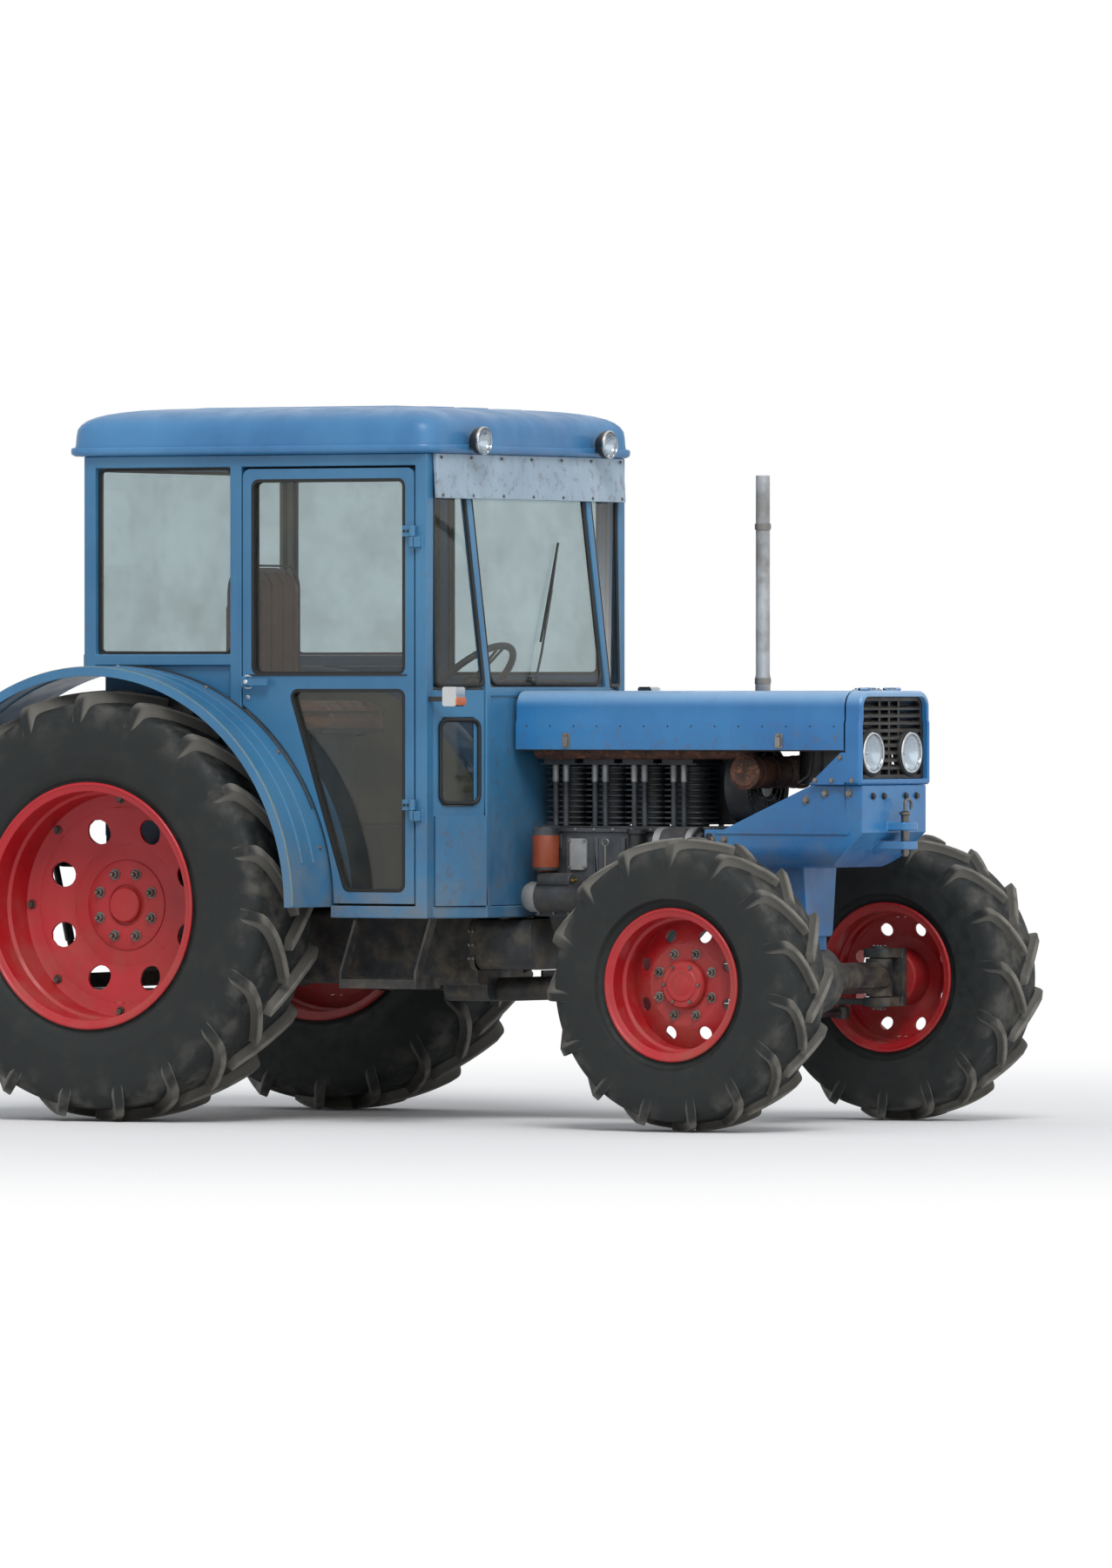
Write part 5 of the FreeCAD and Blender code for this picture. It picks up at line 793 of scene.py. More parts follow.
def rim_channel(size, steps):
    top = size["rim"] + RIM_FLANGE
    base, half = size["rim"], size["rim_half"]
    sheet = 0.010
    outer = [(base, 0.0), (base, half * 0.45), (base - 0.0, half - RIM_LIP - 0.012), (base + 0.006, half - RIM_LIP - 0.003),
             (top - 0.006, half - RIM_LIP + 0.001), (top, half - RIM_LIP + 0.006), (top, half - 0.004), (top - 0.004, half),
             (top - 0.010, half), (top - 0.014, half - 0.004), (base + 0.002, half - 0.006), (base - sheet, half - 0.012),
             (base - sheet, half * 0.45), (base - sheet - 0.012, half * 0.40), (base - sheet - 0.012, 0.0)]
    # The guard ring's inner step stays inside the well.
    mirrored = [(r, -y) for r, y in reversed(outer)][1:-1]
    return outer + mirrored, steps


def rear_rim_piece(side):
    size = REAR
    piece = Piece(LOOKS["wheel_red"], LOOKS["steel"])
    channel, steps = rim_channel(size, 114)
    piece.lathe(channel, (0, 0, 0), "y", steps)
    edge = size["rim"] - 0.016
    knots = [(0.0, -0.076), (0.235, -0.076), (0.262, -0.070), (0.30, -0.058), (0.36, -0.043), (0.405, -0.031), (edge, -0.026)]

    def face(r):
        for (ra, ya), (rb, yb) in zip(knots, knots[1:]):
            if r <= rb:
                t = (r - ra) / (rb - ra)
                t = t * t * (3 - 2 * t) * 0.5 + t * 0.5
                return ya + (yb - ya) * t
        return knots[-1][1]
    holed_plate(piece, face, 0.225, 0.362, 8, 0.292, 0.046, 0.012)
    flat = [(0.0605, -0.088), (0.0605, -0.076), (0.225, -0.076), (0.225, -0.088)]
    piece.lathe(flat, (0, 0, 0), "y", 96)
    outer = [(0.362, face(0.362)), (0.385, face(0.385)), (edge, -0.026), (edge + 0.008, -0.020), (edge + 0.008, -0.036),
             (edge, -0.040), (0.385, face(0.385) - 0.012), (0.362, face(0.362) - 0.012)]
    piece.lathe(outer, (0, 0, 0), "y", 96)
    # Raised ring round the bolt circle, the axle hub and its cap.
    piece.lathe([(0.168, -0.077), (0.168, -0.072), (0.160, -0.069), (0.082, -0.069), (0.074, -0.072), (0.074, -0.077)],
                (0, 0, 0), "y", 72)
    piece.peg((0, -0.088, 0), (0, 1, 0), [(0.072, 0.0), (0.066, 0.01), (0.066, 0.030), (0.060, 0.036), (0.030, 0.038)], 40)
    piece.peg((0, -0.235, 0), (0, 1, 0), [(0.100, -0.003), (0.118, 0.012), (0.118, 0.150)], 48)
    piece.peg((0, -0.235, 0), (0, 1, 0), [(0.045, -0.06), (0.045, 0.02)], 32)
    piece.slot = 1
    for n in range(8):
        turn = 2.0 * math.pi * (n + 0.5) / 8
        at = wheel_point(0.122, -0.069, turn)
        piece.bolt(at, (0, 1, 0), 0.034)
        piece.peg(at, (0, 1, 0), [(0.009, 0.012), (0.009, 0.027), (0.007, 0.029)], 12)
    # Rim clamps between disc and rim, and the valve.
    for n in range(8):
        turn = 2.0 * math.pi * n / 8
        at = wheel_point(0.392, face(0.392), turn)
        piece.bolt(at, (0, 1, 0), 0.028)
    at = wheel_point(0.405, 0.02, 0.35)
    piece.peg(at, (-math.cos(0.35) * 0.4, 1.0, -math.sin(0.35) * 0.4), [(0.006, -0.03), (0.006, 0.02), (0.004, 0.022),
                                                                       (0.004, 0.034)], 10)
    x, y, z = size["centre"]
    piece.place(side, x, y, z)
    return piece


def front_rim_piece(side):
    size = FRONT
    piece = Piece(LOOKS["wheel_red"], LOOKS["steel"])
    channel, steps = rim_channel(size, 90)
    piece.lathe(channel, (0, 0, 0), "y", steps)
    edge = size["rim"] - 0.016
    knots = [(0.0, 0.030), (0.140, 0.030), (0.155, 0.027), (0.19, 0.012), (0.215, 0.0), (edge, -0.012)]

    def face(r):
        for (ra, ya), (rb, yb) in zip(knots, knots[1:]):
            if r <= rb:
                return ya + (yb - ya) * (r - ra) / (rb - ra)
        return knots[-1][1]
    holed_plate(piece, face, 0.150, 0.222, 8, 0.188, 0.024, 0.011)
    piece.lathe([(0.0705, 0.018), (0.0705, 0.030), (0.150, face(0.150)), (0.150, face(0.150) - 0.011)], (0, 0, 0), "y", 72)
    outer = [(0.222, face(0.222)), (edge, -0.012), (edge + 0.008, -0.008), (edge + 0.008, -0.022), (edge, -0.026),
             (0.222, face(0.222) - 0.011)]
    piece.lathe(outer, (0, 0, 0), "y", 72)
    # Planet hub: a drum through the disc with a stepped cap.
    inner = span("rim_front_left")[0].y - size["centre"][1]
    drum = [(0.0385, max(inner, -0.094)), (0.098, max(inner, -0.094)), (0.104, -0.085), (0.104, 0.022), (0.0385, 0.022)]
    piece.lathe(drum, (0, 0, 0), "y", 56)
    cap = [(0.0385, 0.021), (0.090, 0.021), (0.088, 0.048), (0.080, 0.058), (0.062, 0.060), (0.058, 0.064), (0.0385, 0.064)]
    piece.lathe(cap, (0, 0, 0), "y", 56)
    piece.peg((0, 0.050, 0), (0, 1, 0), [(0.040, 0.0), (0.040, 0.0125), (0.036, 0.014)], 32)
    piece.slot = 1
    for n in range(8):
        turn = 2.0 * math.pi * (n + 0.5) / 8
        at = wheel_point(0.118, 0.030, turn)
        piece.bolt(at, (0, 1, 0), 0.030)
        piece.peg(at, (0, 1, 0), [(0.008, 0.01), (0.008, 0.024), (0.006, 0.026)], 12)
    for n in range(6):
        turn = 2.0 * math.pi * n / 6
        piece.bolt(wheel_point(0.071, 0.059, turn), (0, 1, 0), 0.014, washer=False)
    at = wheel_point(0.232, 0.01, 0.6)
    piece.peg(at, (-math.cos(0.6) * 0.4, 1.0, -math.sin(0.6) * 0.4), [(0.006, -0.02), (0.006, 0.018), (0.004, 0.02),
                                                                     (0.004, 0.03)], 10)
    x, y, z = size["centre"]
    piece.place(side, x, y, z)
    return piece


def make_wheels():
    rear_look = rubber("rubber_rear", srgb(24, 27, 27), (AXLE_X, REAR_Z), REAR["radius"], 0.62)
    front_look = rubber("rubber_front", srgb(24, 27, 27), (AXLE_X + FRONT_X, FRONT_Z), FRONT["radius"], 0.42)
    for side, word in ((1, "left"), (-1, "right")):
        for size, look, rim in ((REAR, rear_look, rear_rim_piece), (FRONT, front_look, front_rim_piece)):
            place = "%s_%s" % (size["node"], word)
            tyre_piece(size, side, look).finish("tyre_%s_lugged" % place, "wheel_" + place, "tyre", ("tyre_" + place,),
                                                angle=40.0)
            rim(side).finish("rim_%s_pressed" % place, "wheel_" + place, "wheel_red", ("rim_" + place,), 0.0015, 1)


make_wheels()

# Outlines and trims that several groups share

def rectangle(a0, a1, b0, b1):
    return [(a0, b0), (a1, b0), (a1, b1), (a0, b1)]


def grown(outline, by):
    """A closed outline with its sides moved outwards, or inwards where by is negative."""
    turned = list(zip(outline, outline[1:] + outline[:1]))
    sign = 1.0 if sum(a0 * b1 - a1 * b0 for (a0, b0), (a1, b1) in turned) > 0.0 else -1.0
    moved = []
    for i, corner in enumerate(outline):
        here = Vector(corner)
        back = (here - Vector(outline[i - 1])).normalized()
        ahead = (Vector(outline[(i + 1) % len(outline)]) - here).normalized()
        first = Vector((back.y, -back.x)) * sign
        second = Vector((ahead.y, -ahead.x)) * sign
        moved.append(tuple(here + (first + second) * (by / max(0.2, 1.0 + first.dot(second)))))
    return moved


def rounded_ring(points, bend, steps=5):
    """A closed line through points in space with its corners turned on arcs."""
    points = [Vector(p) for p in points]
    ring = []
    for i, corner in enumerate(points):
        ring += turned_corner(points[i - 1], corner, points[(i + 1) % len(points)], bend, steps)
    return ring


def seal(piece, axis, outline, bend, inside, outside, start, stop):
    """A rubber strip that covers the edge of a window's hole."""
    outer = rounded_loop(grown(outline, outside), bend + outside)
    inner = rounded_loop(grown(outline, -inside), max(bend - inside, 0.002))
    piece.band(axis, outer, inner, start, stop)


def row(first, last, count):
    return [first + (last - first) * k / (count - 1) for k in range(count)]


# Lamps

def round_lamp(piece, x, y, z, r, drum, bulge, rim=0.010):
    """A shell, its bright bezel, the reflector's bowl, a bulb and a domed lens, facing forward."""
    piece.slot = 0
    piece.lathe([(0.0005, x - drum), (r * 0.55, x - drum), (r * 0.93, x - drum * 0.62), (r, x - 0.016), (r, x - 0.006),
                 (r - 0.003, x - 0.006), (r * 0.86, x - drum * 0.55), (0.0005, x - drum + 0.003)], (0, y, z), "x", 48)
    piece.slot = 1
    piece.lathe([(r, x - 0.012), (r, x - 0.001), (r - 0.003, x + 0.002), (r - rim + 0.002, x + 0.002),
                 (r - rim, x - 0.003), (r - rim, x - 0.012)], (0, y, z), "x", 48)
    bowl = [(r - rim, x - 0.010), (r * 0.7, x - drum * 0.45), (r * 0.4, x - drum * 0.68), (0.012, x - drum * 0.8)]
    piece.lathe(bowl + [(a, b - 0.002) for a, b in reversed(bowl)], (0, y, z), "x", 40)
    piece.peg((x - drum * 0.8, y, z), (1, 0, 0), [(0.009, 0.0), (0.009, 0.014), (0.004, 0.018)], 16)
    piece.slot = 2
    lens = [(0.0005, x + bulge)]
    for share in (0.3, 0.55, 0.78, 0.95):
        lens.append(((r - rim) * share, x + bulge * (1.0 - share * share)))
    lens.append((r - rim + 0.001, x - 0.002))
    piece.lathe(lens + [(a, b - 0.003) for a, b in reversed(lens)], (0, y, z), "x", 48)


def make_lamps():
    looks = (LOOKS["black_metal"], LOOKS["bright"], LOOKS["lens"], LOOKS["lens_red"], LOOKS["lens_amber"], LOOKS["seal"])
    head = Piece(*looks)
    low, high = span("headlamps")
    r = (high.z - low.z) / 2.0
    z = (high.z + low.z) / 2.0
    for y in (low.y + r, high.y - r):
        round_lamp(head, high.x - 0.008, y, z, r, high.x - low.x - 0.008, 0.008)
    head.finish("headlamps_glazed", "chassis", "lamp_glass", ("headlamps",), angle=28.0)
    work = Piece(*looks)
    low, high = span("work_lamps")
    lamp_r = 0.052
    for side in (1, -1):
        x, y, z = 1.387, side * 0.450, 2.502
        round_lamp(work, x, y, z, lamp_r, 0.0517, 0.006, 0.007)
        # Side lamp: arm, shell, amber and clear lens halves.
        y0, y1 = sorted((side * 0.664, side * 0.734))
        arm = sorted((side * 0.676, side * 0.696))
        work.slot = 0
        work.block(1.2953, 1.392, arm[0], arm[1], 1.548, 1.566)
        work.slot = 1
        work.prism("y", rounded_loop(rectangle(1.374, 1.434, 1.530, 1.602), 0.010), y0 + 0.004, y1 - 0.004)
        work.slot = 2
        work.prism("x", rounded_loop(rectangle(y0 + 0.003, y1 - 0.003, 1.568, 1.598), 0.008), 1.432, 1.4395)
        work.slot = 4
        work.prism("x", rounded_loop(rectangle(y0 + 0.003, y1 - 0.003, 1.534, 1.564), 0.008), 1.432, 1.4395)
        # Tail lamp on the fender's end: shell, red and amber lens.
        y0, y1 = sorted((side * 0.845, side * 0.955))
        work.slot = 0
        work.prism("y", rounded_loop([(-0.817, 1.192), (-0.772, 1.216), (-0.737, 1.236), (-0.737, 1.296), (-0.817, 1.296)],
                                     0.006), y0, y1)
        for look, z0, z1 in ((4, 1.256, 1.292), (3, 1.200, 1.252)):
            work.slot = look
            work.prism("x", rounded_loop(rectangle(y0 + 0.004, y1 - 0.004, z0, z1), 0.008), -0.8285, -0.815)
    work.finish("lamps_on_cab_and_fenders", "chassis", "lamp_glass", ("work_lamps",), 0.001, 2, angle=28.0)


# Roof, header and cab trim

def make_roof():
    low, high = span("cab_roof")
    piece = Piece(LOOKS["roof_blue"], LOOKS["interior_beige"], LOOKS["seal"])
    # Height over the foot, inset and corner radius of each ring.
    rings = ((0.0, 0.014, 0.080), (0.006, 0.003, 0.088), (0.013, 0.0, 0.090), (0.026, 0.0, 0.090), (0.031, 0.003, 0.088),
             (0.0325, 0.009, 0.084), (0.0335, 0.014, 0.080), (0.044, 0.0155, 0.080), (0.075, 0.0175, 0.079), (0.100, 0.021, 0.078),
             (0.118, 0.031, 0.077), (0.134, 0.047, 0.076), (0.147, 0.070, 0.075), (0.158, 0.102, 0.074), (0.167, 0.144, 0.072),
             (0.174, 0.196, 0.070), (0.179, 0.262, 0.066), (0.1825, 0.350, 0.062), (0.1842, 0.460, 0.058), (0.1845, 0.560, 0.05))
    loops = []
    for rise, inset, bend in rings:
        outline = rectangle(low.x + inset, high.x - inset, low.y + inset, high.y - inset)
        rise -= 0.020 * max(0.0, rise - 0.044)
        loops.append([Vector((x, y, low.z + rise)) for x, y in rounded_loop(outline, bend, 10)])
    piece.skin(loops)
    # Pressed ribs along the top.
    for y in (-0.36, -0.12, 0.12, 0.36):
        points = []
        for x in row(0.02, 1.05, 11):
            end = min(x - 0.02, 1.05 - x)
            points.append((x, y, high.z - 0.0135 + 0.004 * min(1.0, end / 0.1) - 0.010 * max(0.0, abs(y) - 0.2)))
        piece.tube(points, 0.009, 10)
    piece.slot = 1
    piece.prism("z", rounded_loop(rectangle(-0.143, 1.243, -0.655, 0.655), 0.03), low.z - 0.016, low.z + 0.002)
    piece.finish("cab_roof_crowned", "chassis", "roof_blue", ("cab_roof",), angle=40.0)


def make_cab_trim():
    piece = Piece(LOOKS["seal"], LOOKS["bright"], LOOKS["black_metal"], LOOKS["interior_beige"], LOOKS["steel"])
    foot, head = 1.390, 1.285

    def screen_x(z):
        return foot + (head - foot) * max(0.0, (z - 1.600) / 0.855) - 0.012
    # Gaskets of the windscreen, of the slanted corner panes and of the side and rear panes.
    half = 0.400
    piece.tube(rounded_ring([(screen_x(1.611), -half, 1.611), (screen_x(1.611), half, 1.611),
                             (screen_x(2.401), half, 2.401), (screen_x(2.401), -half, 2.401)], 0.045), 0.0085, 8, True)
    for side in (1, -1):
        lower = [(1.381, side * 0.449), (1.300, side * 0.653)]
        upper = [(1.283, side * 0.449), (1.284, side * 0.652)]
        piece.tube(rounded_ring([(lower[0][0], lower[0][1], 1.606), (lower[1][0], lower[1][1], 1.606),
                                 (upper[1][0], upper[1][1], 2.402), (upper[0][0], upper[0][1], 2.402)], 0.02), 0.007, 8, True)
        low_ring = [(1.377, side * 0.474), (1.308, side * 0.632)]
        piece.tube(rounded_ring([(low_ring[0][0], low_ring[0][1], 1.176), (low_ring[1][0], low_ring[1][1], 1.176),
                                 (low_ring[1][0], low_ring[1][1], 1.480), (low_ring[0][0], low_ring[0][1], 1.480)], 0.03),
                   0.008, 8, True)
        y0, y1 = sorted((side * 0.6765, side * 0.6895))
        seal(piece, "y", rectangle(-0.1447, 0.4447, 1.7223, 2.4097), 0.035, 0.010, -0.0003, y0, y1)
    seal(piece, "x", rectangle(-0.6597, 0.6597, 1.7223, 2.4097), 0.045, 0.012, -0.0003, -0.178, -0.162)
    # Door seals on the posts, the sill and the rail.
    for side in (1, -1):
        y0, y1 = sorted((side * 0.6605, side * 0.6712))
        for outline in ([(0.4955, 1.73), (0.5045, 1.73), (0.5045, 2.396), (0.4955, 2.396)],
                        [(1.236, 0.815), (1.2448, 0.815), (1.2448, 2.396), (1.236, 2.396)],
                        [(0.4955, 2.394), (1.2448, 2.394), (1.2448, 2.4098), (0.4955, 2.4098)],
                        [(0.890, 0.8002), (1.2448, 0.8002), (1.2448, 0.812), (0.890, 0.812)]):
            piece.prism("y", outline, y0, y1)
    # Wiper, parked at an angle.
    piece.slot = 2
    piece.peg((screen_x(1.618) - 0.002, -0.10, 1.622), (1, 0, 0.12), [(0.016, -0.004), (0.016, 0.012), (0.010, 0.020)], 20)
    tip = Vector((screen_x(1.96) + 0.017, 0.085, 1.96))
    root = Vector((screen_x(1.622) + 0.017, -0.10, 1.622))
    piece.tube([root, root.lerp(tip, 0.3) + Vector((0.004, 0, 0)), tip], 0.0045, 8)
    lean = (tip - root).normalized()
    blade_low, blade_high = tip - lean * 0.22, tip + lean * 0.20
    piece.slot = 0
    piece.tube([blade_low + Vector((-0.009, 0, 0)), tip + Vector((-0.0085, 0, 0)), blade_high + Vector((-0.009, 0, 0))], 0.005, 6)
    piece.slot = 2
    piece.tube([blade_low.lerp(tip, 0.2) + Vector((-0.006, 0, 0)), tip, blade_high.lerp(tip, 0.2) + Vector((-0.006, 0, 0))],
               0.003, 6)
    # Grab rails beside the doors, inside the front posts.
    for side in (1, -1):
        y = side * 0.640
        path = rounded_path([(1.262, side * 0.664, 1.20), (1.262, y, 1.20), (1.262, y, 1.60), (1.262, side * 0.664, 1.60)], 0.03)
        piece.slot = 2
        piece.tube(path, 0.010, 10)
        # Screws of the header and the joint strips under the roof.
        piece.slot = 4
    for y in row(-0.64, 0.64, 7):
        for z in (2.302, 2.440):
            x = foot + (head - foot) * (z - 1.600) / 0.855 + 0.0185
            if z > 2.4:
                x = 1.2953 + 0.0185
                x += (2.455 - z) * 0.09
            piece.bolt((x - 0.001, y, z), (1, 0, 0.1), 0.012, washer=False)
    # Lining behind the seat and beside it.
    piece.slot = 3
    piece.prism("x", rounded_loop(rectangle(-0.540, 0.540, 1.090, 1.668), 0.03), -0.1952, -0.184)
    for side in (1, -1):
        y0, y1 = sorted((side * 0.5517, side * 0.543))
        rim = [(0.855 * math.cos(a), 0.795 + 0.855 * math.sin(a)) for a in (math.radians(k) for k in range(27, 101, 6))]
        rim = [(x, z) for x, z in rim if x > -0.16] + [(-0.16, 1.635), (-0.16, 1.090), (0.42, 1.090), (0.46, 0.96), (0.80, 0.96)]
        piece.prism("y", rim, y0, y1)
        y0, y1 = sorted((side * 0.6597, side * 0.652))
        piece.prism("y", rectangle(0.4455, 0.494, 1.76, 2.39), y0, y1)
        piece.prism("y", rectangle(-0.144, -0.1955, 1.73, 2.40), y0, y1)
    piece.finish("cab_seals_and_lining", "chassis", "black_plastic", bevel=0.001, segments=1)


def make_door_trim():
    mid_bottom = 1.590
    foot_z, foot_x = 0.854, 0.942
    turn = math.atan2(foot_z - 0.795, foot_x) + math.acos(0.914 / math.hypot(foot_x, foot_z - 0.795))
    top_x = (0.914 - (mid_bottom - 0.795) * math.sin(turn)) / math.cos(turn)
    upper = rectangle(0.542, 1.198, 1.650, 2.360)
    lower = [(foot_x, foot_z), (1.198, foot_z), (1.198, mid_bottom), (top_x, mid_bottom)]
    for side, word in ((1, "left"), (-1, "right")):
        piece = Piece(LOOKS["seal"], LOOKS["bright"], LOOKS["black_metal"], LOOKS["interior_beige"])
        for outline in (upper, lower):
            for near, far in ((0.6925, 0.7095), (0.6705, 0.6875)):
                y0, y1 = sorted((side * near, side * far))
                seal(piece, "y", outline, 0.026, 0.008, 0.004, y0, y1)
        # Handle with its rose, push button and lock, and the pull inside.
        piece.slot = 1
        out = (0, side, 0)
        piece.peg((0.536, side * 0.7435, 1.619), out, [(0.009, 0.0), (0.009, 0.0035), (0.007, 0.005)], 20)
        piece.peg((0.524, side * 0.7075, 1.562), out, [(0.010, 0.0), (0.010, 0.004), (0.004, 0.0045)], 20)
        piece.prism("y", rounded_loop(rectangle(0.508, 0.540, 1.594, 1.646), 0.008),
                    *sorted((side * 0.7078, side * 0.7105)))
        piece.slot = 2
        y = side * 0.646
        piece.tube(rounded_path([(0.62, side * 0.673, 1.620), (0.62, y, 1.620), (1.08, y, 1.620), (1.08, side * 0.673, 1.620)],
                                0.022), 0.009, 10)
        # Hinge bolts.
        for z in (1.150, 2.150):
            for x in (1.212, 1.228):
                piece.bolt((x, side * 0.7298, z + 0.020), out, 0.011, washer=False)
        # A stiffening strip below the glass.
        piece.slot = 2
        piece.prism("y", rounded_loop(rectangle(0.530, 1.21, 1.6425, 1.6475), 0.002), *sorted((side * 0.7078, side * 0.7125)))
        piece.finish("door_%s_trim" % word, "door_" + word, "black_plastic", bevel=0.0008, segments=1)


# Bonnet, nose and front carrier

def make_bonnet_trim():
    piece = Piece(LOOKS["seal"], LOOKS["steel"], LOOKS["black_metal"], LOOKS["bright"])
    for side in (1, -1):
        y = side * 0.260
        out = (0, side, 0)
        # Rubber edging under the side sheet, two toggle latches and rivets along the seam.
        piece.slot = 0
        piece.tube([(1.408, y - side * 0.0025, 1.3705), (2.10, y - side * 0.0025, 1.3705), (2.784, y - side * 0.0025, 1.3705)],
                   0.0035, 6)
        for x in (1.62, 2.52):
            piece.slot = 1
            piece.prism("y", rounded_loop(rectangle(x - 0.016, x + 0.016, 1.378, 1.432), 0.006), *sorted((y, y + side * 0.003)))
            piece.prism("y", rounded_loop(rectangle(x - 0.010, x + 0.010, 1.384, 1.420), 0.005),
                        *sorted((y + side * 0.002, y + side * 0.011)))
            piece.peg((x, y + side * 0.010, 1.424), out, [(0.006, -0.008), (0.006, 0.002), (0.004, 0.003)], 12)
        piece.slot = 2
        for x in row(1.45, 2.75, 14):
            piece.peg((x, y - side * 0.0002, 1.458), out, [(0.0035, 0.0), (0.003, 0.0014), (0.0012, 0.002)], 10)
    # Hinge bolts on the leaves.
    piece.slot = 1
    for side in (1, -1):
        for y in (0.102, 0.138):
            piece.bolt((2.7725, side * y, 1.5918), (0, 0, 1), 0.010, washer=False)
    piece.finish("bonnet_trim", "bonnet", "black_metal")


def make_nose_trim():
    piece = Piece(LOOKS["seal"], LOOKS["steel"], LOOKS["mesh"], LOOKS["bright"], LOOKS["black_metal"])
    # Wire mesh behind the slats.
    piece.slot = 2
    low, high = 1.285, 1.548
    for y in row(-0.215, 0.215, 44):
        if abs(abs(y) - 0.140) > 0.088:
            piece.block(2.8135, 2.8148, y - 0.0009, y + 0.0009, low, high)
        else:
            top = 1.362 + math.sqrt(max(0.0, 0.088 ** 2 - (abs(y) - 0.140) ** 2))
            piece.block(2.8135, 2.8148, y - 0.0009, y + 0.0009, top, high)
    for z in row(1.290, 1.546, 27):
        cut = 0.088 ** 2 - (z - 1.362) ** 2
        if cut <= 0.0:
            piece.block(2.8148, 2.8160, -0.215, 0.215, z - 0.0009, z + 0.0009)
        else:
            inner = 0.140 - math.sqrt(cut)
            piece.block(2.8148, 2.8160, -inner, inner, z - 0.0009, z + 0.0009)
            if 0.140 + math.sqrt(cut) < 0.214:
                for side in (1, -1):
                    ends = sorted((side * (0.140 + math.sqrt(cut)), side * 0.215))
                    piece.block(2.8148, 2.8160, ends[0], ends[1], z - 0.0009, z + 0.0009)
    piece.slot = 1
    for side in (1, -1):
        out = (0, side, 0)
        for x, z in ((2.672, 1.262), (2.740, 1.262), (2.776, 1.345), (2.825, 1.262)):
            piece.bolt((x, side * 0.2598, z), out, 0.016)
        for y in (0.042, 0.078):
            piece.bolt((2.8125, side * y, 1.5918), (0, 0, 1), 0.010, washer=False)
        # Rubber beads round the lamps.
        piece.slot = 0
        ring = [(2.842, side * 0.140 + 0.082 * math.cos(a), 1.362 + 0.082 * math.sin(a))
                for a in (2.0 * math.pi * k / 40 for k in range(40))]
        piece.tube(ring, 0.0055, 8, True)
        piece.slot = 1
    piece.finish("nose_trim", "chassis", "black_metal")


def make_carrier_trim():
    piece = Piece(LOOKS["steel"], LOOKS["black_metal"], LOOKS["body_blue"])
    for side in (1, -1):
        out = (0, side, 0)
        for x, z in ((2.225, 1.045), (2.225, 1.010), (2.275, 1.045), (2.275, 1.010), (2.62, 1.19), (2.70, 1.215), (2.80, 1.215)):
            piece.bolt((x, side * 0.2348, z), out, 0.024)
        # A flat bar along the side.
        piece.slot = 2
        piece.prism("y", rounded_loop([(2.24, 1.066), (2.80, 1.066), (2.80, 1.080), (2.24, 1.080)], 0.004),
                    *sorted((side * 0.2345, side * 0.241)))
        piece.slot = 0
    # Towing pin with its ring.
    piece.slot = 0
    piece.peg((2.899, 0, 0.985), (0, 0, 1), [(0.008, 0.0), (0.0145, 0.012), (0.0145, 0.150), (0.021, 0.152), (0.021, 0.160),
                                             (0.010, 0.166)], 24)
    piece.tube(rounded_path([(2.899, 0, 1.140), (2.899, 0, 1.192), (2.899, 0.046, 1.192), (2.899, 0.046, 1.156)], 0.018), 0.006, 10)
    piece.slot = 1
    for y in (-0.16, -0.08, 0.08, 0.16):
        piece.bolt((2.8548, y, 1.205), (1, 0, 0), 0.022)
    piece.finish("carrier_fittings", "chassis", "steel", bevel=0.0008, segments=1)


# Engine

CYLINDERS_X = (1.498, 1.666, 1.834, 2.002)
INTAKE_Y, INTAKE_Z = -0.150, 1.440


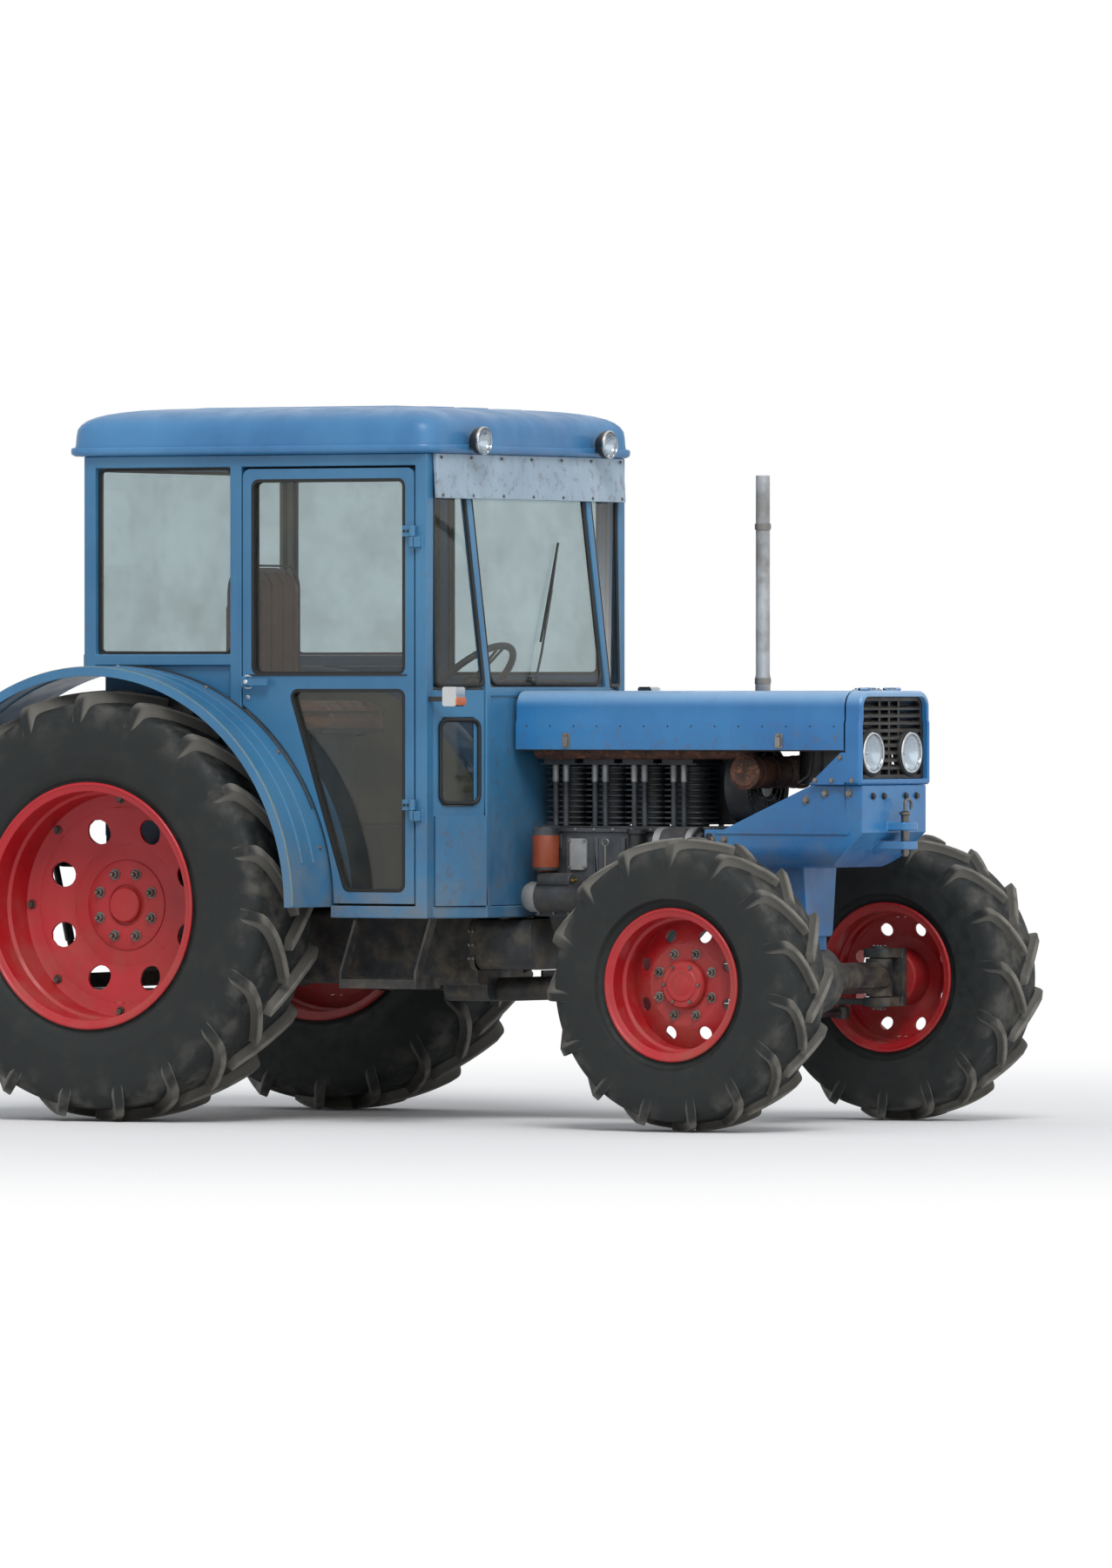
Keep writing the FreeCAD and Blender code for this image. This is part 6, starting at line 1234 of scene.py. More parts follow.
def make_engine_trim():
    piece = Piece(LOOKS["steel"], LOOKS["black_metal"], LOOKS["aluminium"], LOOKS["seal"], LOOKS["brass"], LOOKS["filter"],
                  LOOKS["rust"])
    top = 1.4583
    for i, x in enumerate(CYLINDERS_X):
        # Rocker cover: gasket, two cap nuts, hold-down studs of the head.
        piece.slot = 3
        piece.prism("z", rounded_loop(rectangle(x - 0.072, x + 0.072, -0.074, 0.064), 0.012), 1.4098, 1.4135)
        piece.slot = 0
        for dx in (-0.035, 0.035):
            piece.bolt((x + dx, -0.005, top - 0.0004), (0, 0, 1), 0.017)
        for dx in (-0.073, 0.073):
            for y in (-0.092, 0.080):
                piece.peg((x + dx, y, 1.405), (0, 0, 1), [(0.006, 0.0), (0.006, 0.016), (0.004, 0.018)], 10)
                piece.bolt((x + dx, y, 1.409), (0, 0, 1), 0.018, washer=False)
        # Exhaust flange nuts.
        for dz in (-0.024, 0.024):
            piece.slot = 6
            piece.bolt((x + dz, -0.1183, 1.367 + dz), (0, -1, 0), 0.014, washer=False)
        # Injector, its clamp and fuel pipe from the pump over the cooling hood.
        piece.slot = 2
        piece.peg((x + 0.012, 0.082, 1.404), (0, 0.25, 1), [(0.012, 0.0), (0.012, 0.018), (0.008, 0.020), (0.008, 0.040),
                                                           (0.005, 0.044)], 14)
        start_x = 1.795 + 0.034 * i
        piece.slot = 0
        piece.peg((start_x, 0.217, 0.986), (0, 0, 1), [(0.011, 0.0), (0.011, 0.020), (0.008, 0.022), (0.008, 0.034)], 12)
        lane = 0.2335 + 0.0001 * i
        piece.tube(rounded_path([(start_x, 0.217, 1.015), (start_x, 0.217, 1.045), (start_x, lane, 1.075),
                                 (start_x, lane, 1.405), (start_x, 0.200, 1.425 + 0.006 * i),
                                 (x + 0.012, 0.150, 1.430 + 0.006 * i), (x + 0.012, 0.0935, 1.455),
                                 (x + 0.012, 0.0925, 1.446)], 0.02, 4), 0.0035, 8)
        # Upper sleeves of the push-rod tubes.
        piece.slot = 2
        for dx in (-0.022, 0.022):
            piece.peg((x + dx, -0.094, 1.252), (0, 0, 1), [(0.0105, 0.0), (0.0125, 0.003), (0.0125, 0.058), (0.0105, 0.063)], 16)
        # Elbow of the intake pipe on the head.
        piece.tube(rounded_path([(x - 0.030, INTAKE_Y, INTAKE_Z), (x - 0.030, -0.100, INTAKE_Z), (x - 0.030, -0.100, 1.4056)],
                                0.018, 6), 0.0165, 18)
        piece.peg((x - 0.030, -0.100, 1.4052), (0, 0, 1), [(0.023, 0.0), (0.023, 0.006), (0.018, 0.008)], 24)
        piece.slot = 0
    # Intake pipe over the exhaust, closed at the cab's end.
    piece.slot = 2
    piece.lathe([(0.0005, 1.440), (0.020, 1.440), (0.0235, 1.4435), (0.0235, 2.090), (0.0005, 2.090)],
                (0, INTAKE_Y, INTAKE_Z), "x", 28)
    piece.slot = 0
    # Leak-off pipe along the injectors.
    piece.tube(rounded_path([(1.470, 0.100, 1.432), (1.60, 0.104, 1.434), (2.014, 0.102, 1.434), (2.10, 0.12, 1.430)], 0.03),
               0.0025, 8)
    # Pump: governor housing, lever, filler plug and mounting flange.
    piece.slot = 2
    piece.lathe([(0.001, 1.700), (0.050, 1.700), (0.056, 1.708), (0.056, 1.765), (0.001, 1.765)], (0, 0.217, 0.930), "x", 32)
    piece.lathe([(0.001, 1.945), (0.070, 1.945), (0.070, 1.962), (0.001, 1.962)], (0, 0.217, 0.930), "x", 32)
    piece.prism("y", rounded_loop(rectangle(1.785, 1.925, 0.896, 0.964), 0.008), 0.270, 0.2815)
    piece.slot = 0
    for x in (1.796, 1.914):
        for z in (0.906, 0.954):
            piece.bolt((x, 0.281, z), (0, 1, 0), 0.011, washer=False)
    piece.tube(rounded_path([(1.722, 0.27, 0.945), (1.722, 0.290, 0.945), (1.722, 0.290, 1.000)], 0.008), 0.005, 8)
    # Fuel filter bowls: bands and centre bolts.
    for x in (1.890, 2.000):
        piece.slot = 2
        piece.lathe([(0.001, 1.060), (0.048, 1.060), (0.048, 1.078), (0.040, 1.086), (0.001, 1.086)], (x, 0.217, 0), "z", 32)
        piece.slot = 0
        piece.bolt((x, 0.217, 1.0855), (0, 0, 1), 0.022)
        piece.bolt((x, 0.217, 0.9005), (0, 0, -1), 0.016)
    piece.slot = 4
    piece.tube(rounded_path([(1.890, 0.266, 1.070), (1.890, 0.275, 1.070), (1.945, 0.280, 1.076), (2.0, 0.275, 1.070),
                             (2.0, 0.266, 1.070)], 0.012), 0.004, 8)
    piece.tube(rounded_path([(1.86, 0.262, 1.070), (1.80, 0.280, 1.06), (1.77, 0.275, 1.00), (1.78, 0.262, 0.965)], 0.03), 0.004, 8)
    # Right side: starter bands and terminals, oil filter, dipstick, filler, generator and belt.
    y, z = -0.211, 0.830
    piece.slot = 2
    piece.lathe([(0.001, 1.425), (0.046, 1.425), (0.0565, 1.445), (0.0565, 1.480), (0.001, 1.480)], (0, y, z), "x", 36)
    piece.slot = 1
    piece.lathe([(0.001, 1.655), (0.0562, 1.655), (0.0562, 1.690), (0.052, 1.704), (0.020, 1.706), (0.001, 1.706)], (0, y, z), "x", 36)
    piece.slot = 4
    for dy in (-0.012, 0.012):
        piece.peg((1.6295, -0.231 + dy, 0.892), (1, 0, 0), [(0.004, 0.0), (0.004, 0.014)], 10)
        piece.bolt((1.632, -0.231 + dy, 0.892), (1, 0, 0), 0.011, washer=False)
    piece.slot = 5
    piece.lathe([(0.001, 0.922), (0.030, 0.922), (0.044, 0.930), (0.0495, 0.942), (0.0495, 1.052), (0.047, 1.060),
                 (0.001, 1.060)], (1.500, -0.207, 0), "z", 36)
    piece.slot = 0
    piece.tube(rounded_path([(1.745, -0.176, 0.860), (1.745, -0.190, 0.90), (1.745, -0.190, 1.000), (1.745, -0.190, 1.020)], 0.02),
               0.005, 8)
    ring = [(1.745 + 0.013 * math.cos(a), -0.190, 1.032 + 0.013 * math.sin(a)) for a in (2.0 * math.pi * k / 16 for k in range(16))]
    piece.tube(ring, 0.0025, 6, True)
    piece.slot = 1
    piece.lathe([(0.001, 0.985), (0.030, 0.985), (0.030, 1.060), (0.036, 1.064), (0.036, 1.080), (0.001, 1.082)],
                (1.885, -0.203, 0), "z", 28)
    piece.slot = 2
    for x0, x1, r in ((1.992, 2.020, 0.0575), (2.128, 2.152, 0.0575)):
        piece.lathe([(0.001, x0), (r, x0), (r, x1), (0.001, x1)], (0, -0.214, 1.030), "x", 36)
    piece.slot = 1
    piece.lathe([(0.001, 2.176), (0.012, 2.176), (0.012, 2.204), (0.044, 2.204), (0.044, 2.208), (0.034, 2.2125), (0.034, 2.2145),
                 (0.044, 2.219), (0.044, 2.223), (0.001, 2.223)], (0, -0.214, 1.030), "x", 36)
    piece.slot = 0
    piece.bolt((2.2225, -0.214, 1.030), (1, 0, 0), 0.022)
    piece.bolt((2.2378, 0.0, 0.850), (1, 0, 0), 0.040)
    piece.slot = 3
    belt = belt_line((0.0, 0.850, 0.064), (-0.214, 1.030, 0.038))
    piece.tube([(2.2135, a, b) for a, b in belt], 0.0058, 8, True)
    piece.slot = 1
    piece.prism("x", rounded_loop([(-0.160, 1.075), (-0.205, 1.095), (-0.255, 1.060), (-0.262, 1.010), (-0.246, 1.010),
                                   (-0.240, 1.052), (-0.200, 1.080), (-0.160, 1.062)], 0.004), 2.152, 2.158)
    # Hood: clips and rivets, blower ring with its guard wires.
    for x in (1.56, 1.78, 2.00):
        piece.slot = 0
        piece.prism("y", rounded_loop(rectangle(x - 0.012, x + 0.012, 1.340, 1.392), 0.005), 0.2245, 0.2285)
        piece.bolt((x, 0.2280, 1.352), (0, 1, 0), 0.012, washer=False)
    for x in row(1.43, 2.15, 9):
        piece.peg((x, 0.2248, 1.130), (0, 1, 0), [(0.004, 0.0), (0.003, 0.002), (0.001, 0.003)], 8)
    piece.slot = 1
    for r in (0.060, 0.090, 0.120, 0.143):
        ring = [(2.2735, 0.095 + r * math.cos(a), 1.245 + r * math.sin(a)) for a in (2.0 * math.pi * k / 40 for k in range(40))]
        piece.tube(ring, 0.0022, 6, True)
    for k in range(6):
        a = 2.0 * math.pi * (k + 0.25) / 6
        piece.tube([(2.2735, 0.095 + 0.056 * math.cos(a), 1.245 + 0.056 * math.sin(a)),
                    (2.2735, 0.095 + 0.147 * math.cos(a), 1.245 + 0.147 * math.sin(a))], 0.0022, 6)
        piece.slot = 0
        piece.bolt((2.2700, 0.095 + 0.144 * math.cos(a), 1.245 + 0.144 * math.sin(a)), (1, 0, 0), 0.009, washer=False)
        piece.slot = 1
    # Side covers on the block, sump bolts and deck bolts.
    piece.slot = 2
    for x0, x1 in ((1.475, 1.560), (1.600, 1.690)):
        piece.prism("y", rounded_loop(rectangle(x0, x1, 0.905, 1.030), 0.015), 0.1645, 0.1745)
    piece.prism("y", rounded_loop(rectangle(1.575, 1.655, 0.930, 1.045), 0.015), -0.1745, -0.1645)
    piece.slot = 0
    for side in (1, -1):
        for x in row(1.455, 2.165, 12):
            piece.bolt((x, side * 0.1788, 0.770), (0, side, 0), 0.014, washer=False)
        for x in row(1.45, 2.17, 10):
            piece.bolt((x, side * 0.1748, 1.079), (0, side, 0), 0.012, washer=False)
    for x, y, z in ((1.484, 0.1743, 0.914), (1.551, 0.1743, 0.914), (1.484, 0.1743, 1.021), (1.551, 0.1743, 1.021),
                    (1.609, 0.1743, 0.914), (1.681, 0.1743, 0.914), (1.609, 0.1743, 1.021), (1.681, 0.1743, 1.021),
                    (1.584, -0.1743, 0.939), (1.646, -0.1743, 0.939), (1.584, -0.1743, 1.036), (1.646, -0.1743, 1.036)):
        piece.bolt((x, y, z), (0, math.copysign(1, y), 0), 0.012, washer=False)
    # Timing cover on the front face with its bolts.
    piece.slot = 2
    piece.prism("x", rounded_loop([(-0.135, 0.785), (0.135, 0.785), (0.135, 1.040), (0.060, 1.075), (-0.060, 1.075), (-0.135, 1.040)],
                                  0.03), 2.1895, 2.1985)
    piece.slot = 0
    for y, z in ((-0.120, 0.800), (0.120, 0.800), (-0.120, 0.90), (0.120, 0.90), (-0.120, 1.02), (0.120, 1.02), (0.0, 1.062)):
        piece.bolt((2.1983, y, z), (1, 0, 0), 0.014, washer=False)
    piece.finish("engine_fittings", "chassis", "engine_metal", angle=30.0)


def belt_line(first, second, steps=14):
    """The open line of a belt round two pulleys, each (a, b, radius)."""
    (ay, az, ar), (by, bz, br) = first, second
    gap = math.hypot(by - ay, bz - az)
    head = math.atan2(bz - az, by - ay)
    lean = math.acos((ar - br) / gap)
    line = []
    for y, z, r, start, stop in ((ay, az, ar, head + lean, head + 2.0 * math.pi - lean),
                                 (by, bz, br, head - lean, head + lean)):
        for k in range(steps + 1):
            turn = start + (stop - start) * k / steps
            line.append((y + r * math.cos(turn), z + r * math.sin(turn)))
    return line


def make_exhaust():
    piece = Piece(LOOKS["rust"], LOOKS["stack"], LOOKS["steel"])
    log_y, log_z, muffler_x, muffler_z, stack_x, stack_y = -0.172, 1.367, 2.345, 1.290, 2.125, 0.305
    piece.tube(rounded_path([(1.448, log_y, log_z), (2.325, log_y, log_z), (muffler_x, log_y, muffler_z + 0.03)], 0.034, 8),
               0.0298, 24)
    piece.peg((1.4478, log_y, log_z), (-1, 0, 0), [(0.0298, 0.0), (0.026, 0.0015), (0.0005, 0.002)], 24)
    for x in CYLINDERS_X:
        piece.peg((x, log_y, log_z), (0, 1, 0), [(0.0238, 0.0), (0.0238, 0.0635)], 24)
        piece.peg((x, -0.1183, log_z), (0, 1, 0), [(0.034, 0.0), (0.0358, 0.002), (0.0358, 0.0095)], 28)
        piece.lathe([(0.0295, x + 0.058), (0.0320, x + 0.060), (0.0320, x + 0.068), (0.0295, x + 0.070)], (0, log_y, log_z), "x", 28)
    half = 0.215
    piece.lathe([(0.0005, -half), (0.050, -half), (0.0575, 0.008 - half), (0.0618, 0.009 - half), (0.0618, 0.016 - half),
                 (0.0578, 0.018 - half), (0.0578, half - 0.018), (0.0618, half - 0.016), (0.0618, half - 0.009),
                 (0.0575, half - 0.008), (0.050, half), (0.0005, half)], (muffler_x, 0, muffler_z), "y", 44)
    bend = rounded_path([(muffler_x, 0.205, muffler_z), (muffler_x, stack_y, muffler_z), (stack_x, stack_y, muffler_z),
                         (stack_x, stack_y, 1.645)], 0.060, 8)
    piece.tube(bend, 0.0258, 28)
    piece.slot = 1
    # The upper pipe slides over the lower one and is hollow at its mouth.
    rows = ((0.0262, 1.585), (0.0282, 1.588), (0.0282, 1.640), (0.0260, 1.646), (0.0260, 2.374), (0.0258, 2.3795),
            (0.0222, 2.3798), (0.0220, 2.374), (0.0218, 2.310), (0.0005, 2.308), (0.0005, 1.60))
    piece.lathe([(r, z) for r, z in rows], (stack_x, stack_y, 0), "z", 36)
    piece.finish("exhaust_system", "chassis", "rust", ("exhaust",), angle=34.0)


def make_front_fittings():
    """Exhaust clamps, air cleaner hose, battery caps and cables."""
    piece = Piece(LOOKS["steel"], LOOKS["black_metal"], LOOKS["seal"], LOOKS["rust"], LOOKS["brass"], LOOKS["black_plastic"])
    for z in (1.612, 2.18):
        piece.slot = 0
        piece.lathe([(0.0255, z), (0.0300, z), (0.0300, z + 0.022), (0.0255, z + 0.022)], (2.125, 0.305, 0), "z", 32)
        piece.block(2.118, 2.132, 0.332, 0.348, z + 0.002, z + 0.020)
        piece.bolt((2.132, 0.340, z + 0.011), (1, 0, 0), 0.012)
    piece.slot = 3
    for y in (-0.150, -0.05, 0.05, 0.150):
        piece.lathe([(0.0572, y - 0.004), (0.0605, y - 0.002), (0.0605, y + 0.002), (0.0572, y + 0.004)], (2.345, 0, 1.290), "y", 36)
    # Intake hose from the air cleaner's lid to the engine.
    piece.slot = 2
    path = rounded_path([(2.520, 0.060, 1.500), (2.520, 0.060, 1.548), (2.400, 0.020, 1.546), (2.230, -0.110, 1.500),
                         (2.150, INTAKE_Y, INTAKE_Z), (2.085, INTAKE_Y, INTAKE_Z)], 0.05, 8)
    piece.tube(path, 0.027, 18)
    for low, high in zip(path[1:-1], path[2:-1]):
        count = int((high - low).length / 0.016)
        for k in range(1, count):
            at = low.lerp(high, k / count)
            piece.peg(at, high - low, [(0.0270, -0.004), (0.0292, -0.001), (0.0292, 0.001), (0.0270, 0.004)], 18)
    piece.slot = 0
    piece.lathe([(0.0275, 2.094), (0.0300, 2.094), (0.0300, 2.108), (0.0275, 2.108)], (0, INTAKE_Y, INTAKE_Z), "x", 28)
    piece.lathe([(0.0275, 1.506), (0.0300, 1.506), (0.0300, 1.520), (0.0275, 1.520)], (2.520, 0.060, 0), "z", 28)
    # Air cleaner: three clips.
    for k in range(3):
        a = 2.0 * math.pi * (k + 0.2) / 3
        at = Vector((2.520 + 0.0895 * math.cos(a), 0.060 + 0.0895 * math.sin(a), 1.405))
        piece.tube([at, at + Vector((0.004 * math.cos(a), 0.004 * math.sin(a), 0.030)), at + Vector((0, 0, 0.062))], 0.004, 8)
    # Battery: cell caps, terminals, cables and the clamp.
    piece.slot = 5
    for y in row(-0.095, 0.095, 6):
        piece.peg((2.700, y, 1.4398), (0, 0, 1), [(0.013, 0.0), (0.013, 0.008), (0.010, 0.010)], 18)
    piece.slot = 4
    for y in (-0.125, 0.125):
        piece.peg((2.665, y, 1.4398), (0, 0, 1), [(0.010, 0.0), (0.009, 0.016), (0.008, 0.018)], 16)
        piece.bolt((2.665, y, 1.4480), (0, 0, 1), 0.022, washer=False)
    piece.slot = 2
    piece.tube(rounded_path([(2.665, -0.125, 1.450), (2.64, -0.16, 1.452), (2.618, -0.17, 1.40), (2.60, -0.175, 1.28),
                             (2.56, -0.19, 1.250)], 0.03), 0.006, 8)
    piece.tube(rounded_path([(2.665, 0.125, 1.450), (2.64, 0.16, 1.452), (2.618, 0.17, 1.40), (2.60, 0.17, 1.27), (2.57, 0.175, 1.235)],
                            0.03), 0.006, 8)
    piece.slot = 1
    piece.tube(rounded_path([(2.632, 0.0, 1.26), (2.632, 0.0, 1.4475), (2.768, 0.0, 1.4475), (2.768, 0.0, 1.26)], 0.01), 0.004, 8)
    piece.finish("front_fittings", "chassis", "black_metal", angle=30.0)


# Axles, linkage and rear end

def make_chassis_trim():
    piece = Piece(LOOKS["steel"], LOOKS["chassis_grey"], LOOKS["black_metal"], LOOKS["seal"], LOOKS["black_plastic"],
                  LOOKS["bright"])

    def ring_of_bolts(centre, axis, r, count, size, out, phase=0.0):
        for k in range(count):
            a = phase + 2.0 * math.pi * k / count
            shift = {"x": (0, math.cos(a), math.sin(a)), "y": (math.cos(a), 0, math.sin(a)), "z": (math.cos(a), math.sin(a), 0)}[axis]
            piece.bolt(Vector(centre) + Vector(shift) * r, out, size)
    for side in (1, -1):
        ring_of_bolts((0, side * 0.226, REAR_Z), "y", 0.145, 12, 0.022, (0, side, 0), 0.13)
        ring_of_bolts((0, side * 0.526, REAR_Z), "y", 0.098, 8, 0.018, (0, -side, 0), 0.2)
        # Front axle: differential ring and kingpin caps with their bolts.
        ring_of_bolts((FRONT_X, side * 0.1198, FRONT_Z), "y", 0.112, 10, 0.016, (0, side, 0), 0.3)
        for up in (1, -1):
            piece.slot = 1
            z = FRONT_Z + up * 0.107
            piece.peg((FRONT_X, side * 0.600, z - up * 0.001), (0, 0, up), [(0.032, 0.0), (0.032, 0.007), (0.028, 0.010)], 28)
            piece.slot = 0
            for k in range(4):
                a = math.pi * (k + 0.5) / 2
                piece.bolt((FRONT_X + 0.021 * math.cos(a), side * 0.600 + 0.021 * math.sin(a), z + up * 0.0085),
                           (0, 0, up), 0.009, washer=False)
        for x, z in ((0.235, 0.56), (0.235, 0.72)):
            piece.bolt((x - 0.006, side * 0.1738, z), (0, side, 0), 0.016)
        for x in (1.172, 1.188):
            for z in (0.60, 0.65, 0.70):
                piece.bolt((x, side * 0.2055, z), (0, side, 0), 0.014, washer=False)
    # Gearbox cover bolts and filler.
    for x in row(0.375, 0.645, 4):
        for y in (-0.108, 0.108):
            piece.bolt((x, y, 0.7905), (0, 0, 1), 0.014)
    piece.slot = 2
    piece.peg((0.56, 0.0, 0.7905), (0, 0, 1), [(0.026, 0.0), (0.026, 0.016), (0.020, 0.020)], 24)
    # Power take-off: splines and the shield's bolts.
    piece.slot = 0
    for k in range(6):
        a = 2.0 * math.pi * k / 6
        out = Vector((0, math.cos(a), math.sin(a)))
        side = Vector((0, -math.sin(a), math.cos(a))) * 0.0042
        at = Vector((-0.341, 0, 0.650))
        rings = [[Vector((at.x, 0, 0.650)) + out * r + s * side for r, s in ((0.010, -1), (0.0174, -1), (0.0174, 1), (0.010, 1))]]
        rings.append([p + Vector((0.052, 0, 0)) for p in rings[0]])
        piece.skin(rings)
    ring_of_bolts((-0.2798, 0, 0.650), "x", 0.050, 6, 0.011, (-1, 0, 0))
    # Rear cover bolts and hydraulic couplers with dust caps.
    for side in (1, -1):
        for z in row(0.60, 0.93, 5):
            piece.bolt((-0.2618, side * 0.180, z), (-1, 0, 0), 0.018)
        piece.slot = 0
        for y in (0.095, 0.140):
            piece.peg((-0.2618, side * y, 0.905), (-1, 0, 0.1), [(0.018, 0.0), (0.018, 0.020), (0.015, 0.022), (0.015, 0.040)], 18)
        piece.slot = 4
        for y in (0.095, 0.140):
            piece.peg((-0.3015, side * y, 0.909), (-1, 0, 0.1), [(0.019, 0.0), (0.019, 0.022), (0.012, 0.027)], 18)
        piece.slot = 0
    # Trailer socket under the couplers and a plate over its end.
    piece.slot = 4
    piece.peg((-0.2618, -0.120, 0.800), (-1, 0, 0), [(0.030, 0.0), (0.030, 0.020), (0.026, 0.024), (0.026, 0.036)], 24)
    piece.block(-0.304, -0.297, -0.150, -0.090, 0.772, 0.834)
    piece.finish("chassis_fittings", "chassis", "steel", angle=30.0)


def make_steps_trim():
    piece = Piece(LOOKS["steel"])
    for side in (1, -1):
        # Raised grips on the tread.
        for i in range(7):
            x = 1.005 + i * 0.045
            for y in row(0.645, 0.775, 6):
                piece.peg((x, side * y, 0.5099), (0, 0, 1), [(0.006, 0.0), (0.0045, 0.003), (0.002, 0.0036)], 8)
    piece.finish("step_grips", "chassis", "steel", angle=30.0)


def make_fender_trim():
    piece = Piece(LOOKS["cab_blue"], LOOKS["seal"], LOOKS["steel"], LOOKS["lens_red"], LOOKS["dusty_edge"])
    for side in (1, -1):
        # Rolled edge, two pressed ribs over the arch and the rubber joint at the cab.
        arc = [math.radians(a) for a in row(0.5, 151.5, 46)]
        piece.slot = 4
        piece.tube([(0.8765 * math.cos(a), side * 0.9685, REAR_Z + 0.8765 * math.sin(a)) for a in arc], 0.0062, 8)
        piece.slot = 0
        for y in (0.800, 0.880):
            piece.tube([(0.8765 * math.cos(a), side * y, REAR_Z + 0.8765 * math.sin(a)) for a in arc[3:-5]], 0.0075, 8)
        piece.slot = 1
        piece.tube([(0.8815 * math.cos(a), side * 0.7145, REAR_Z + 0.8815 * math.sin(a)) for a in arc[7:-12]], 0.0045, 6)
        # Fixing bolts.
        piece.slot = 2
        for a in (0.25, 0.7, 1.15, 1.6, 2.05):
            at = (0.8796 * math.cos(a), side * 0.740, REAR_Z + 0.8796 * math.sin(a))
            piece.bolt(at, (math.cos(a), 0, math.sin(a)), 0.015)
    piece.finish("fender_edges", "chassis", "cab_blue", angle=40.0)


def make_tank_trim():
    piece = Piece(LOOKS["steel"], LOOKS["black_metal"], LOOKS["seal"])
    cap = Vector((0.880, 0.5415, 0.690))
    for k in range(14):
        a = 2.0 * math.pi * k / 14
        piece.peg(cap + Vector((0.039 * math.cos(a), -0.012, 0.039 * math.sin(a))), (0, 0.8, 0.6),
                  [(0.004, -0.012), (0.004, 0.010)], 6)
    for x in (0.525, 0.845):
        piece.bolt((x, 0.5028, 0.520), (0, 1, 0), 0.016)
        piece.tube([(x, 0.508, 0.530), (x, 0.508, 0.610)], 0.004, 8)
        piece.bolt((x, 0.5028, 0.620), (0, 1, 0), 0.016)
    piece.slot = 2
    piece.tube(rounded_path([(0.955, 0.36, 0.50), (0.985, 0.36, 0.50), (1.02, 0.32, 0.52), (1.30, 0.245, 0.60), (1.43, 0.240, 0.70),
                             (1.70, 0.243, 0.80), (1.84, 0.262, 0.905)], 0.05), 0.006, 8)
    piece.finish("tank_fittings", "chassis", "steel", angle=30.0)


# Cab interior

def make_interior():
    piece = Piece(LOOKS["black_plastic"], LOOKS["dial"], LOOKS["bright"], LOOKS["seal"], LOOKS["lens_red"], LOOKS["needle"],
                  LOOKS["knob"])
    # Instrument panel on the slanted face of the console.
    low, high = Vector((1.220, 0, 1.380)), Vector((1.250, 0, 1.500))
    up = (high - low).normalized()
    face = Vector((-up.z, 0, up.x))
    middle_point = low.lerp(high, 0.52)
    for y, r in ((0.100, 0.040), (0.0, 0.034), (-0.095, 0.040)):
        at = middle_point + Vector((0, y, 0))
        piece.slot = 2
        piece.peg(at, face, [(r + 0.004, -0.002), (r + 0.004, 0.004), (r + 0.001, 0.007), (r, 0.007)], 32)
        piece.slot = 1
        piece.peg(at, face, [(r - 0.001, 0.004), (r - 0.001, 0.0075)], 32)
        piece.slot = 5
        for k in range(9):
            a = math.radians(225 - 270 * k / 8)
            mark = at + Vector((0, -math.cos(a), 0)) * (r * 0.78) + up * math.sin(a) * r * 0.78 + face * 0.0074
            piece.peg(mark, face, [(0.0014, 0.0), (0.0014, 0.0006)], 6)
        a = math.radians(150 - 60 * (y > 0) + 200 * (y < 0))
        tip = at + Vector((0, -math.cos(a), 0)) * (r * 0.7) + up * math.sin(a) * r * 0.7 + face * 0.0085
        piece.tube([at + face * 0.0085, tip], 0.0012, 6)
    piece.slot = 4
    for y in (-0.04, -0.02, 0.02, 0.04):
        piece.peg(middle_point + up * -0.045 + Vector((0, y, 0)), face, [(0.005, -0.001), (0.005, 0.003), (0.003, 0.0045)], 14)
    piece.slot = 2
    piece.peg(middle_point + Vector((0, -0.160, 0)), face, [(0.010, -0.001), (0.010, 0.006), (0.004, 0.010)], 20)
    piece.slot = 6
    for y in (0.150, 0.172):
        piece.peg(middle_point + Vector((0, y, 0)), face, [(0.007, -0.001), (0.007, 0.010), (0.009, 0.012), (0.008, 0.018)], 16)
    # Column sleeve and stalk.
    piece.slot = 0
    foot, head = Vector((1.240, 0, 1.400)), Vector((1.052, 0, 1.600))
    along = (head - foot).normalized()
    piece.peg(head - along * 0.070, along, [(0.026, 0.0), (0.034, 0.006), (0.034, 0.040), (0.028, 0.046)], 28)
    piece.tube([head - along * 0.050, head - along * 0.045 + Vector((0, -0.090, 0.010)), head - along * 0.04 + Vector((0, -0.13, 0.016))],
               0.005, 8)
    piece.peg(head - along * 0.04 + Vector((0, -0.128, 0.016)), (0, -1, 0.1), [(0.007, 0.0), (0.008, 0.012), (0.006, 0.020)], 12)
    # Rubber mats with raised bars.
    piece.slot = 3
    piece.prism("z", rounded_loop(rectangle(0.480, 1.180, -0.540, 0.540), 0.03), 0.8298, 0.8345)
    for x in row(0.52, 1.14, 16):
        piece.block(x - 0.006, x + 0.006, -0.50, 0.50, 0.8340, 0.8372)
    piece.prism("z", rounded_loop(rectangle(-0.150, 0.150, -0.540, 0.540), 0.03), 1.0798, 1.0835)
    # Ribs on the pads of the three pedals.
    turn = math.radians(52.0)
    slope = Vector((math.cos(turn), 0, math.sin(turn)))
    for y in (0.235, -0.225, -0.292):
        centre = Vector((1.200, y, 1.000))
        back = Vector((-math.sin(turn), 0, math.cos(turn)))
        for k in (-2, -1, 0, 1, 2):
            at = centre + slope * (0.012 * k) + back * 0.0052
            piece.tube([at + Vector((0, -0.027, 0)), at + Vector((0, 0.027, 0))], 0.0026, 6)
    piece.finish("cab_interior_trim", "chassis", "black_plastic", angle=30.0)


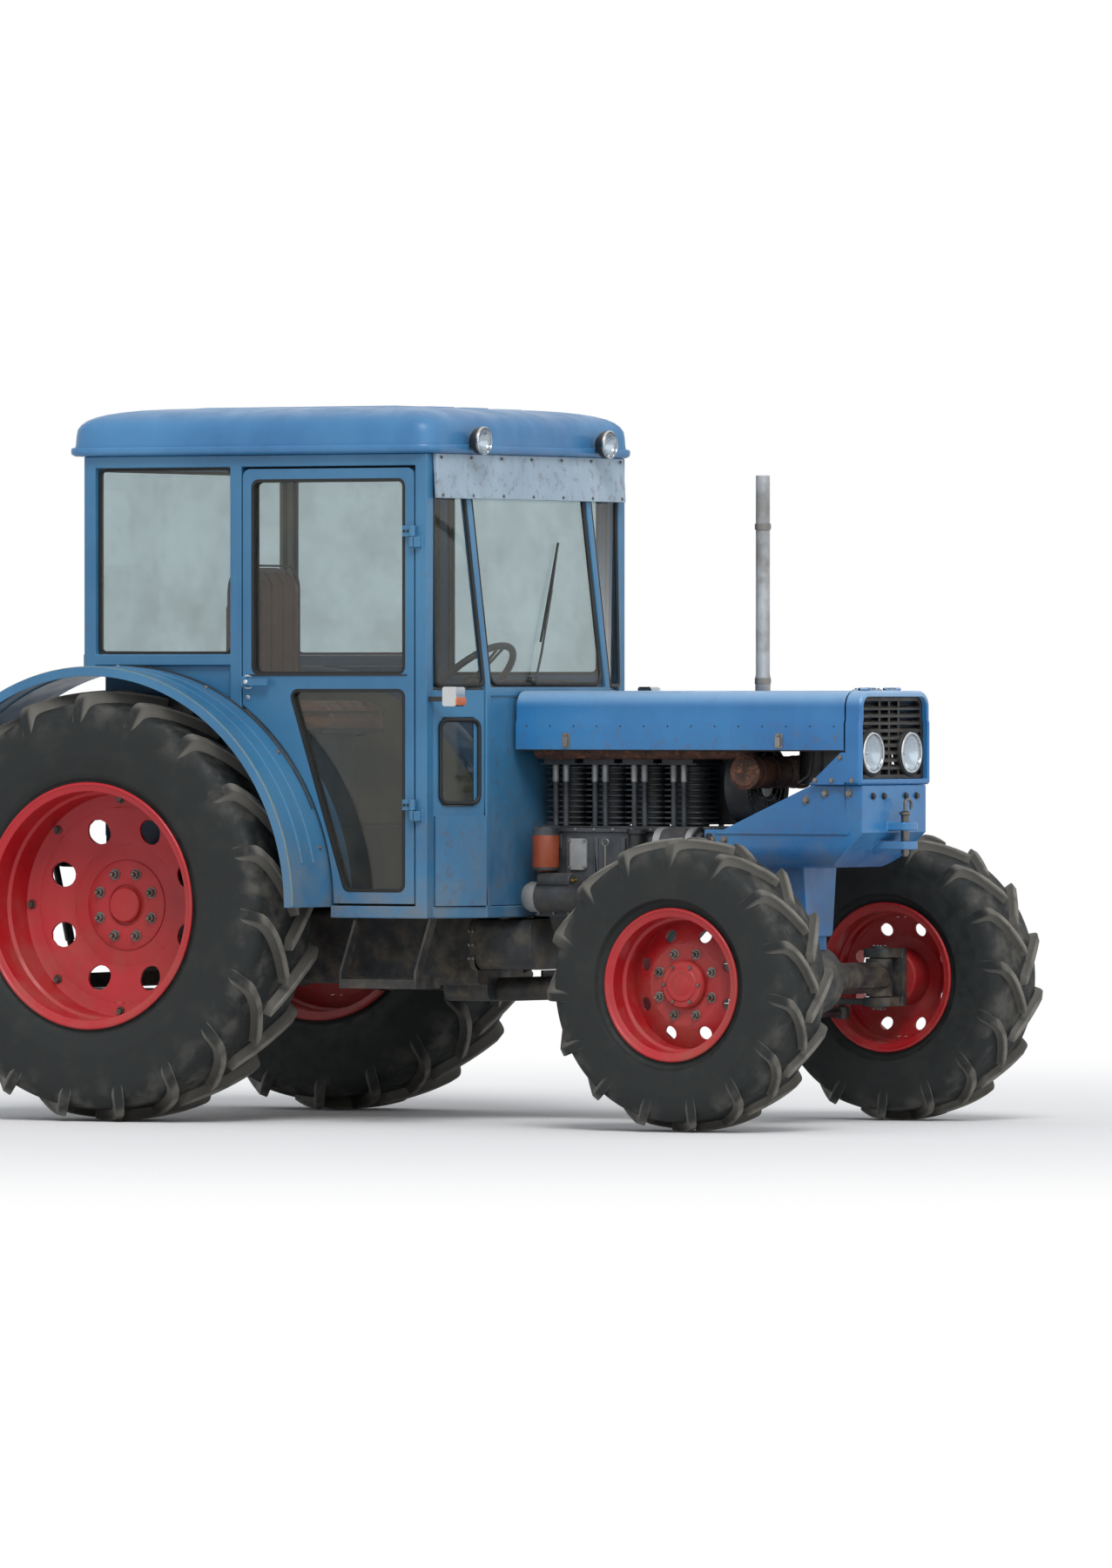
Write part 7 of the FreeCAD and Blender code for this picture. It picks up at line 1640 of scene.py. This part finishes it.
def make_steering_wheel():
    piece = Piece(LOOKS["black_plastic"], LOOKS["bright"])
    foot, head = Vector((1.240, 0, 1.400)), Vector((1.052, 0, 1.600))
    along = (head - foot).normalized()
    centre = head + along * 0.0175
    side = Vector((0, 1, 0))
    other = along.cross(side)
    ring_r, grip = 0.205, 0.0138
    rings = []
    for n in range(96):
        a = 2.0 * math.pi * n / 96
        out = side * math.cos(a) + other * math.sin(a)
        swell_r = grip - 0.0012 * (0.5 + 0.5 * math.cos(48 * a))
        rings.append([centre + out * (ring_r + swell_r * math.cos(b)) + along * swell_r * math.sin(b)
                      for b in (2.0 * math.pi * k / 12 for k in range(12))])
    piece.skin(rings, loop=True)
    for degrees in (0.0, 120.0, 240.0):
        a = math.radians(degrees)
        out = other * -math.cos(a) + side * math.sin(a)
        for apart in (-0.012, 0.012):
            cross = along.cross(out) * apart
            piece.tube([centre + out * 0.030 + cross * 1.4 - along * 0.006, centre + out * 0.11 + cross - along * 0.003,
                        centre + out * 0.200 + cross * 1.6], 0.0052, 8)
    piece.peg(centre - along * 0.0235, along, [(0.0265, 0.0), (0.034, 0.004), (0.039, 0.016), (0.039, 0.028), (0.034, 0.036),
                                               (0.026, 0.0392)], 40)
    piece.slot = 1
    piece.peg(centre + along * 0.0145, along, [(0.018, 0.0), (0.018, 0.0012), (0.016, 0.0016)], 28)
    piece.finish("steering_wheel_spoked", "steering_wheel", "black_plastic", ("steering_wheel",), angle=40.0)


# Seat cushions, blown up as cloth

def baked(obj):
    graph = bpy.context.evaluated_depsgraph_get()
    mesh = bpy.data.meshes.new_from_object(obj.evaluated_get(graph))
    obj.modifiers.clear()
    obj.data = mesh
    return mesh


def swell(covers, cap, voxel=0.0075):
    """Air pressure in cloth covers for 20 frames, all of them at once. No point moves further than cap."""
    starts = []
    for obj, held in covers:
        even = obj.modifiers.new("even", "REMESH")
        even.mode = "VOXEL"
        even.voxel_size = voxel
        start = [v.co.copy() for v in baked(obj).vertices]
        starts.append(start)
        group = obj.vertex_groups.new(name="held")
        group.add([i for i, co in enumerate(start) if held(co)], 1.0, "REPLACE")
        air = obj.modifiers.new("air", "CLOTH")
        air.settings.quality = 4
        air.settings.mass = 0.4
        air.settings.use_pressure = True
        air.settings.uniform_pressure_force = 4.0
        air.settings.tension_stiffness = 12.0
        air.settings.compression_stiffness = 12.0
        air.settings.vertex_group_mass = "held"
        air.settings.effector_weights.gravity = 0.0
    for step in range(1, 21):
        bpy.context.scene.frame_set(step)
        bpy.context.view_layer.update()
    graph = bpy.context.evaluated_depsgraph_get()
    for (obj, held), start in zip(covers, starts):
        ends = [v.co.copy() for v in obj.evaluated_get(graph).data.vertices]
        for vert, a, b in zip(obj.data.vertices, start, ends):
            move = b - a
            vert.co = a + move * min(1.0, cap / max(move.length, 1e-9))
    for obj, held in covers:
        obj.modifiers.clear()
        obj.vertex_groups.clear()
    bpy.context.scene.frame_set(1)


def finer(obj):
    smooth = obj.modifiers.new("round", "SUBSURF")
    smooth.levels = 1
    smooth.render_levels = 1
    mesh = baked(obj)
    for face in mesh.polygons:
        face.use_smooth = True
    return mesh


def sewn(mesh, test, lines, axis, deep, wide):
    """Sewn channels: a dent along each line on the side that test names."""
    for vert in mesh.vertices:
        if test(vert):
            dent = sum(math.exp(-(((vert.co[axis] - at) / wide) ** 2)) for at in lines)
            vert.co -= vert.normal * deep * min(1.0, dent)


def make_seat():
    low, high = span("seat_cushion")
    inset = 0.010
    piece = Piece(LOOKS["seat_brown"])
    outline = rounded_loop(rectangle(low.x + inset, high.x - inset, low.y + inset, high.y - inset), 0.05, 6)
    rings = []
    for z, pull in ((low.z + 0.001, 0.004), (low.z + 0.03, 0.0), (high.z - 0.045, 0.0), (high.z - 0.020, 0.008),
                    (high.z - 0.012, 0.022)):
        middle_x, middle_y = (low.x + high.x) / 2.0, 0.0
        share_x = 1.0 - pull / (high.x - middle_x)
        share_y = 1.0 - pull / high.y
        rings.append([Vector((middle_x + (x - middle_x) * share_x, y * share_y, z)) for x, y in outline])
    piece.skin(rings)
    cushion = piece.finish("seat_cushion_padded", "chassis", "seat_brown", ("seat_cushion",), angle=60.0)
    back_low, back_high = span("seat_back")
    piece = Piece(LOOKS["seat_brown"])
    outline = rounded_loop(rectangle(back_low.y + inset, back_high.y - inset, back_low.z + inset, back_high.z - inset),
                           [0.04, 0.04, 0.09, 0.09], 8)
    rings = []
    middle_z = (back_low.z + back_high.z) / 2.0
    for x, pull in ((back_low.x + 0.001, 0.006), (back_low.x + 0.020, 0.0), (back_high.x - 0.040, 0.0), (back_high.x - 0.020, 0.010),
                    (back_high.x - 0.012, 0.026)):
        share = 1.0 - pull / 0.225
        rings.append([Vector((x, y * share, middle_z + (z - middle_z) * share)) for y, z in outline])
    piece.skin(rings)
    rest = piece.finish("seat_back_padded", "chassis", "seat_brown", ("seat_back",), angle=60.0)
    swell(((cushion, lambda co: co.z < low.z + 0.016), (rest, lambda co: co.x < AXLE_X + back_low.x + 0.012)), 0.014)
    finer(cushion)
    finer(rest)
    sewn(cushion.data, lambda v: v.normal.z > 0.55, (-0.13, -0.045, 0.045, 0.13), 1, 0.007, 0.006)
    sewn(rest.data, lambda v: v.normal.x > 0.55, (-0.115, -0.04, 0.04, 0.115), 1, 0.007, 0.006)
    # Piping round both cushions.
    piping = Piece(LOOKS["piping"], LOOKS["black_metal"])
    ring = rounded_loop(rectangle(low.x + 0.006, high.x - 0.006, low.y + 0.006, high.y - 0.006), 0.048, 6)
    piping.tube([(x, y, high.z - 0.040) for x, y in ring], 0.0042, 8, True)
    ring = rounded_loop(rectangle(back_low.y + 0.006, back_high.y - 0.006, back_low.z + 0.006, back_high.z - 0.006),
                        [0.04, 0.04, 0.088, 0.088], 6)
    piping.tube([(back_high.x - 0.036, y, z) for y, z in ring], 0.0042, 8, True)
    piping.slot = 1
    # Slide rails and the adjusting lever under the pan.
    for y in (-0.12, 0.12):
        piping.block(0.170, 0.460, y - 0.012, y + 0.012, 1.410, 1.4298)
    piping.tube(rounded_path([(0.40, 0.125, 1.420), (0.40, 0.236, 1.420), (0.445, 0.240, 1.428)], 0.015), 0.005, 8)
    piping.finish("seat_piping", "chassis", "black_metal", angle=40.0)


make_lamps()
make_roof()
make_cab_trim()
make_door_trim()
make_bonnet_trim()
make_nose_trim()
make_carrier_trim()
make_engine_trim()
make_exhaust()
make_front_fittings()
make_chassis_trim()
make_steps_trim()
make_fender_trim()
make_tank_trim()
make_interior()
make_steering_wheel()
make_seat()


# CAD shapes that stay, with broken edges and a finish

KEPT = (
    # node, finish, edge width in metres
    ("rear_axle_housing", "chassis_grey", 0.004),
    ("transmission_housing", "chassis_grey", 0.004),
    ("lower_links", "black_metal", 0.002),
    ("lift_arms", "black_metal", 0.003),
    ("lift_rods", "black_metal", 0.002),
    ("drawbar", "black_metal", 0.003),
    ("engine_block", "engine_metal", 0.004),
    ("engine_cylinders", "engine_metal", 0.002),
    ("engine_blower", "engine_metal", 0.003),
    ("engine_fan", "aluminium", 0.001),
    ("air_cleaner", "black_metal", 0.003),
    ("battery", "black_plastic", 0.004),
    ("bonnet", "body_blue", 0.002),
    ("nose_panel", "body_blue", 0.004),
    ("grille", "black_metal", 0.002),
    ("front_carrier", "body_blue", 0.005),
    ("front_axle", "chassis_grey", 0.003),
    ("front_drive_shaft", "black_metal", 0.002),
    ("knuckle_left", "chassis_grey", 0.003),
    ("knuckle_right", "chassis_grey", 0.003),
    ("tie_rod", "black_metal", 0.002),
    ("fender_left", "cab_blue", 0.002),
    ("fender_right", "cab_blue", 0.002),
    ("steps", "black_metal", 0.001),
    ("cab_frame", "cab_blue", 0.005),
    ("cab_front_panels", "cab_blue", 0.002),
    ("cab_rear_panels", "cab_blue", 0.002),
    ("cab_floor", "black_plastic", 0.003),
    ("windscreen_header", "header_grey", 0.004),
    ("windscreen", "glass", 0.0),
    ("rear_windows", "glass", 0.0),
    ("door_left_glass", "glass", 0.0),
    ("door_right_glass", "glass", 0.0),
    ("door_left", "cab_blue", 0.0015),
    ("door_right", "cab_blue", 0.0015),
    ("dashboard", "black_plastic", 0.005),
    ("controls", "black_metal", 0.002),
    ("seat_base", "black_metal", 0.003),
    ("fuel_tank", "black_metal", 0.005),
)
for kept_node, kept_slot, kept_edge in KEPT:
    dressed(kept_node, LOOKS[kept_slot], kept_slot, kept_edge)
